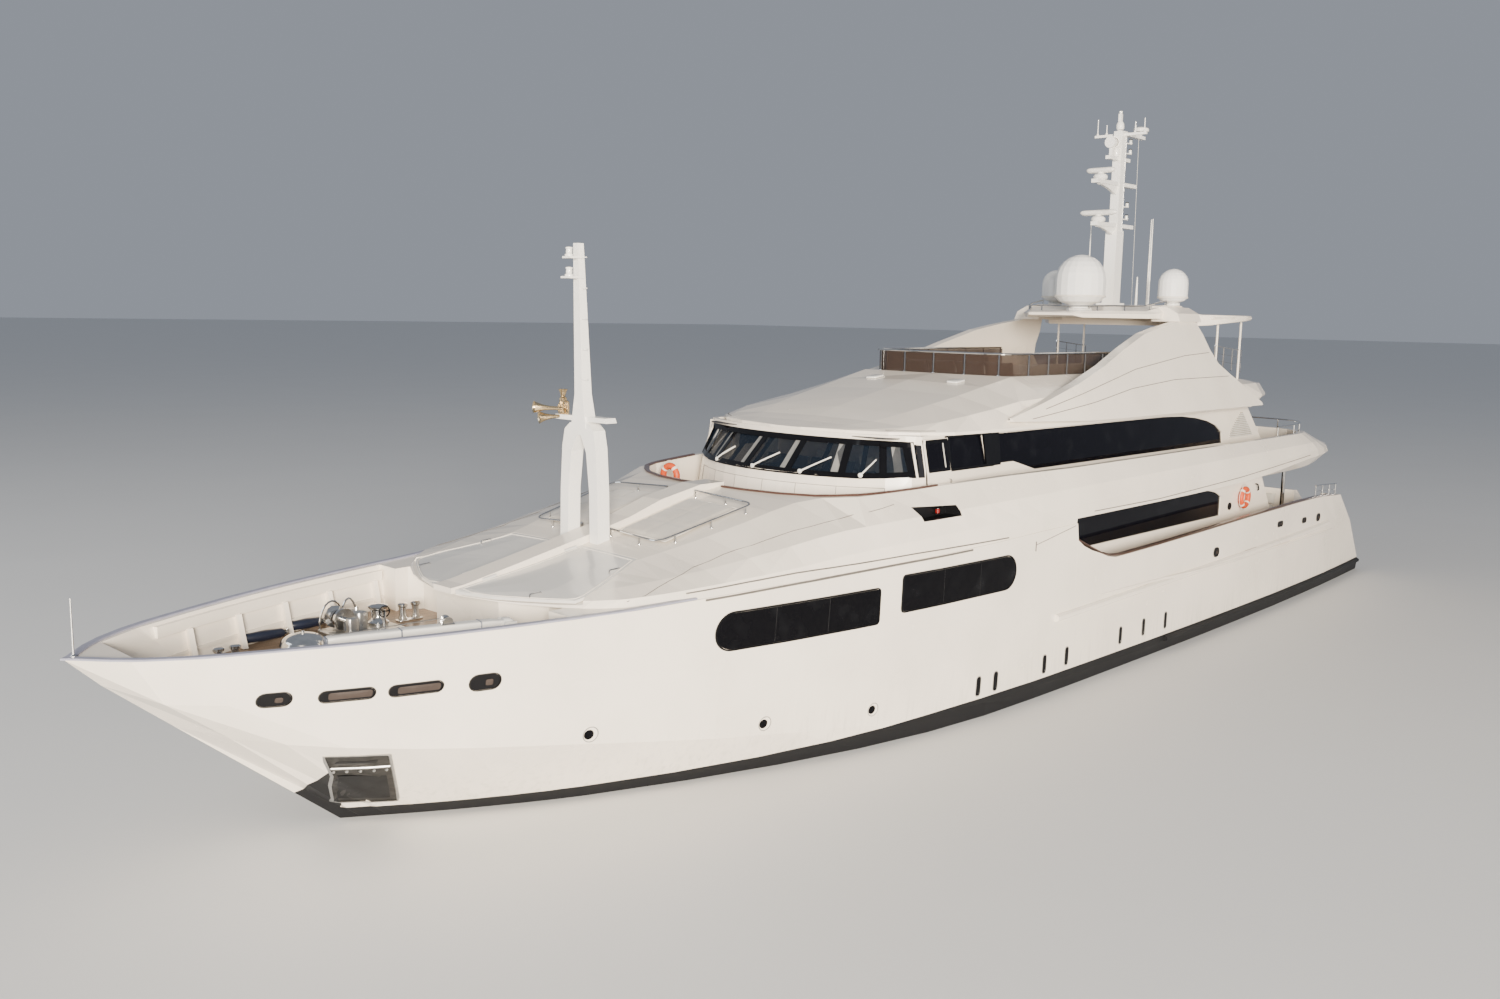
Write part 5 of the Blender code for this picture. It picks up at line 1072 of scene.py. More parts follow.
def signal_mast_fittings():
    """Horns with their pipes on the starboard arm, nav lights on brackets, and steps up the column."""
    shiny = [horn((12.86, -0.86, 7.3), (12.3, -0.62, 7.26), 0.13),
             horn((12.72, -0.86, 7.08), (12.25, -0.66, 7.1), 0.14),
             horn((12.2, -0.72, 7.66), (12.2, -0.72, 7.3), 0.1)]
    for y, top in ((-0.62, 7.5), (-0.54, 7.42), (-0.68, 7.36)):
        shiny.append(tube(rounded_path([(12.2, y, 7.14), (12.2, y, top), (12.32, y - 0.04, top),
                                        (12.32, y - 0.04, 7.2)],
                                       0.05), 0.02, 8))
    shiny.append(brick((12.12, -0.78, 7.14), (12.3, -0.6, 7.26), 0.03))
    white = []
    lenses = []
    for z in (9.99, 10.39):
        white.append(lathe([(0, 0), (0.09, 0), (0.09, 0.04), (0.06, 0.05), (0, 0.05)], (12.6, 0, z + 0.001),
                           "Z", 16))
        lenses.append(lathe([(0, 0.05), (0.062, 0.05), (0.066, 0.1), (0.06, 0.15), (0.0, 0.155)],
                            (12.6, 0, z), "Z", 16))
        white.append(lathe([(0, 0.15), (0.075, 0.15), (0.07, 0.18), (0, 0.2)], (12.6, 0, z), "Z", 16))
    for z in np.arange(7.9, 10.4, 0.62):
        y = float(side_of("foremast", 12.3, z, 0.0, 0.6)) - 0.01
        white.append(tube(rounded_path([(12.26, y, z), (12.26, y + 0.09, z), (12.36, y + 0.09, z),
                                        (12.36, y, z)], 0.03, 4),
                          0.012, 6))
    return each_merged(shiny, white, lenses)


# Wheelhouse

MULLIONS = (-7.0, -5.9, -4.15, -1.4, 1.4, 4.15, 5.9, 7.0)
PILLARS = (-6.5, -3.8, -1.05, 1.75, 4.5, 6.5)
WINDOW_SILL = 5.62
WINDOW_HEAD = 6.38

SILL_RISE = np.array([0, 0, 0, 0, 0, 0, 0.03, 0.08, 0.15, 0.15])
HEAD_RISE = np.array([0, 0, 0, 0, 0, 0, 0, 0, 0, 0.1])


def wheelhouse_outline(front, corner_x, corner_y, wall_y):
    """Port half of the wheelhouse plan: X falls with a power of the breadth, then a corner and a side."""
    t = np.arange(1, 8) / 7
    arc_part = np.column_stack([front - (front - corner_x) * t ** 2.2, corner_y * t])
    side = [(corner_x - 0.16, corner_y + (wall_y - corner_y) * 0.6), (5.03, wall_y)]
    return rows_of((front, 0.0), arc_part, side)


def wheelhouse_at(z, rise=0.0):
    """Loop round the wheelhouse wall at a height, which rise may lift from point to point: the plan is
    blended between its foot, sill and head."""
    foot = wheelhouse_outline(6.85, 5.5, 3.5, 3.64)
    sill = wheelhouse_outline(6.7, 5.38, 3.46, 3.6)
    head = wheelhouse_outline(5.92, 5.26, 3.12, 3.42)
    z = z + np.broadcast_to(rise, (len(foot),))
    below = np.clip((z - UPPER_DECK) / (WINDOW_SILL - UPPER_DECK), 0, 1)[:, None]
    above = np.clip((z - WINDOW_SILL) / (WINDOW_HEAD - WINDOW_SILL), 0, 1)[:, None]
    plan = foot * (1 - below) + sill * (below - above) + head * above
    return mirror_path(np.column_stack([plan, z])[::-1])


def outward(path):
    """Level unit vectors square to a path, on its left."""
    tangents, _, _ = path_frames(path, False)
    return unit(np.stack([-tangents[:, 1], tangents[:, 0], np.zeros(len(path))], axis=1))


def between(path, places):
    """Points of a path at fractional places in its order."""
    order = np.arange(len(path))
    return np.stack([np.interp(places, order, path[:, k]) for k in range(3)], axis=1)


def wheelhouse_band(low, high, proud, rise, sunk=0.01):
    """Band round the wheelhouse front between two heights, standing proud of the wall."""
    a, b = wheelhouse_at(low, rise), wheelhouse_at(high, rise)
    places = len(a) // 2 + np.linspace(-7.8, 7.8, 61)
    n, m = between(outward(a), places), between(outward(b), places)
    a, b = between(a, places), between(b, places)
    return skin(np.stack([a - n * sunk, a + n * proud, b + m * proud, b - m * sunk], axis=1))


def upright_bars(places, low_z, high_z, wide, near, far):
    """Bars that stand on the windscreen's lean at places counted from its middle, between two depths of
    the glass; each is a quadrilateral carried from the sill to the head."""
    low, high = wheelhouse_at(low_z), wheelhouse_at(high_z)
    out = outward(low)
    middle = len(low) // 2
    parts = []
    for place in places:
        k = middle + place
        along = between(low, [k + 0.5])[0] - between(low, [k - 0.5])[0]
        along = along / np.linalg.norm(along) * wide
        away = between(out, [k])[0]
        ends = (between(low, [k])[0], between(high, [k])[0])
        parts.append(skin([[base - along + away * near, base - along + away * far, base + along + away * far,
                            base + along + away * near] for base in ends]))
    return merged(*parts)


def window_frames():
    """Black frame of the windscreen: sill and head bands, and mullions square to the glass."""
    return merged(wheelhouse_band(5.58, 5.70, 0.022, SILL_RISE),
                  wheelhouse_band(6.31, 6.44, 0.022, HEAD_RISE),
                  upright_bars(MULLIONS, 5.64, 6.38, 0.085, -0.004, 0.02))


def pale_pillars():
    """Pale slanted pillars just behind the windscreen, beside its mullions."""
    return upright_bars(PILLARS, 5.64, 6.36, 0.1, -0.05, -0.034)


def locker_seams():
    """Thin seams of the lockers below the windscreen: level lines and uprights on the wall."""
    parts = []
    for z in (4.95, 5.38):
        path = wheelhouse_at(z)
        path = path[3:-3] + outward(path)[3:-3] * 0.001
        parts.append(tube(path, 0.006, 6))
    low, high = wheelhouse_at(4.95), wheelhouse_at(5.38)
    for k in range(3, len(low) - 3, 2):
        parts.append(tube([low[k], high[k]], 0.006, 6))
    return merged(*parts)


def wipers():
    """Wiper arms: a boss on the sill, a two-part arm and a pale blade that lies on the glass."""
    arms, blades = [], []
    low, high = wheelhouse_at(5.66), wheelhouse_at(6.34)
    out = outward(low)
    middle = len(low) // 2
    for base, tip in ((-4.0, -3.1), (-0.8, 0.4), (2.15, 3.45), (5.0, 5.6)):
        k, to = middle - base, middle - tip
        root, away = between(low, [k])[0], between(out, [k])[0]
        foot, head, lift = between(low, [to])[0], between(high, [to])[0], between(out, [to])[0]
        start = root + away * 0.05
        end = foot * 0.48 + head * 0.52 + lift * 0.06
        bend = start * 0.45 + end * 0.55 + away * 0.05
        arms.append(tube(rounded_path([start, bend, end], 0.2), np.linspace(0.022, 0.012, 7), 8))
        arms.append(aimed([(0, 0), (0.055, 0), (0.055, 0.03), (0.02, 0.05), (0, 0.05)], root + away * 0.02,
                          root + away))
        blade = bend * 0.75 + start * 0.25
        blades.append(tube([blade - lift * 0.02, (blade + end) / 2 - lift * 0.02, end - lift * 0.02], 0.019,
                           8))
    return each_merged(arms, blades)


def strip_infill():
    """Black panels that carry the windows' strip past the wheelhouse door and over the house joint."""
    def panel(node, x0, x1, z0, z1):
        """Oblong plate between two places and two heights."""
        return side_plate(node, box_loop((x0 + x1) / 2, (z0 + z1) / 2, x1 - x0, z1 - z0, 0.01), 0.014,
                          rings=3)

    shell = "wheelhouse_shell"
    parts = [panel(shell, 2.205, 2.515, 5.70, 6.53), panel(shell, 3.985, 4.133, 5.70, 6.53),
             panel(shell, 2.3, 4.1, 6.475, 6.53), panel(shell, 2.3, 4.1, 5.70, 5.775),
             panel("upper_house", 1.8, 2.178, 5.70, 6.5)]
    return both(merged(*parts))


def door_dressing(side):
    """Window, black surround, pale inner pillar and handle of a wheelhouse door, on its outer face."""
    node = "wheelhouse_door_port"
    surround = side_plate(node, box_loop(4.59, 6.115, 0.87, 0.75, 0.03), 0.006, rings=4)
    pane = side_plate(node, box_loop(4.59, 6.11, 0.74, 0.58, 0.03), 0.012, rings=4)
    pillar = side_plate(node, box_loop(4.35, 6.11, 0.045, 0.56, 0.01), 0.015, rings=3)
    y = float(side_of(node, 4.25, 5.45))
    handle = tube(rounded_path([(4.25, y - 0.01, 5.3), (4.25, y + 0.07, 5.3), (4.25, y + 0.07, 5.55),
                                (4.25, y - 0.01, 5.55)],
                               0.04), 0.014, 8)
    return [on_side(part, side) for part in (pane, surround, pillar, handle)]


def cabin_columns():
    """Pale linings and half-drawn curtains behind the dark windows, folded like a wave along X."""
    parts = []
    t = np.linspace(0, 1, 17)
    for x, width, low, high, y in ((2.7, 0.45, 4.7, 6.5, 3.2), (1.45, 0.3, 4.7, 6.4, 3.3),
                                   (-1.6, 0.3, 4.7, 6.4, 3.25),
                                   (-4.5, 0.55, 4.7, 6.4, 3.25), (-6.7, 0.5, 4.7, 6.4, 3.25),
                                   (-8.6, 0.3, 4.7, 6.3, 3.25),
                                   (-1.8, 0.5, 2.3, 4.3, 3.65), (-4.4, 0.5, 2.3, 4.3, 3.65),
                                   (-7.0, 0.5, 2.3, 4.3, 3.65), (-9.2, 0.4, 2.3, 4.1, 3.65)):
        fold = np.sin(t * width * 60) * 0.025
        front = np.column_stack([x + t * width, y + fold])
        loop = rows_of(front, front[::-1] - [0.0, 0.03])
        parts.append(skin([np.column_stack([loop, np.full(len(loop), z)]) for z in (low, high)]))
    return both(merged(*parts))


def helm_station():
    """Helm console in dark mouldings with a padded brow, sloping screens, wheel and throttle levers."""
    body = [(5.62, 4.65), (5.9, 5.46), (5.6, 5.56), (5.2, 5.56), (4.98, 5.3), (4.92, 5.2), (4.92, 4.65)]
    base = skin([[(x, y, z) for x, z in body] for y in (-1.58, -1.56, 1.56, 1.58)])
    screens, trims = [], []
    for y in (-1.1, -0.37, 0.37, 1.1):
        screen = brick((5.05, y - 0.29, 5.44), (5.07, y + 0.29, 5.78), 0.006)
        trim = brick((5.07, y - 0.32, 5.42), (5.1, y + 0.32, 5.81), 0.01)
        screens.append(turned_part(screen, -20, (0, 1, 0), (5.06, y, 5.5)))
        trims.append(turned_part(trim, -20, (0, 1, 0), (5.06, y, 5.5)))
    a = arc(28)
    rim = np.column_stack([np.full(28, 4.78), np.cos(a) * 0.2, 5.36 + np.sin(a) * 0.2])
    wheel = tube(rim, 0.018, 8, closed=True)
    spokes = []
    for a in arc(3, 90, 450):
        spokes.append(tube([(4.8, 0, 5.36), (4.78, math.cos(a) * 0.2, 5.36 + math.sin(a) * 0.2)], 0.01, 6))
    hub = lathe([(0, 0), (0.045, 0), (0.045, 0.12), (0, 0.13)], (4.78, 0, 5.36), "X", 12)
    levers = [tube([(5.0, y, 5.3), (4.93, y, 5.46)], 0.016, 6) for y in (-0.55, -0.45)]
    return merged(base, *trims), merged(*screens), merged(wheel, hub, *spokes, *levers)


def bridge_linings():
    """Carpet, headlining and after bulkhead of the bridge: thin bevelled panels behind the glass, near-black
    as painted shade for the dim inside of the wheelhouse.
    """
    return merged(brick((2.3, -3.0, 4.625), (6.4, 3.0, 4.64), 0.004, 0.3),
                  brick((2.3, -3.0, 6.49), (5.7, 3.0, 6.51), 0.004, 0.3),
                  brick((2.26, -3.2, 4.64), (2.3, 3.2, 6.49), 0.008))


# Cushions and seats

def cushion(centre, size, crown=0.03, seams=(1, 1), pull=0.02):
    """Crowned closed form: an oblong whose sides pull in between its corners; its height swells by the
    product of two arches, is pinched along evenly spaced seams, and rests flat below."""
    length, width, thick = size
    u, v = np.meshgrid(np.linspace(-1, 1, 33), np.linspace(-1, 1, 25), indexing="ij")
    x = u * length / 2 * (1 - pull / length * 2 * (1 - v ** 2))
    y = v * width / 2 * (1 - pull / width * 2 * (1 - u ** 2))
    edge = np.clip(1 - np.abs(u) ** 14, 0, 1) * np.clip(1 - np.abs(v) ** 14, 0, 1)
    arch = (1 - u ** 4) * (1 - v ** 4)
    pinch = np.zeros_like(u)
    for axis, count in zip((u, v), seams):
        for place in np.linspace(-1, 1, count + 1)[1:-1]:
            pinch = np.maximum(pinch, np.exp(-((axis - place) / 0.045) ** 2))
    top = thick * (0.35 + 0.65 * edge ** 0.4) + crown * arch - pinch * 0.018
    low = thick * 0.35 * (1 - edge ** 0.4)
    index = np.arange(u.size).reshape(u.shape)
    corners = (index[:-1, :-1], index[1:, :-1], index[1:, 1:], index[:-1, 1:])
    quads = np.stack(corners, axis=-1).reshape(-1, 4)
    rim = np.concatenate([index[:, 0], index[-1, 1:], index[-2::-1, -1], index[0, -2:0:-1]])
    after = np.roll(rim, -1)
    wall = np.stack([rim, after, after + u.size, rim + u.size], axis=-1)
    verts = np.vstack([np.stack([x, y, z], axis=-1).reshape(-1, 3) for z in (top, low)])
    faces = quads.tolist() + (quads[:, ::-1] + u.size).tolist() + wall.tolist()
    return verts + np.asarray(centre, float), faces


def laid(part, node, lift=0.004, low=3.0, high=7.0):
    """Shear a part upwards so that its underside follows a frame node's surface."""
    verts, faces = part
    base = verts[:, 2].min()
    z = top_of(node, verts[:, 0], verts[:, 1], low, high)
    out = verts.copy()
    out[:, 2] = verts[:, 2] - base + z + lift
    return out, faces


def piping(centre, size, radius=0.012, pull=0.02):
    """Welt round a cushion's upper edge: a thin tube on the cushion's own pulled-in outline."""
    length, width, thick = size
    t = np.linspace(-1, 1, 21)
    one = np.ones_like(t)
    outline = rows_of(np.column_stack([t, -one]), np.column_stack([one, t])[1:],
                      np.column_stack([-t, one])[1:],
                      np.column_stack([-one, -t])[1:-1])
    x = outline[:, 0] * length / 2 * (1 - pull / length * 2 * (1 - outline[:, 1] ** 2))
    y = outline[:, 1] * width / 2 * (1 - pull / width * 2 * (1 - outline[:, 0] ** 2))
    path = np.column_stack([x, y, np.full(len(x), thick * 0.4)]) + np.asarray(centre, float)
    return tube(path, radius, 6, closed=True)


SWELL = {"use_pressure": True, "uniform_pressure_force": 4.0, "tension_stiffness": 40,
         "compression_stiffness": 40,
         "bending_stiffness": 2.0}


def puffed(piece, cap=0.006):
    """Swell a closed pad by cloth pressure without gravity, each point by no more than a cap."""
    scene = bpy.context.scene
    rest = np.zeros(len(piece.data.vertices) * 3)
    piece.data.vertices.foreach_get("co", rest)
    swell = piece.modifiers.new("swell", 'CLOTH')
    for key, value in SWELL.items():
        setattr(swell.settings, key, value)
    swell.settings.effector_weights.gravity = 0.0
    for number in range(1, 21):
        scene.frame_set(number)
    swollen = piece.evaluated_get(bpy.context.evaluated_depsgraph_get())
    after = np.zeros(len(swollen.data.vertices) * 3)
    swollen.data.vertices.foreach_get("co", after)
    scene.frame_set(1)
    piece.modifiers.remove(swell)
    step = (after - rest).reshape(-1, 3)
    length = np.linalg.norm(step, axis=1, keepdims=True)
    step *= np.minimum(1.0, cap / np.maximum(length, TINY))
    piece.data.vertices.foreach_set("co", (rest.reshape(-1, 3) + step).ravel())
    piece.data.update()
    return piece


def sofa(low, high, deck, backs, cushions=3):
    """Sofa across the ship: a low plinth, a row of seat cushions and a row of leaning back cushions, on its
    fore side where backs is 1 and on its after side where backs is -1."""
    plinth = brick((*low, deck + 0.004), (*high, deck + 0.24), 0.02, 0.06)
    depth, span = high - low
    width = span / cushions - 0.02
    back = turned_part(cushion((0, 0, 0), (0.42, width, 0.15), 0.035), 78, (0, 1, 0))
    back = turned_part(back, 180 if backs > 0 else 0, (0, 0, 1))
    foot = (high[0] if backs > 0 else low[0]) - backs * 0.12
    pads = []
    for number in range(cushions):
        y = low[1] + span * (number + 0.5) / cushions
        pads.append(cushion((low[0] + depth / 2 - backs * 0.1, y, deck + 0.245), (depth - 0.2, width, 0.15),
                            0.03))
        pads.append(moved(back, (foot, y, deck + 0.6)))
    return plinth, merged(*pads)


def table(centre, size, deck, height=0.62):
    """Deck table: rounded top with a lipped edge on two turned legs."""
    x, y = centre
    top = slab((x, y, deck + height), (size[0], size[1], 0.05), 0.012, 0.12)
    leg = [(0, 0.004), (0.16, 0.004), (0.15, 0.03), (0.05, 0.07), (0.04, height - 0.08),
           (0.12, height - 0.03),
           (0, height - 0.028)]
    return top, merged(*[lathe(leg, (x, y + share * size[1], deck), "Z", 16) for share in (-0.28, 0.28)])


# Mast, hardtop and domes

def radar_bar(centre, length, body=0.1, thick=0.09):
    """Turning scanner: a long bar with rounded ends, shallow belly and a hub."""
    y = np.linspace(-1, 1, 25)
    profile = np.clip(1 - np.abs(y) ** 8, 0.02, 1) ** 0.5
    a = arc(14)
    squash = np.where(np.sin(a) < 0, 1.15, 0.8)
    rings = np.zeros((25, 14, 3))
    rings[..., 0] = centre[0] + profile[:, None] * np.cos(a) * body
    rings[..., 1] = centre[1] + (y * length / 2)[:, None]
    rings[..., 2] = centre[2] + 0.12 + profile[:, None] * np.sin(a) * squash * thick
    hub = lathe([(0, 0.002), (0.1, 0.002), (0.1, 0.04), (0.07, 0.08), (0, 0.085)], centre, "Z", 16)
    return merged(skin(rings), hub)


def mast_fittings():
    """Fittings of the main mast: gussets and after arms of the radar platforms, lamps on their arms,
    searchlight, camera ball, crosstree aerials, wind vane, masthead lamp, ladder rails and rungs."""
    white, lenses, shiny, dark = [], [], [], []
    t = np.linspace(0, 1, 10)
    for z in (12.31, 13.63):
        gusset = [[(x, -0.09, z - 0.002), (x, 0.09, z - 0.002), (x, 0.05, z - depth), (x, -0.05, z - depth)]
                  for x, depth in zip(-9.85 + 1.1 * t, 0.04 + 0.26 * (1 - t) ** 1.5)]
        white.append(skin(gusset))
        white.append(slab((-10.52, 0, z + 0.06), (0.72, 0.16, 0.05), 0.015, 0.06))
        white.append(lathe([(0, 0.0), (0.2, 0.0), (0.23, 0.05), (0.22, 0.11), (0.17, 0.16), (0.12, 0.17),
                            (0, 0.17)],
                           (-8.8, 0, z + 0.115), "Z", 20))
    foot = [(0, 0), (0.06, 0), (0.06, 0.03), (0, 0.03)]
    lens = [(0, 0.03), (0.045, 0.03), (0.05, 0.08), (0.045, 0.12), (0, 0.125)]
    hood = [(0, 0.12), (0.055, 0.12), (0.05, 0.15), (0, 0.155)]
    for z in (12.6, 13.0, 14.7, 15.02):
        white.append(slab((-10.4, 0, z), (0.62, 0.1, 0.035), 0.01, 0.04))
        for parts, profile in ((white, foot), (lenses, lens), (dark, hood)):
            parts.append(lathe(profile, (-10.66, 0, z + 0.018), "Z", 14))
    beam = ((-9.5, 0, 14.95), (-9.0, 0.3, 14.95))
    white.append(aimed([(0, -0.16), (0.1, -0.16), (0.16, -0.1), (0.18, 0.0), (0.18, 0.12), (0.165, 0.12),
                        (0.16, 0.02),
                        (0, 0)], *beam, 24))
    lenses.append(aimed([(0, 0.02), (0.155, 0.02), (0.14, 0.05), (0, 0.06)], *beam, 24))
    white.append(lathe([(0, 0), (0.05, 0), (0.05, 0.3), (0, 0.3)], (-9.5, 0, 14.52), "Z", 12))
    white.append(lathe([(0, 0), (0.1, 0), (0.11, 0.06), (0.12, 0.14), (0.1, 0.24), (0.05, 0.29), (0, 0.3)],
                       (-9.72, 0.0, 14.535), "Z", 16))
    for y, tall in ((-0.82, 0.5), (-0.5, 0.3), (0.5, 0.34), (0.82, 0.42)):
        white.append(lathe([(0, 0), (0.04, 0), (0.035, 0.05), (0.016, 0.07), (0.014, tall), (0, tall + 0.01)],
                           (-9.96, y, 15.285), "Z", 10))
    white.append(slab((-10.7, 0, 15.34), (1.5, 0.12, 0.05), 0.015, 0.04))
    white.append(lathe([(0, 0), (0.03, 0), (0.03, 0.14), (0.24, 0.2), (0.25, 0.23), (0.12, 0.28), (0, 0.3)],
                       (-11.3, 0, 15.36), "Z", 20))
    white.append(lathe([(0, 0), (0.02, 0), (0.018, 0.3), (0, 0.31)], (-10.95, 0.0, 15.36), "Z", 8))
    white.append(lathe([(0, 0), (0.11, 0), (0.13, 0.08), (0.12, 0.18), (0.07, 0.26), (0, 0.28)],
                       (-9.9, 0.0, 15.4),
                       "Z", 16))
    lenses.append(lathe([(0, 0), (0.05, 0), (0.055, 0.08), (0, 0.09)], (-9.95, -0.03, 15.905), "Z", 12))
    for y in (0.16, -0.16):
        shiny.append(tube([(-10.1, y, 12.2), (-10.05, y, 15.2)], 0.012, 6))
    for z in np.arange(10.2, 12.1, 0.3):
        rung = [(-10.15, 0.1, z), (-10.28, 0.1, z), (-10.28, -0.1, z), (-10.15, -0.1, z)]
        shiny.append(tube(rounded_path(rung, 0.04, 4), 0.014, 6))
    return each_merged(white, lenses, shiny, dark)


def whip_aerials():
    """Whip aerials on the arch: tapered rods from a ferrule, and the short stout one beside them."""
    parts = []
    for x, y, low, high, wide in ((-10.85, 0.8, 9.6, 12.6, 0.028), (-10.36, 1.1, 9.6, 12.58, 0.028),
                                  (-10.6, 0.55, 9.6, 10.75, 0.045)):
        profile = [(0, 0), (wide * 2, 0), (wide * 2, 0.03), (wide * 1.2, 0.08), (wide, 0.2),
                   (wide * 0.9, (high - low) * 0.5),
                   (wide * 0.45, high - low - 0.02), (0, high - low)]
        parts.append(lathe(profile, (x, y, low), "Z", 10))
    return both(merged(*parts))


def halyard():
    """Signal halyard, a taut thin line from the crosstree to the arch."""
    return tube([(-11.12, 0.04, 15.31), (-11.3, 0.04, 9.62)], 0.006, 6)


def hardtop_rail():
    """Low bright rail round the fore edge of the hardtop, on short posts."""
    plan = np.array([(-9.4, 2.2), (-8.6, 2.14), (-8.2, 2.02), (-7.35, 1.48), (-6.6, 0.98), (-6.42, 0.6),
                     (-6.4, 0.0)])
    path = mirror_path(np.column_stack([plan, np.zeros(len(plan))]))
    path[:, 2] = top_of("hardtop", path[:, 0], path[:, 1], 9.0, 10.2) + 0.002
    return stanchion_rail(path, 0.15, 0.022, 0.95)


def dome_bands():
    """Seam bands and bolt flanges of the domes, rings a little proud of each drum."""
    bands, feet = [], []
    for node in ("large_dome", "small_dome_port", "small_dome_starboard"):
        low, high = node_box(node)
        x, y = (low[:2] + high[:2]) / 2
        radius = (high[0] - low[0]) / 2
        z = low[2] + radius * 0.57
        bands.append(lathe([(radius * 0.9, z - 0.03), (radius + 0.008, z - 0.03), (radius + 0.014, z),
                            (radius + 0.008, z + 0.03),
                            (radius * 0.9, z + 0.03)], (x, y, 0), "Z", 40))
        feet.append(lathe([(0.0, low[2] + 0.004), (radius * 0.52, low[2] + 0.004),
                           (radius * 0.5, low[2] + 0.05),
                           (radius * 0.37, low[2] + 0.08), (0, low[2] + 0.08)], (x, y, 0), "Z", 32))
        for a in arc(10):
            feet.append(lathe([(0, 0), (0.025, 0), (0.025, 0.03), (0, 0.035)],
                              (x + math.cos(a) * radius * 0.45, y + math.sin(a) * radius * 0.45,
                               low[2] + 0.045), "Z", 6))
    return each_merged(bands, feet)


def wing_seams():
    """Panel creases of the arch wings, thin round lines laid on their outer faces as painted shade in the
    folds.
    """
    lines = (((0.3, 7.04), (-2.4, 7.5), (-5.0, 7.94), (-8.4, 8.28), (-10.2, 8.36)),
             ((1.0, 6.82), (-2.2, 7.14), (-4.4, 7.42), (-7.2, 7.6), (-11.0, 7.62)))
    return both(merged(*[side_line("arch_wing_port", line, 0.01, step=0.3) for line in lines]))


def louvres():
    """Louvred panels on the upper house's after plates: slats tilted about X over a plate of painted shade, a
    dull cream for the shade in the gaps between the slats, both cut to an outline that follows the window's
    arch and the plate's raking end."""
    def ends(z):
        """Fore and after end of the panel at a height: a curve of power 1.6 and a straight rake."""
        t = (z - 5.6) / 0.78
        return -11.75 - 1.0 * t ** 1.6, -13.6 + 0.7 * t

    offsets = ((-0.01, -0.018), (0.034, -0.026), (0.034, -0.01), (-0.01, 0.012))
    slats = []
    for z in np.linspace(5.64, 6.34, 13):
        x = np.linspace(*ends(z), 8)
        y = side_of("upper_house", x, z)
        slats.append(skin(np.stack([np.column_stack([x, y + dy, np.full(8, z + dz)]) for dy, dz in offsets],
                                   axis=1)))
    z = np.linspace(5.6, 6.38, 12)
    fore, aft = ends(z)
    loop = rows_of(np.column_stack([fore, z]), np.column_stack([aft, z])[::-1])
    return both(merged(*slats)), both(side_plate("upper_house", loop, 0.006))


def house_fittings():
    """Round vent and pull handle beside the main-deck lifebuoy."""
    rim = lathe([(0.06, 0), (0.12, 0), (0.12, 0.03), (0.1, 0.04), (0.06, 0.04)], (-11.16, 3.92, 3.45), "Y",
                24)
    disc = lathe([(0, 0.0), (0.06, 0.0), (0.06, 0.02), (0, 0.03)], (-11.16, 3.92, 3.45), "Y", 16)
    handle = tube(rounded_path([(-13.36, 3.93, 3.78), (-13.3, 3.99, 3.82), (-13.2, 3.99, 4.0),
                                (-13.08, 3.97, 4.02)], 0.05),
                  0.022, 8)
    return both(merged(rim, disc, handle))


def awning():
    """Fairing of the hardtop's after plate: a section that thins from the arch to a rounded after edge."""
    x = np.array([-10.5, -10.9, -11.5, -12.2, -12.9, -13.4, -13.66])
    half = np.array([2.6, 3.0, 3.2, 3.3, 3.3, 3.28, 3.1])
    low = np.array([9.16, 9.2, 9.26, 9.31, 9.35, 9.385, 9.41])
    return box_beam(x, half, low, 9.535, 0.04)


def awning_rail():
    """Screen rail abaft the sun deck, between the awning's poles on each side."""
    path = np.array([(-11.6, 2.9, COAMING_TOP + 0.06), (-13.7, 2.9, 7.66)])
    return both(stanchion_rail(path, 0.72, 0.024, 0.7, wires=2))


def roof_hatches():
    """Two flush hatches on the wheelhouse roof ahead of the screen, bevelled plates that follow its slope."""
    parts = []
    for y in (-1.35, 1.35):
        plate = slab((0.75, y, 0), (0.42, 0.34, 0.05), 0.015, 0.05)
        parts.append(laid(plate, "sun_deck", 0.004, 6.5, 8.0))
    return merged(*parts)


# Foredeck hatch lids and crane

def lid_rim(node):
    """Rim of a hatch lid, seen from above, as points on its upper surface: at each cross-section its least
    and greatest reach from the centreline, drawn in a little."""
    first = node_triangles(node)
    second = np.roll(first, -1, axis=1)
    side = np.sign(first[..., 1].mean())
    places = np.linspace(12.62, 15.5, 25)
    spans = []
    for x in places:
        run = second[..., 0] - first[..., 0]
        t = (x - first[..., 0]) / np.where(np.abs(run) < TINY, TINY, run)
        met = (t >= 0) & (t <= 1)
        y = np.abs(first[..., 1] + t * (second[..., 1] - first[..., 1]))[met]
        spans.append((y.min() + 0.07, y.max() - 0.07))
    spans = np.array(spans)
    loop = rows_of(np.column_stack([places, spans[:, 1]]), np.column_stack([places, spans[:, 0]])[::-1])
    x, y = closed_loop(loop, 0.12).T
    return np.column_stack([x, y * side, top_of(node, x, y * side, 3.0, 5.0)])


def lid_details(node):
    """Pale seam inside a lid's rim, two lifting handles and their lock caps."""
    rim = lid_rim(node)
    side = np.sign(rim[0, 1])
    seam = tube(rim, 0.014, 6, closed=True)
    bright = []
    for x in (13.2, 14.9):
        y = side * float(np.interp(x, (12.6, 15.5), (2.35, 1.9)) - 0.12)
        z = float(top_of(node, x, y, 3.0, 5.0))
        bright.append(tube(rounded_path([(x - 0.13, y, z - 0.01), (x - 0.13, y, z + 0.05),
                                         (x + 0.13, y, z + 0.04),
                                         (x + 0.13, y, z - 0.02)], 0.03, 4), 0.014, 8))
        bright.append(lathe([(0, 0), (0.05, 0), (0.045, 0.012), (0, 0.014)], (x - 0.4, y, z - 0.004), "Z",
                            14))
    return seam, merged(*bright)


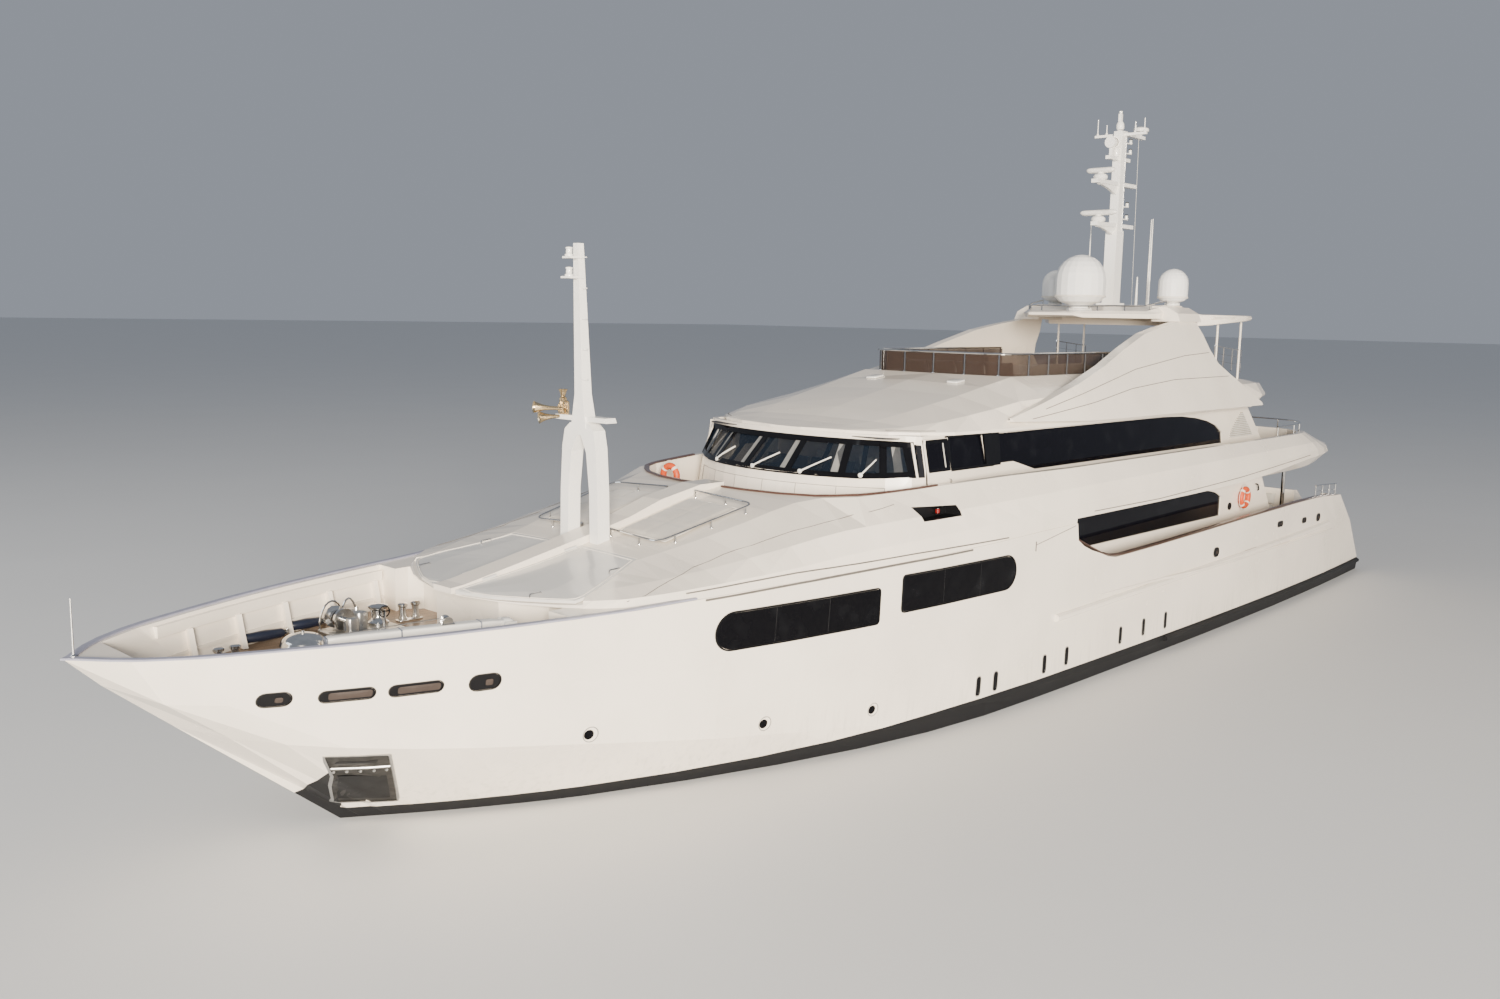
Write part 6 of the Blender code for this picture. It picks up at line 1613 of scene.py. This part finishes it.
CRANE_PIVOT = np.array([15.85, 2.3, 3.7])
CRANE_TIP = np.array([18.9, 1.4, 3.7])


def along_boom(part):
    """Carry a part from the boom's own frame, distance from the pivot first, to the ship."""
    reach = CRANE_TIP - CRANE_PIVOT
    angle = math.degrees(math.atan2(reach[1], reach[0]))
    return moved(turned_part(part, angle, (0, 0, 1)), CRANE_PIVOT)


def crane_details():
    """Boom: box beam tapered below with a rounded heel, its end plate and two bands, and its pin, sheave,
    hook, winch and line; laid out along X and turned to the crane's place."""
    length = float(np.linalg.norm(CRANE_TIP - CRANE_PIVOT))
    x = np.array([0.16, 0.3, 0.8, 1.8, length - 0.25, length - 0.06, length - 0.02])
    half = np.array([0.1, 0.135, 0.14, 0.135, 0.125, 0.12, 0.1])
    top = np.array([0.12, 0.14, 0.142, 0.142, 0.14, 0.135, 0.12])
    low = np.array([-0.11, -0.138, -0.14, -0.12, -0.098, -0.095, -0.08])
    heel = lathe([(0.0, -0.13), (0.12, -0.13), (0.142, -0.1), (0.142, 0.1), (0.12, 0.13), (0.0, 0.13)],
                 (0, 0, 0), "Y", 28)
    neck = brick((0.0, -0.1, -0.1), (0.3, 0.1, 0.12), 0.02)
    beam = merged(box_beam(x, half, low, top, 0.035), heel, neck)
    end = brick((length - 0.05, -0.118, -0.09), (length - 0.004, 0.118, 0.13), 0.02, 0.03)
    caps = [brick((a, -0.142, -0.135), (a + 0.03, 0.142, 0.144), 0.006, 0.03) for a in (0.5, 1.9)]
    pin = lathe([(0, -0.155), (0.06, -0.155), (0.07, -0.145), (0.07, 0.145), (0.06, 0.155), (0, 0.155)],
                (0, 0, 0), "Y", 16)
    sheave = lathe([(0.0, -0.04), (0.085, -0.04), (0.07, -0.01), (0.07, 0.01), (0.085, 0.04), (0.0, 0.04)],
                   (length - 0.12, 0, -0.12), "Y", 20)
    a = arc(12, -120, 130, closed=False)
    hook = tube(np.column_stack([length - 0.12 + np.cos(a) * 0.05, np.zeros(12), -0.26 + np.sin(a) * 0.05]),
                0.014, 8)
    winch = merged(lathe([(0, -0.1), (0.09, -0.1), (0.09, -0.08), (0.06, -0.07), (0.06, 0.07), (0.09, 0.08),
                          (0.09, 0.1), (0, 0.1)],
                         (1.1, 0, 0.2), "Y", 20), brick((0.98, -0.11, 0.138), (1.22, 0.11, 0.17), 0.01))
    line = tube([(1.1, 0.0, 0.26), (length - 0.12, 0.0, 0.15)], 0.008, 6)
    return (along_boom(beam), along_boom(merged(end, *caps)),
            along_boom(merged(pin, sheave, hook, winch, line)))


def crane_post_details():
    """Base flange of the crane's post, and its bolts."""
    x, y = CRANE_PIVOT[:2]
    flange = lathe([(0.1, 0), (0.24, 0), (0.24, 0.03), (0.17, 0.06), (0.165, 0.12), (0.1, 0.12)],
                   (x, y, WELL_DECK + 0.003), "Z", 28)
    bolts = [lathe([(0, 0), (0.022, 0), (0.022, 0.025), (0, 0.03)],
                   (x + math.cos(a) * 0.205, y + math.sin(a) * 0.205,
             WELL_DECK + 0.03), "Z", 6) for a in arc(10)]
    return flange, merged(*bolts)


# Stern

def stern_details():
    """Handles, hinge knuckles and panel seams of the transom door, set out along its raking face."""
    top, low = np.array([-20.78, 0.0, 1.98]), np.array([-22.0, 0.0, 0.65])
    along = unit(low - top)
    out = np.array([along[2], 0.0, -along[0]])
    bright, seams = [], []
    for y in (-1.5, -0.5, 0.5, 1.5):
        place = top + along * 0.06 + [0, y, 0]
        bright.append(tube([place - [0, 0.12, 0], place + [0, 0.12, 0]], 0.02, 10))
    for y in (-1.2, 1.2):
        place = top + along * 1.5 + out * 0.008 + [0, y, 0]
        bright.append(tube(rounded_path([place - [0, 0.16, 0], place - [0, 0.16, 0] + out * 0.05,
                                         place + [0, 0.16, 0] + out * 0.05, place + [0, 0.16, 0]], 0.03, 4),
                           0.014, 8))
    for t in (0.16, 1.62):
        a, b = top + along * t + [0, -2.24, 0], top + along * t + [0, 2.24, 0]
        seams.append(tube([a, b], 0.008, 6))
    for y in (-2.24, 0.0, 2.24):
        seams.append(tube([top + along * 0.16 + [0, y, 0], top + along * 1.62 + [0, y, 0]], 0.008, 6))
    return each_merged(bright, seams)


def platform_details():
    """Cleats of the bathing platform: a tapered horn on two turned feet."""
    cleats = []
    for y in (-4.0, 4.0):
        for dx in (-0.09, 0.09):
            cleats.append(lathe([(0, 0), (0.035, 0), (0.022, 0.04), (0.025, 0.08), (0, 0.085)],
                                (-21.6 + dx, y, 0.462), "Z", 12))
        horn_path = np.array([(-21.82, y, 0.555), (-21.7, y, 0.55), (-21.6, y, 0.545), (-21.5, y, 0.55),
                              (-21.38, y, 0.555)])
        cleats.append(tube(horn_path, np.array([0.012, 0.024, 0.028, 0.024, 0.012]), 10))
    return merged(*cleats)


# Hull lines

UPPER_GROOVE = ((12.84, 4.08), (11.52, 4.15), (10.27, 4.20), (8.62, 4.21), (6.77, 4.23), (3.46, 4.22))
LOWER_GROOVE = ((12.53, 3.97), (10.27, 4.04), (8.03, 4.09), (4.91, 4.13))


def hull_lines():
    """Grooves, panel seams and the shelf line of the port side, round lines laid on the surface: the grooves,
    the shelf line and the line under the wing are painted shadow, the panel seams dark joints.
    """
    lines = (("foredeck", UPPER_GROOVE, 0.016), ("hull", [(x, z - 0.03) for x, z in LOWER_GROOVE], 0.024),
             ("hull", [(2.3, 3.91), (0.47, 4.19)], 0.009), ("hull", [(2.3, 3.76), (2.301, 4.0)], 0.02),
             ("upper_deck", [(-0.45, 4.47), (-4.07, 4.46), (-9.43, 4.62), (-15.41, 4.9)], 0.012),
             ("foredeck", [(13.94, 4.02), (11.28, 4.55), (9.49, 4.87), (6.82, 5.23)], 0.008),
             ("sun_deck", [(5.25, 6.66), (4.4, 6.66)], 0.012))
    return both(merged(*[side_line(node, line, radius) for node, line, radius in lines]))


def rubbing_strips():
    """Rubbing strakes along the after topsides, half-round and faired in at both ends."""
    line = dense(np.array([(-18.6, 0, 2.02), (-12.0, 0, 2.06), (-6.0, 0, 2.12), (-1.0, 0, 2.2)]), 0.4)
    t = np.linspace(0, 1, len(line))
    y = side_of("hull", line[:, 0], line[:, 2])
    return both(tube(np.column_stack([line[:, 0], y, line[:, 2]]),
                     0.012 + 0.034 * np.clip(1 - (2 * t - 1) ** 10, 0, 1), 8))


def nav_lights():
    """Side lamps in their recesses on the bridge front: a dark tray, the lens and its guard."""
    loop = np.array([(5.08, 4.88), (6.34, 4.85), (6.43, 5.15), (5.09, 5.11)])
    middle = loop.mean(axis=0)
    loop = closed_loop(loop, 0.1)

    def ring(share, y):
        """The tray's outline drawn in by a share, at a breadth."""
        flat = middle + (loop - middle) * share
        return np.column_stack([flat[:, 0], np.broadcast_to(y, len(flat)), flat[:, 1]])

    outer = middle + (loop - middle) * 1.06
    edge = side_of("foredeck", outer[:, 0], outer[:, 1]) - 0.02
    tray = skin([ring(0.985, 4.204), ring(0.985, edge), ring(0.95, edge), ring(0.95, 4.215)])
    y = 4.215
    guard = [brick((5.42, y, 4.92), (5.66, y + 0.14, 4.94), 0.008),
             brick((5.42, y, 5.05), (5.66, y + 0.14, 5.07), 0.008)]
    lens = lathe([(0, 0), (0.05, 0), (0.055, 0.05), (0.05, 0.1), (0, 0.1)], (5.54, y + 0.07, 4.945), "Z", 16)
    return both(merged(tray, *guard)), lens, mirrored(lens)


# Interior of the wheelhouse: helm chairs

def helm_chairs():
    """Two helm chairs: pedestals with foot rings and arm rests, padded seats and backs."""
    pedestal, pads = [], []
    for y in (-0.7, 0.7):
        pedestal.append(lathe([(0, 0.004), (0.26, 0.004), (0.25, 0.03), (0.08, 0.07), (0.06, 0.1),
                               (0.055, 0.46), (0.1, 0.5),
                               (0.0, 0.505)], (3.8, y, UPPER_DECK), "Z", 20))
        ring = np.column_stack([3.86 + np.cos(arc(20)) * 0.2, y + np.sin(arc(20)) * 0.2,
                                np.full(20, UPPER_DECK + 0.24)])
        pedestal.append(tube(ring, 0.014, 8, closed=True))
        for dy in (-0.29, 0.29):
            pedestal.append(tube(rounded_path([(3.6, y + dy, UPPER_DECK + 0.56),
                                               (3.6, y + dy, UPPER_DECK + 0.8),
                                               (3.95, y + dy, UPPER_DECK + 0.8)], 0.06), 0.022, 8))
        pads.append(cushion((3.78, y, UPPER_DECK + 0.5), (0.5, 0.52, 0.12), 0.03))
        back = turned_part(cushion((0, 0, 0), (0.62, 0.5, 0.12), 0.035, (3, 1)), 98, (0, 1, 0))
        pads.append(moved(back, (3.52, y, UPPER_DECK + 0.9)))
    return each_merged(pedestal, pads)


def pad_plan():
    """Middle and size of the port sunpad, just inside its node's box."""
    low, high = node_box("sunpad_port")
    middle = (low + high) / 2
    return (middle[0], middle[1], 0), (high[0] - low[0] - 0.02, high[1] - low[1] - 0.02, 0.11)


def sun_pads(side):
    """Sunpad sewn in three lengths and two widths, laid on the slope of the foredeck."""
    return on_side(laid(cushion(*pad_plan(), 0.02, (3, 2)), "foredeck", 0.003), side)


def piping_line(side):
    """Welt round a sunpad, laid on the foredeck's slope with it."""
    verts, faces = piping(*pad_plan(), 0.012, 0.01)
    verts[:, 2] += top_of("foredeck", verts[:, 0], verts[:, 1], 3.0, 7.0) + 0.012
    return on_side((verts, faces), side)


# Properties of the add-on

class YachtColours(bpy.types.PropertyGroup):
    """Paint and canvas colours."""

    paint: bpy.props.FloatVectorProperty(name="Paint", description="Warm white of hull and upperworks",
                                         size=3,
                                         default=WHITE, min=0, max=1, subtype='COLOR')
    lids: bpy.props.FloatVectorProperty(name="Lids", description="Slightly greyer white of the hatch lids",
                                        size=3, default=(0.66, 0.64, 0.60), min=0, max=1, subtype='COLOR')
    pads: bpy.props.FloatVectorProperty(name="Pads", description="Canvas of the sunpads", size=3,
                                        default=(0.50, 0.46, 0.40), min=0, max=1, subtype='COLOR')


class YachtView(bpy.types.PropertyGroup):
    """Camera fitted to the photograph."""

    place: bpy.props.FloatVectorProperty(name="Place", description="Camera's place beside the model", size=3,
                                         default=(14.5751, 10.41695, 4.64495), subtype='TRANSLATION',
                                         unit='LENGTH')
    heading: bpy.props.FloatProperty(name="Heading",
                                     description="Direction of view, from aft towards starboard",
                                     default=math.radians(46.555), subtype='ANGLE')
    pitch: bpy.props.FloatProperty(name="Pitch", description="Angle of view below the level", subtype='ANGLE',
                                   default=math.radians(8.214))
    roll: bpy.props.FloatProperty(name="Roll", description="Camera's turn about its own axis",
                                  subtype='ANGLE',
                                  default=math.radians(1.028))
    lens: bpy.props.FloatProperty(name="Lens", description="Focal length on a 36 mm sensor, in millimetres",
                                  default=30.7656, min=1)


class YachtLight(bpy.types.PropertyGroup):
    """Soft studio light."""

    key: bpy.props.FloatProperty(name="Key", description="Power of the large light off the port bow",
                                 default=84000,
                                 unit='POWER')
    fill: bpy.props.FloatProperty(name="Fill", description="Power of the light on the other side",
                                  default=3000,
                                  unit='POWER')
    sky: bpy.props.FloatProperty(name="Sky", description="Strength of the even light all round", default=0.36,
                                 min=0)


class MakeFinishes(bpy.types.Operator):
    """Make the materials and give them to the frame's own nodes"""

    bl_idname = "yacht.finishes"
    bl_label = "Finishes"

    def execute(self, context):
        make_finishes(context.scene.yacht_colours)
        dress("hull_paint", "hull", "transom_door")
        dress("deck_paint", "upper_deck", "sun_deck", "upper_house", "main_house", "wheelhouse_door_port",
              "wheelhouse_door_starboard", "arch_wing_port", "arch_wing_starboard", "hardtop")
        dress("shell_paint", "wheelhouse_shell")
        dress("top_paint", "foredeck")
        dress("mast_paint", "main_mast", "foremast", "crane_post", "crane_boom")
        dress("dome_paint", "large_dome", "small_dome_port", "small_dome_starboard", "rudder_port",
              "rudder_starboard")
        dress("lid_paint", "hatch_lid_port", "hatch_lid_starboard")
        dress("bright_steel", "well_hatch", "jackstaff", "aft_column_port", "aft_column_starboard")
        dress("propeller_bronze", "propeller_port", "propeller_starboard")
        dress("pilot_glass", "wheelhouse_glass")
        dress("cabin_glass", "upper_windows_port", "upper_windows_starboard", "saloon_windows_port",
              "saloon_windows_starboard", "saloon_door_port", "saloon_door_starboard", "upper_aft_door",
              "bridge_window_port", "bridge_window_starboard")
        dress("screen_glass", "sundeck_screen")
        return {'FINISHED'}


class MakeHull(bpy.types.Operator):
    """Add the hull's windows, ports, fairleads, anchor pockets and seams"""

    bl_idname = "yacht.hull"
    bl_label = "Hull Fittings"

    def execute(self, context):
        put_each(map(both, hull_windows()), hull_window_glass="hull_glass", hull_window_frames="black_gloss",
                 hull_window_bars="black_trim_and_shade")
        put_each(map(both, ports()), port_glass="hull_glass", port_rims="bright_steel")
        leads = zip(*[fairlead(*opening) for opening in BOW_OPENINGS + AFT_OPENINGS])
        # the fairleads' mouths are black plates of painted shade in the openings
        put_each([both(merged(*parts)) for parts in leads], fairlead_mouths="black_trim_and_shade",
                 fairlead_rims="dark_steel", fairlead_rollers="roller_grey")
        # the anchor pockets' mouths and slots are black plates of painted shade
        put_each(map(both, anchor_pocket()), anchor_plates="dark_steel", anchor_rims="brushed_steel",
                 anchor_mouths="black_trim_and_shade")
        # hull lines: painted shadow of grooves, shelf and wing gap, with the dark joints of panel seams
        put("hull_seams", hull_lines(), "seam_and_shadow_grey")
        put("rubbing_strips", rubbing_strips(), "top_paint")
        return {'FINISHED'}


class MakeBow(bpy.types.Operator):
    """Add the bow's cap rail, bulwark frames, mooring gear, lids' details and crane"""

    bl_idname = "yacht.bow"
    bl_label = "Bow Gear"

    def execute(self, context):
        # the cap rail's bluish grey is painted shade
        put("cap_rail", cap_rail(), "rail_painted_shade_lilac")
        put("bulwark_frames", well_frames(), "top_paint")
        put_each(roller_fairleads(), mooring_rollers="roller_rubber", roller_mounts="bright_steel")
        put("bollards", bollards(), "bright_steel")
        put_each(windlass_parts(), replaces=("windlass",), windlass_bed="brushed_steel",
                 windlass_drums="bright_steel", windlass_brakes="black_trim_and_shade")
        put("anchor_chain", chain_run(), "brushed_steel")
        put("well_dome", dome_hatch(), "bright_steel", replaces=("well_hatch",))
        for _, suffix in SIDES:
            seam, bright = lid_details("hatch_lid_" + suffix)
            put("lid_seam_" + suffix, seam, "pale_band", "hatch_lid_" + suffix)
            put("lid_handles_" + suffix, bright, "bright_steel", "hatch_lid_" + suffix)
        put_each(crane_details(), "crane_boom", ("crane_boom",), crane_beam="mast_paint",
                 crane_caps="grey_trim", crane_gear="bright_steel")
        put_each(crane_post_details(), crane_flange="mast_paint", crane_bolts="bright_steel")
        return {'FINISHED'}


class MakeRails(bpy.types.Operator):
    """Add the rails, wind screen posts and varnished caps"""

    bl_idname = "yacht.rails"
    bl_label = "Rails and Caps"

    def execute(self, context):
        for side, suffix in SIDES:
            rail = stanchion_rail(sunpad_rail_path(side), 0.16, 0.02, 0.9)
            put("pad_rail_" + suffix, rail, "bright_steel", replaces=("sunpad_rail_" + suffix,))
        put("screen_posts", screen_posts(), "bright_steel", replaces=("screen_rail",))
        put("upper_rail", upper_aft_rail(), "bright_steel", replaces=("upper_aft_rail",))
        put("stern_rails", both(stern_rails()), "bright_steel",
            replaces=("aft_rail_port", "aft_rail_starboard"))
        put("varnished_caps", wood_caps(), "cap_wood")
        return {'FINISHED'}


class MakeWheelhouse(bpy.types.Operator):
    """Add the wheelhouse's window frames, wipers, doors' details and helm"""

    bl_idname = "yacht.wheelhouse"
    bl_label = "Wheelhouse"

    def execute(self, context):
        put("windscreen_frames", window_frames(), "black_gloss")
        put("strip_infill", strip_infill(), "black_gloss")
        put("windscreen_posts", upright_bars((-7.6, 7.6), 5.63, 6.42, 0.028, -0.01, 0.03), "top_paint")
        put("locker_seams", locker_seams(), "seam_and_shadow_grey")
        arms, blades = wipers()
        put("wiper_arms", arms, "white_plastic")
        put("wiper_blades", blades, "pale_band")
        # the bridge's linings are near-black painted shade for the dim inside of the wheelhouse
        put("bridge_linings", bridge_linings(), "cabin_dark_and_shade")
        for side, suffix in SIDES:
            pane, surround, pillar, handle = door_dressing(side)
            body = "wheelhouse_door_" + suffix
            put("bridge_door_pane_" + suffix, pane, "cabin_glass", body)
            put("bridge_door_frame_" + suffix, surround, "black_gloss", body)
            put("bridge_door_pillar_" + suffix, pillar, "cabin_pale", body)
            put("bridge_door_handle_" + suffix, handle, "bright_steel", body)
        put_each(helm_station(), replaces=("helm_console",), helm_moulding="cabin_dark_and_shade",
                 helm_screens="screen_black", helm_wheel="bright_steel")
        pedestals, pads = helm_chairs()
        put("helm_pedestals", pedestals, "bright_steel", replaces=("helm_seats",))
        puffed(put("helm_pads", pads, "cream_canvas"))
        put("cabin_linings", cabin_columns(), "cabin_pale")
        put("pale_pillars", pale_pillars(), "white_plastic")
        put_each(nav_lights(), nav_housings="black_trim_and_shade", nav_lens_port="lens_red",
                 nav_lens_starboard="lens_green")
        return {'FINISHED'}


class MakeMasts(bpy.types.Operator):
    """Add the masts' lights, horns, scanners and aerials, and the domes' bands"""

    bl_idname = "yacht.masts"
    bl_label = "Masts and Aerials"

    def execute(self, context):
        put_each(signal_mast_fittings(), horns="horn_brass", signal_fittings="mast_paint",
                 signal_lenses="lens_clear")
        put_each(mast_fittings(), mast_fittings="mast_paint", mast_lenses="lens_clear",
                 mast_ladder="bright_steel", mast_lamp_caps="black_trim_and_shade")
        for node, place, length in (("radar_lower", (-8.8, 0, 12.6), 1.3),
                                    ("radar_upper", (-8.8, 0, 13.92), 1.0)):
            put(node + "_scanner", radar_bar(place, length), "white_plastic", node, replaces=(node,))
        put("whips", whip_aerials(), "white_plastic")
        put("halyard", halyard(), "rope_white")
        put_each(dome_bands(), dome_bands="pale_band", dome_feet="white_plastic")
        put("hardtop_rail", hardtop_rail(), "bright_steel")
        # painted shade along the wings' creases
        put("wing_seams", wing_seams(), "seam_and_shadow_grey")
        return {'FINISHED'}


class MakeDecks(bpy.types.Operator):
    """Add the lifebuoys, louvres and the stern's fittings"""

    bl_idname = "yacht.decks"
    bl_label = "Deck Fittings"

    def execute(self, context):
        rings, bands = zip(lifebuoy((6.97, -3.0, 5.18), "X", 0.25), lifebuoy((-12.1, 4.02, 3.66), "Y"),
                           lifebuoy((-12.1, -4.02, 3.66), "Y"))
        put("lifebuoys", merged(*rings), "life_orange")
        put("lifebuoy_bands", merged(*bands), "pale_band")
        # the louvres' backing plate is painted shade behind the slats
        put_each(louvres(), louvres="white_plastic", louvre_shade="painted_shade_cream")
        put("house_fittings", house_fittings(), "black_trim_and_shade")
        put("awning", awning(), "top_paint")
        put("awning_rail", awning_rail(), "bright_steel")
        put("roof_hatches", roof_hatches(), "white_plastic")
        put_each(stern_details(), "transom_door", transom_handles="bright_steel", transom_seams="seam_and_shadow_grey")
        put("platform_cleats", platform_details(), "bright_steel")
        return {'FINISHED'}


class MakeSeats(bpy.types.Operator):
    """Add the sunpads, sofas and tables"""

    bl_idname = "yacht.seats"
    bl_label = "Seats and Pads"

    def execute(self, context):
        for side, suffix in SIDES:
            pad = puffed(put("sun_cushion_" + suffix, sun_pads(side), "pad_canvas",
                             replaces=("sunpad_" + suffix,)))
            put("sun_cushion_welt_" + suffix, piping_line(side), "pale_band")
        for name, deck, back, count, cover, shorter in (("sundeck_sofa", SUN_DECK, 1, 4, "taupe_cover", 1.0),
                                                        ("aft_sofa", MAIN_DECK, -1, 5, "cream_canvas", 0.0),
                                                        ("upper_aft_sofa", UPPER_DECK, -1, 3, "taupe_cover",
                                                         0.0)):
            low, high = node_box(name)
            plinth, pads = sofa(low[:2] + [shorter, 0], high[:2], deck, back, count)
            put(name + "_plinth", plinth, "furniture_wood", replaces=(name,))
            puffed(put(name + "_cushions", pads, cover))
        put_each(table((-15.0, 0.0), (1.0, 2.0), UPPER_DECK), upper_table="furniture_wood",
                 upper_table_legs="bright_steel")
        return {'FINISHED'}


MODEL_MIDDLE = Vector((0, 0, 2))


def make_floor(scene, reach=400):
    """Plain square floor at the waterline, far wider than the view."""
    mesh = bpy.data.meshes.new("floor")
    mesh.from_pydata([(-reach, -reach, 0), (reach, -reach, 0), (reach, reach, 0), (-reach, reach, 0)], [],
                     [(0, 1, 2, 3)])
    shader = Shader("floor_grey", roughness=0.6)
    tone = shader.noise(3.0, 3.0)
    mesh.materials.append(shader.done(base_color=shader.mix(tone, (0.7, 0.7, 0.69), (0.67, 0.67, 0.66))))
    floor = bpy.data.objects.new("floor", mesh)
    scene.collection.objects.link(floor)


def make_sky(scene, strength):
    """Even, slightly blue light all round."""
    world = bpy.data.worlds.new("studio")
    world.use_nodes = True
    background = world.node_tree.nodes["Background"]
    background.inputs["Color"].default_value = (0.80, 0.87, 1.0, 1)
    background.inputs["Strength"].default_value = strength
    scene.world = world


def make_light(scene, name, place, size, power, colour):
    """Square area light that faces the middle of the model."""
    data = bpy.data.lights.new(name, 'AREA')
    data.size, data.energy, data.color = size, power, colour
    light = bpy.data.objects.new(name, data)
    light.location = place
    light.rotation_euler = (MODEL_MIDDLE - Vector(place)).to_track_quat('-Z', 'Y').to_euler()
    scene.collection.objects.link(light)


def make_camera(scene, view):
    """Camera turned by its heading in plan, then its pitch below the level, then its roll."""
    camera = bpy.data.cameras.new("camera")
    camera.lens, camera.sensor_width, camera.clip_end = view.lens, 36, 1000
    shot = bpy.data.objects.new("camera", camera)
    level = Vector((-math.sin(view.heading), -math.cos(view.heading), 0))
    right = Vector((-math.cos(view.heading), math.sin(view.heading), 0))
    ahead = level * math.cos(view.pitch) - Vector((0, 0, 1)) * math.sin(view.pitch)
    up = right.cross(ahead)
    across = right * math.cos(view.roll) + up * math.sin(view.roll)
    upright = up * math.cos(view.roll) - right * math.sin(view.roll)
    turn = Matrix((across, upright, -ahead)).transposed().to_4x4()
    shot.matrix_world = Matrix.Translation(Vector(view.place)) @ turn
    scene.collection.objects.link(shot)
    scene.camera = shot


class MakeStage(bpy.types.Operator):
    """Add the floor at the waterline, the light and the camera"""

    bl_idname = "yacht.stage"
    bl_label = "Stage"

    def execute(self, context):
        scene, light = context.scene, context.scene.yacht_light
        for name in ("Cube", "Light", "Camera"):
            if name in bpy.data.objects:
                bpy.data.objects.remove(bpy.data.objects[name])
        make_floor(scene)
        make_sky(scene, light.sky)
        make_light(scene, "key", (36, 38, 10.5), 13, light.key, (1.0, 0.91, 0.79))
        make_light(scene, "fill", (30, -14, 14), 18, light.fill, (0.9, 0.95, 1.0))
        make_camera(scene, scene.yacht_view)
        return {'FINISHED'}


STEPS = (MakeFinishes, MakeHull, MakeBow, MakeRails, MakeWheelhouse, MakeMasts, MakeDecks, MakeSeats,
         MakeStage)


class YachtPanel(bpy.types.Panel):
    """Sidebar panel with the properties and one button for each step."""

    bl_idname = "VIEW3D_PT_yacht"
    bl_label = "Motor Yacht"
    bl_space_type = 'VIEW_3D'
    bl_region_type = 'UI'
    bl_category = "Yacht"

    def draw(self, context):
        for group in (context.scene.yacht_colours, context.scene.yacht_view, context.scene.yacht_light):
            for key in group.__annotations__:
                self.layout.prop(group, key)
        for step in STEPS:
            self.layout.operator(step.bl_idname)


GROUPS = {"yacht_colours": YachtColours, "yacht_view": YachtView, "yacht_light": YachtLight}


def register():
    """Add the classes, and the groups of properties to the scene."""
    for cls in (*GROUPS.values(), *STEPS, YachtPanel):
        bpy.utils.register_class(cls)
    for name, group in GROUPS.items():
        setattr(bpy.types.Scene, name, bpy.props.PointerProperty(type=group))


def unregister():
    """Take the groups and classes away again."""
    for name in GROUPS:
        delattr(bpy.types.Scene, name)
    for cls in (YachtPanel, *reversed(STEPS), *reversed(GROUPS.values())):
        bpy.utils.unregister_class(cls)


def main():
    """Run every step in order."""
    register()
    for step in STEPS:
        family, name = step.bl_idname.split(".")
        getattr(getattr(bpy.ops, family), name)()


if __name__ == "__main__":
    main()
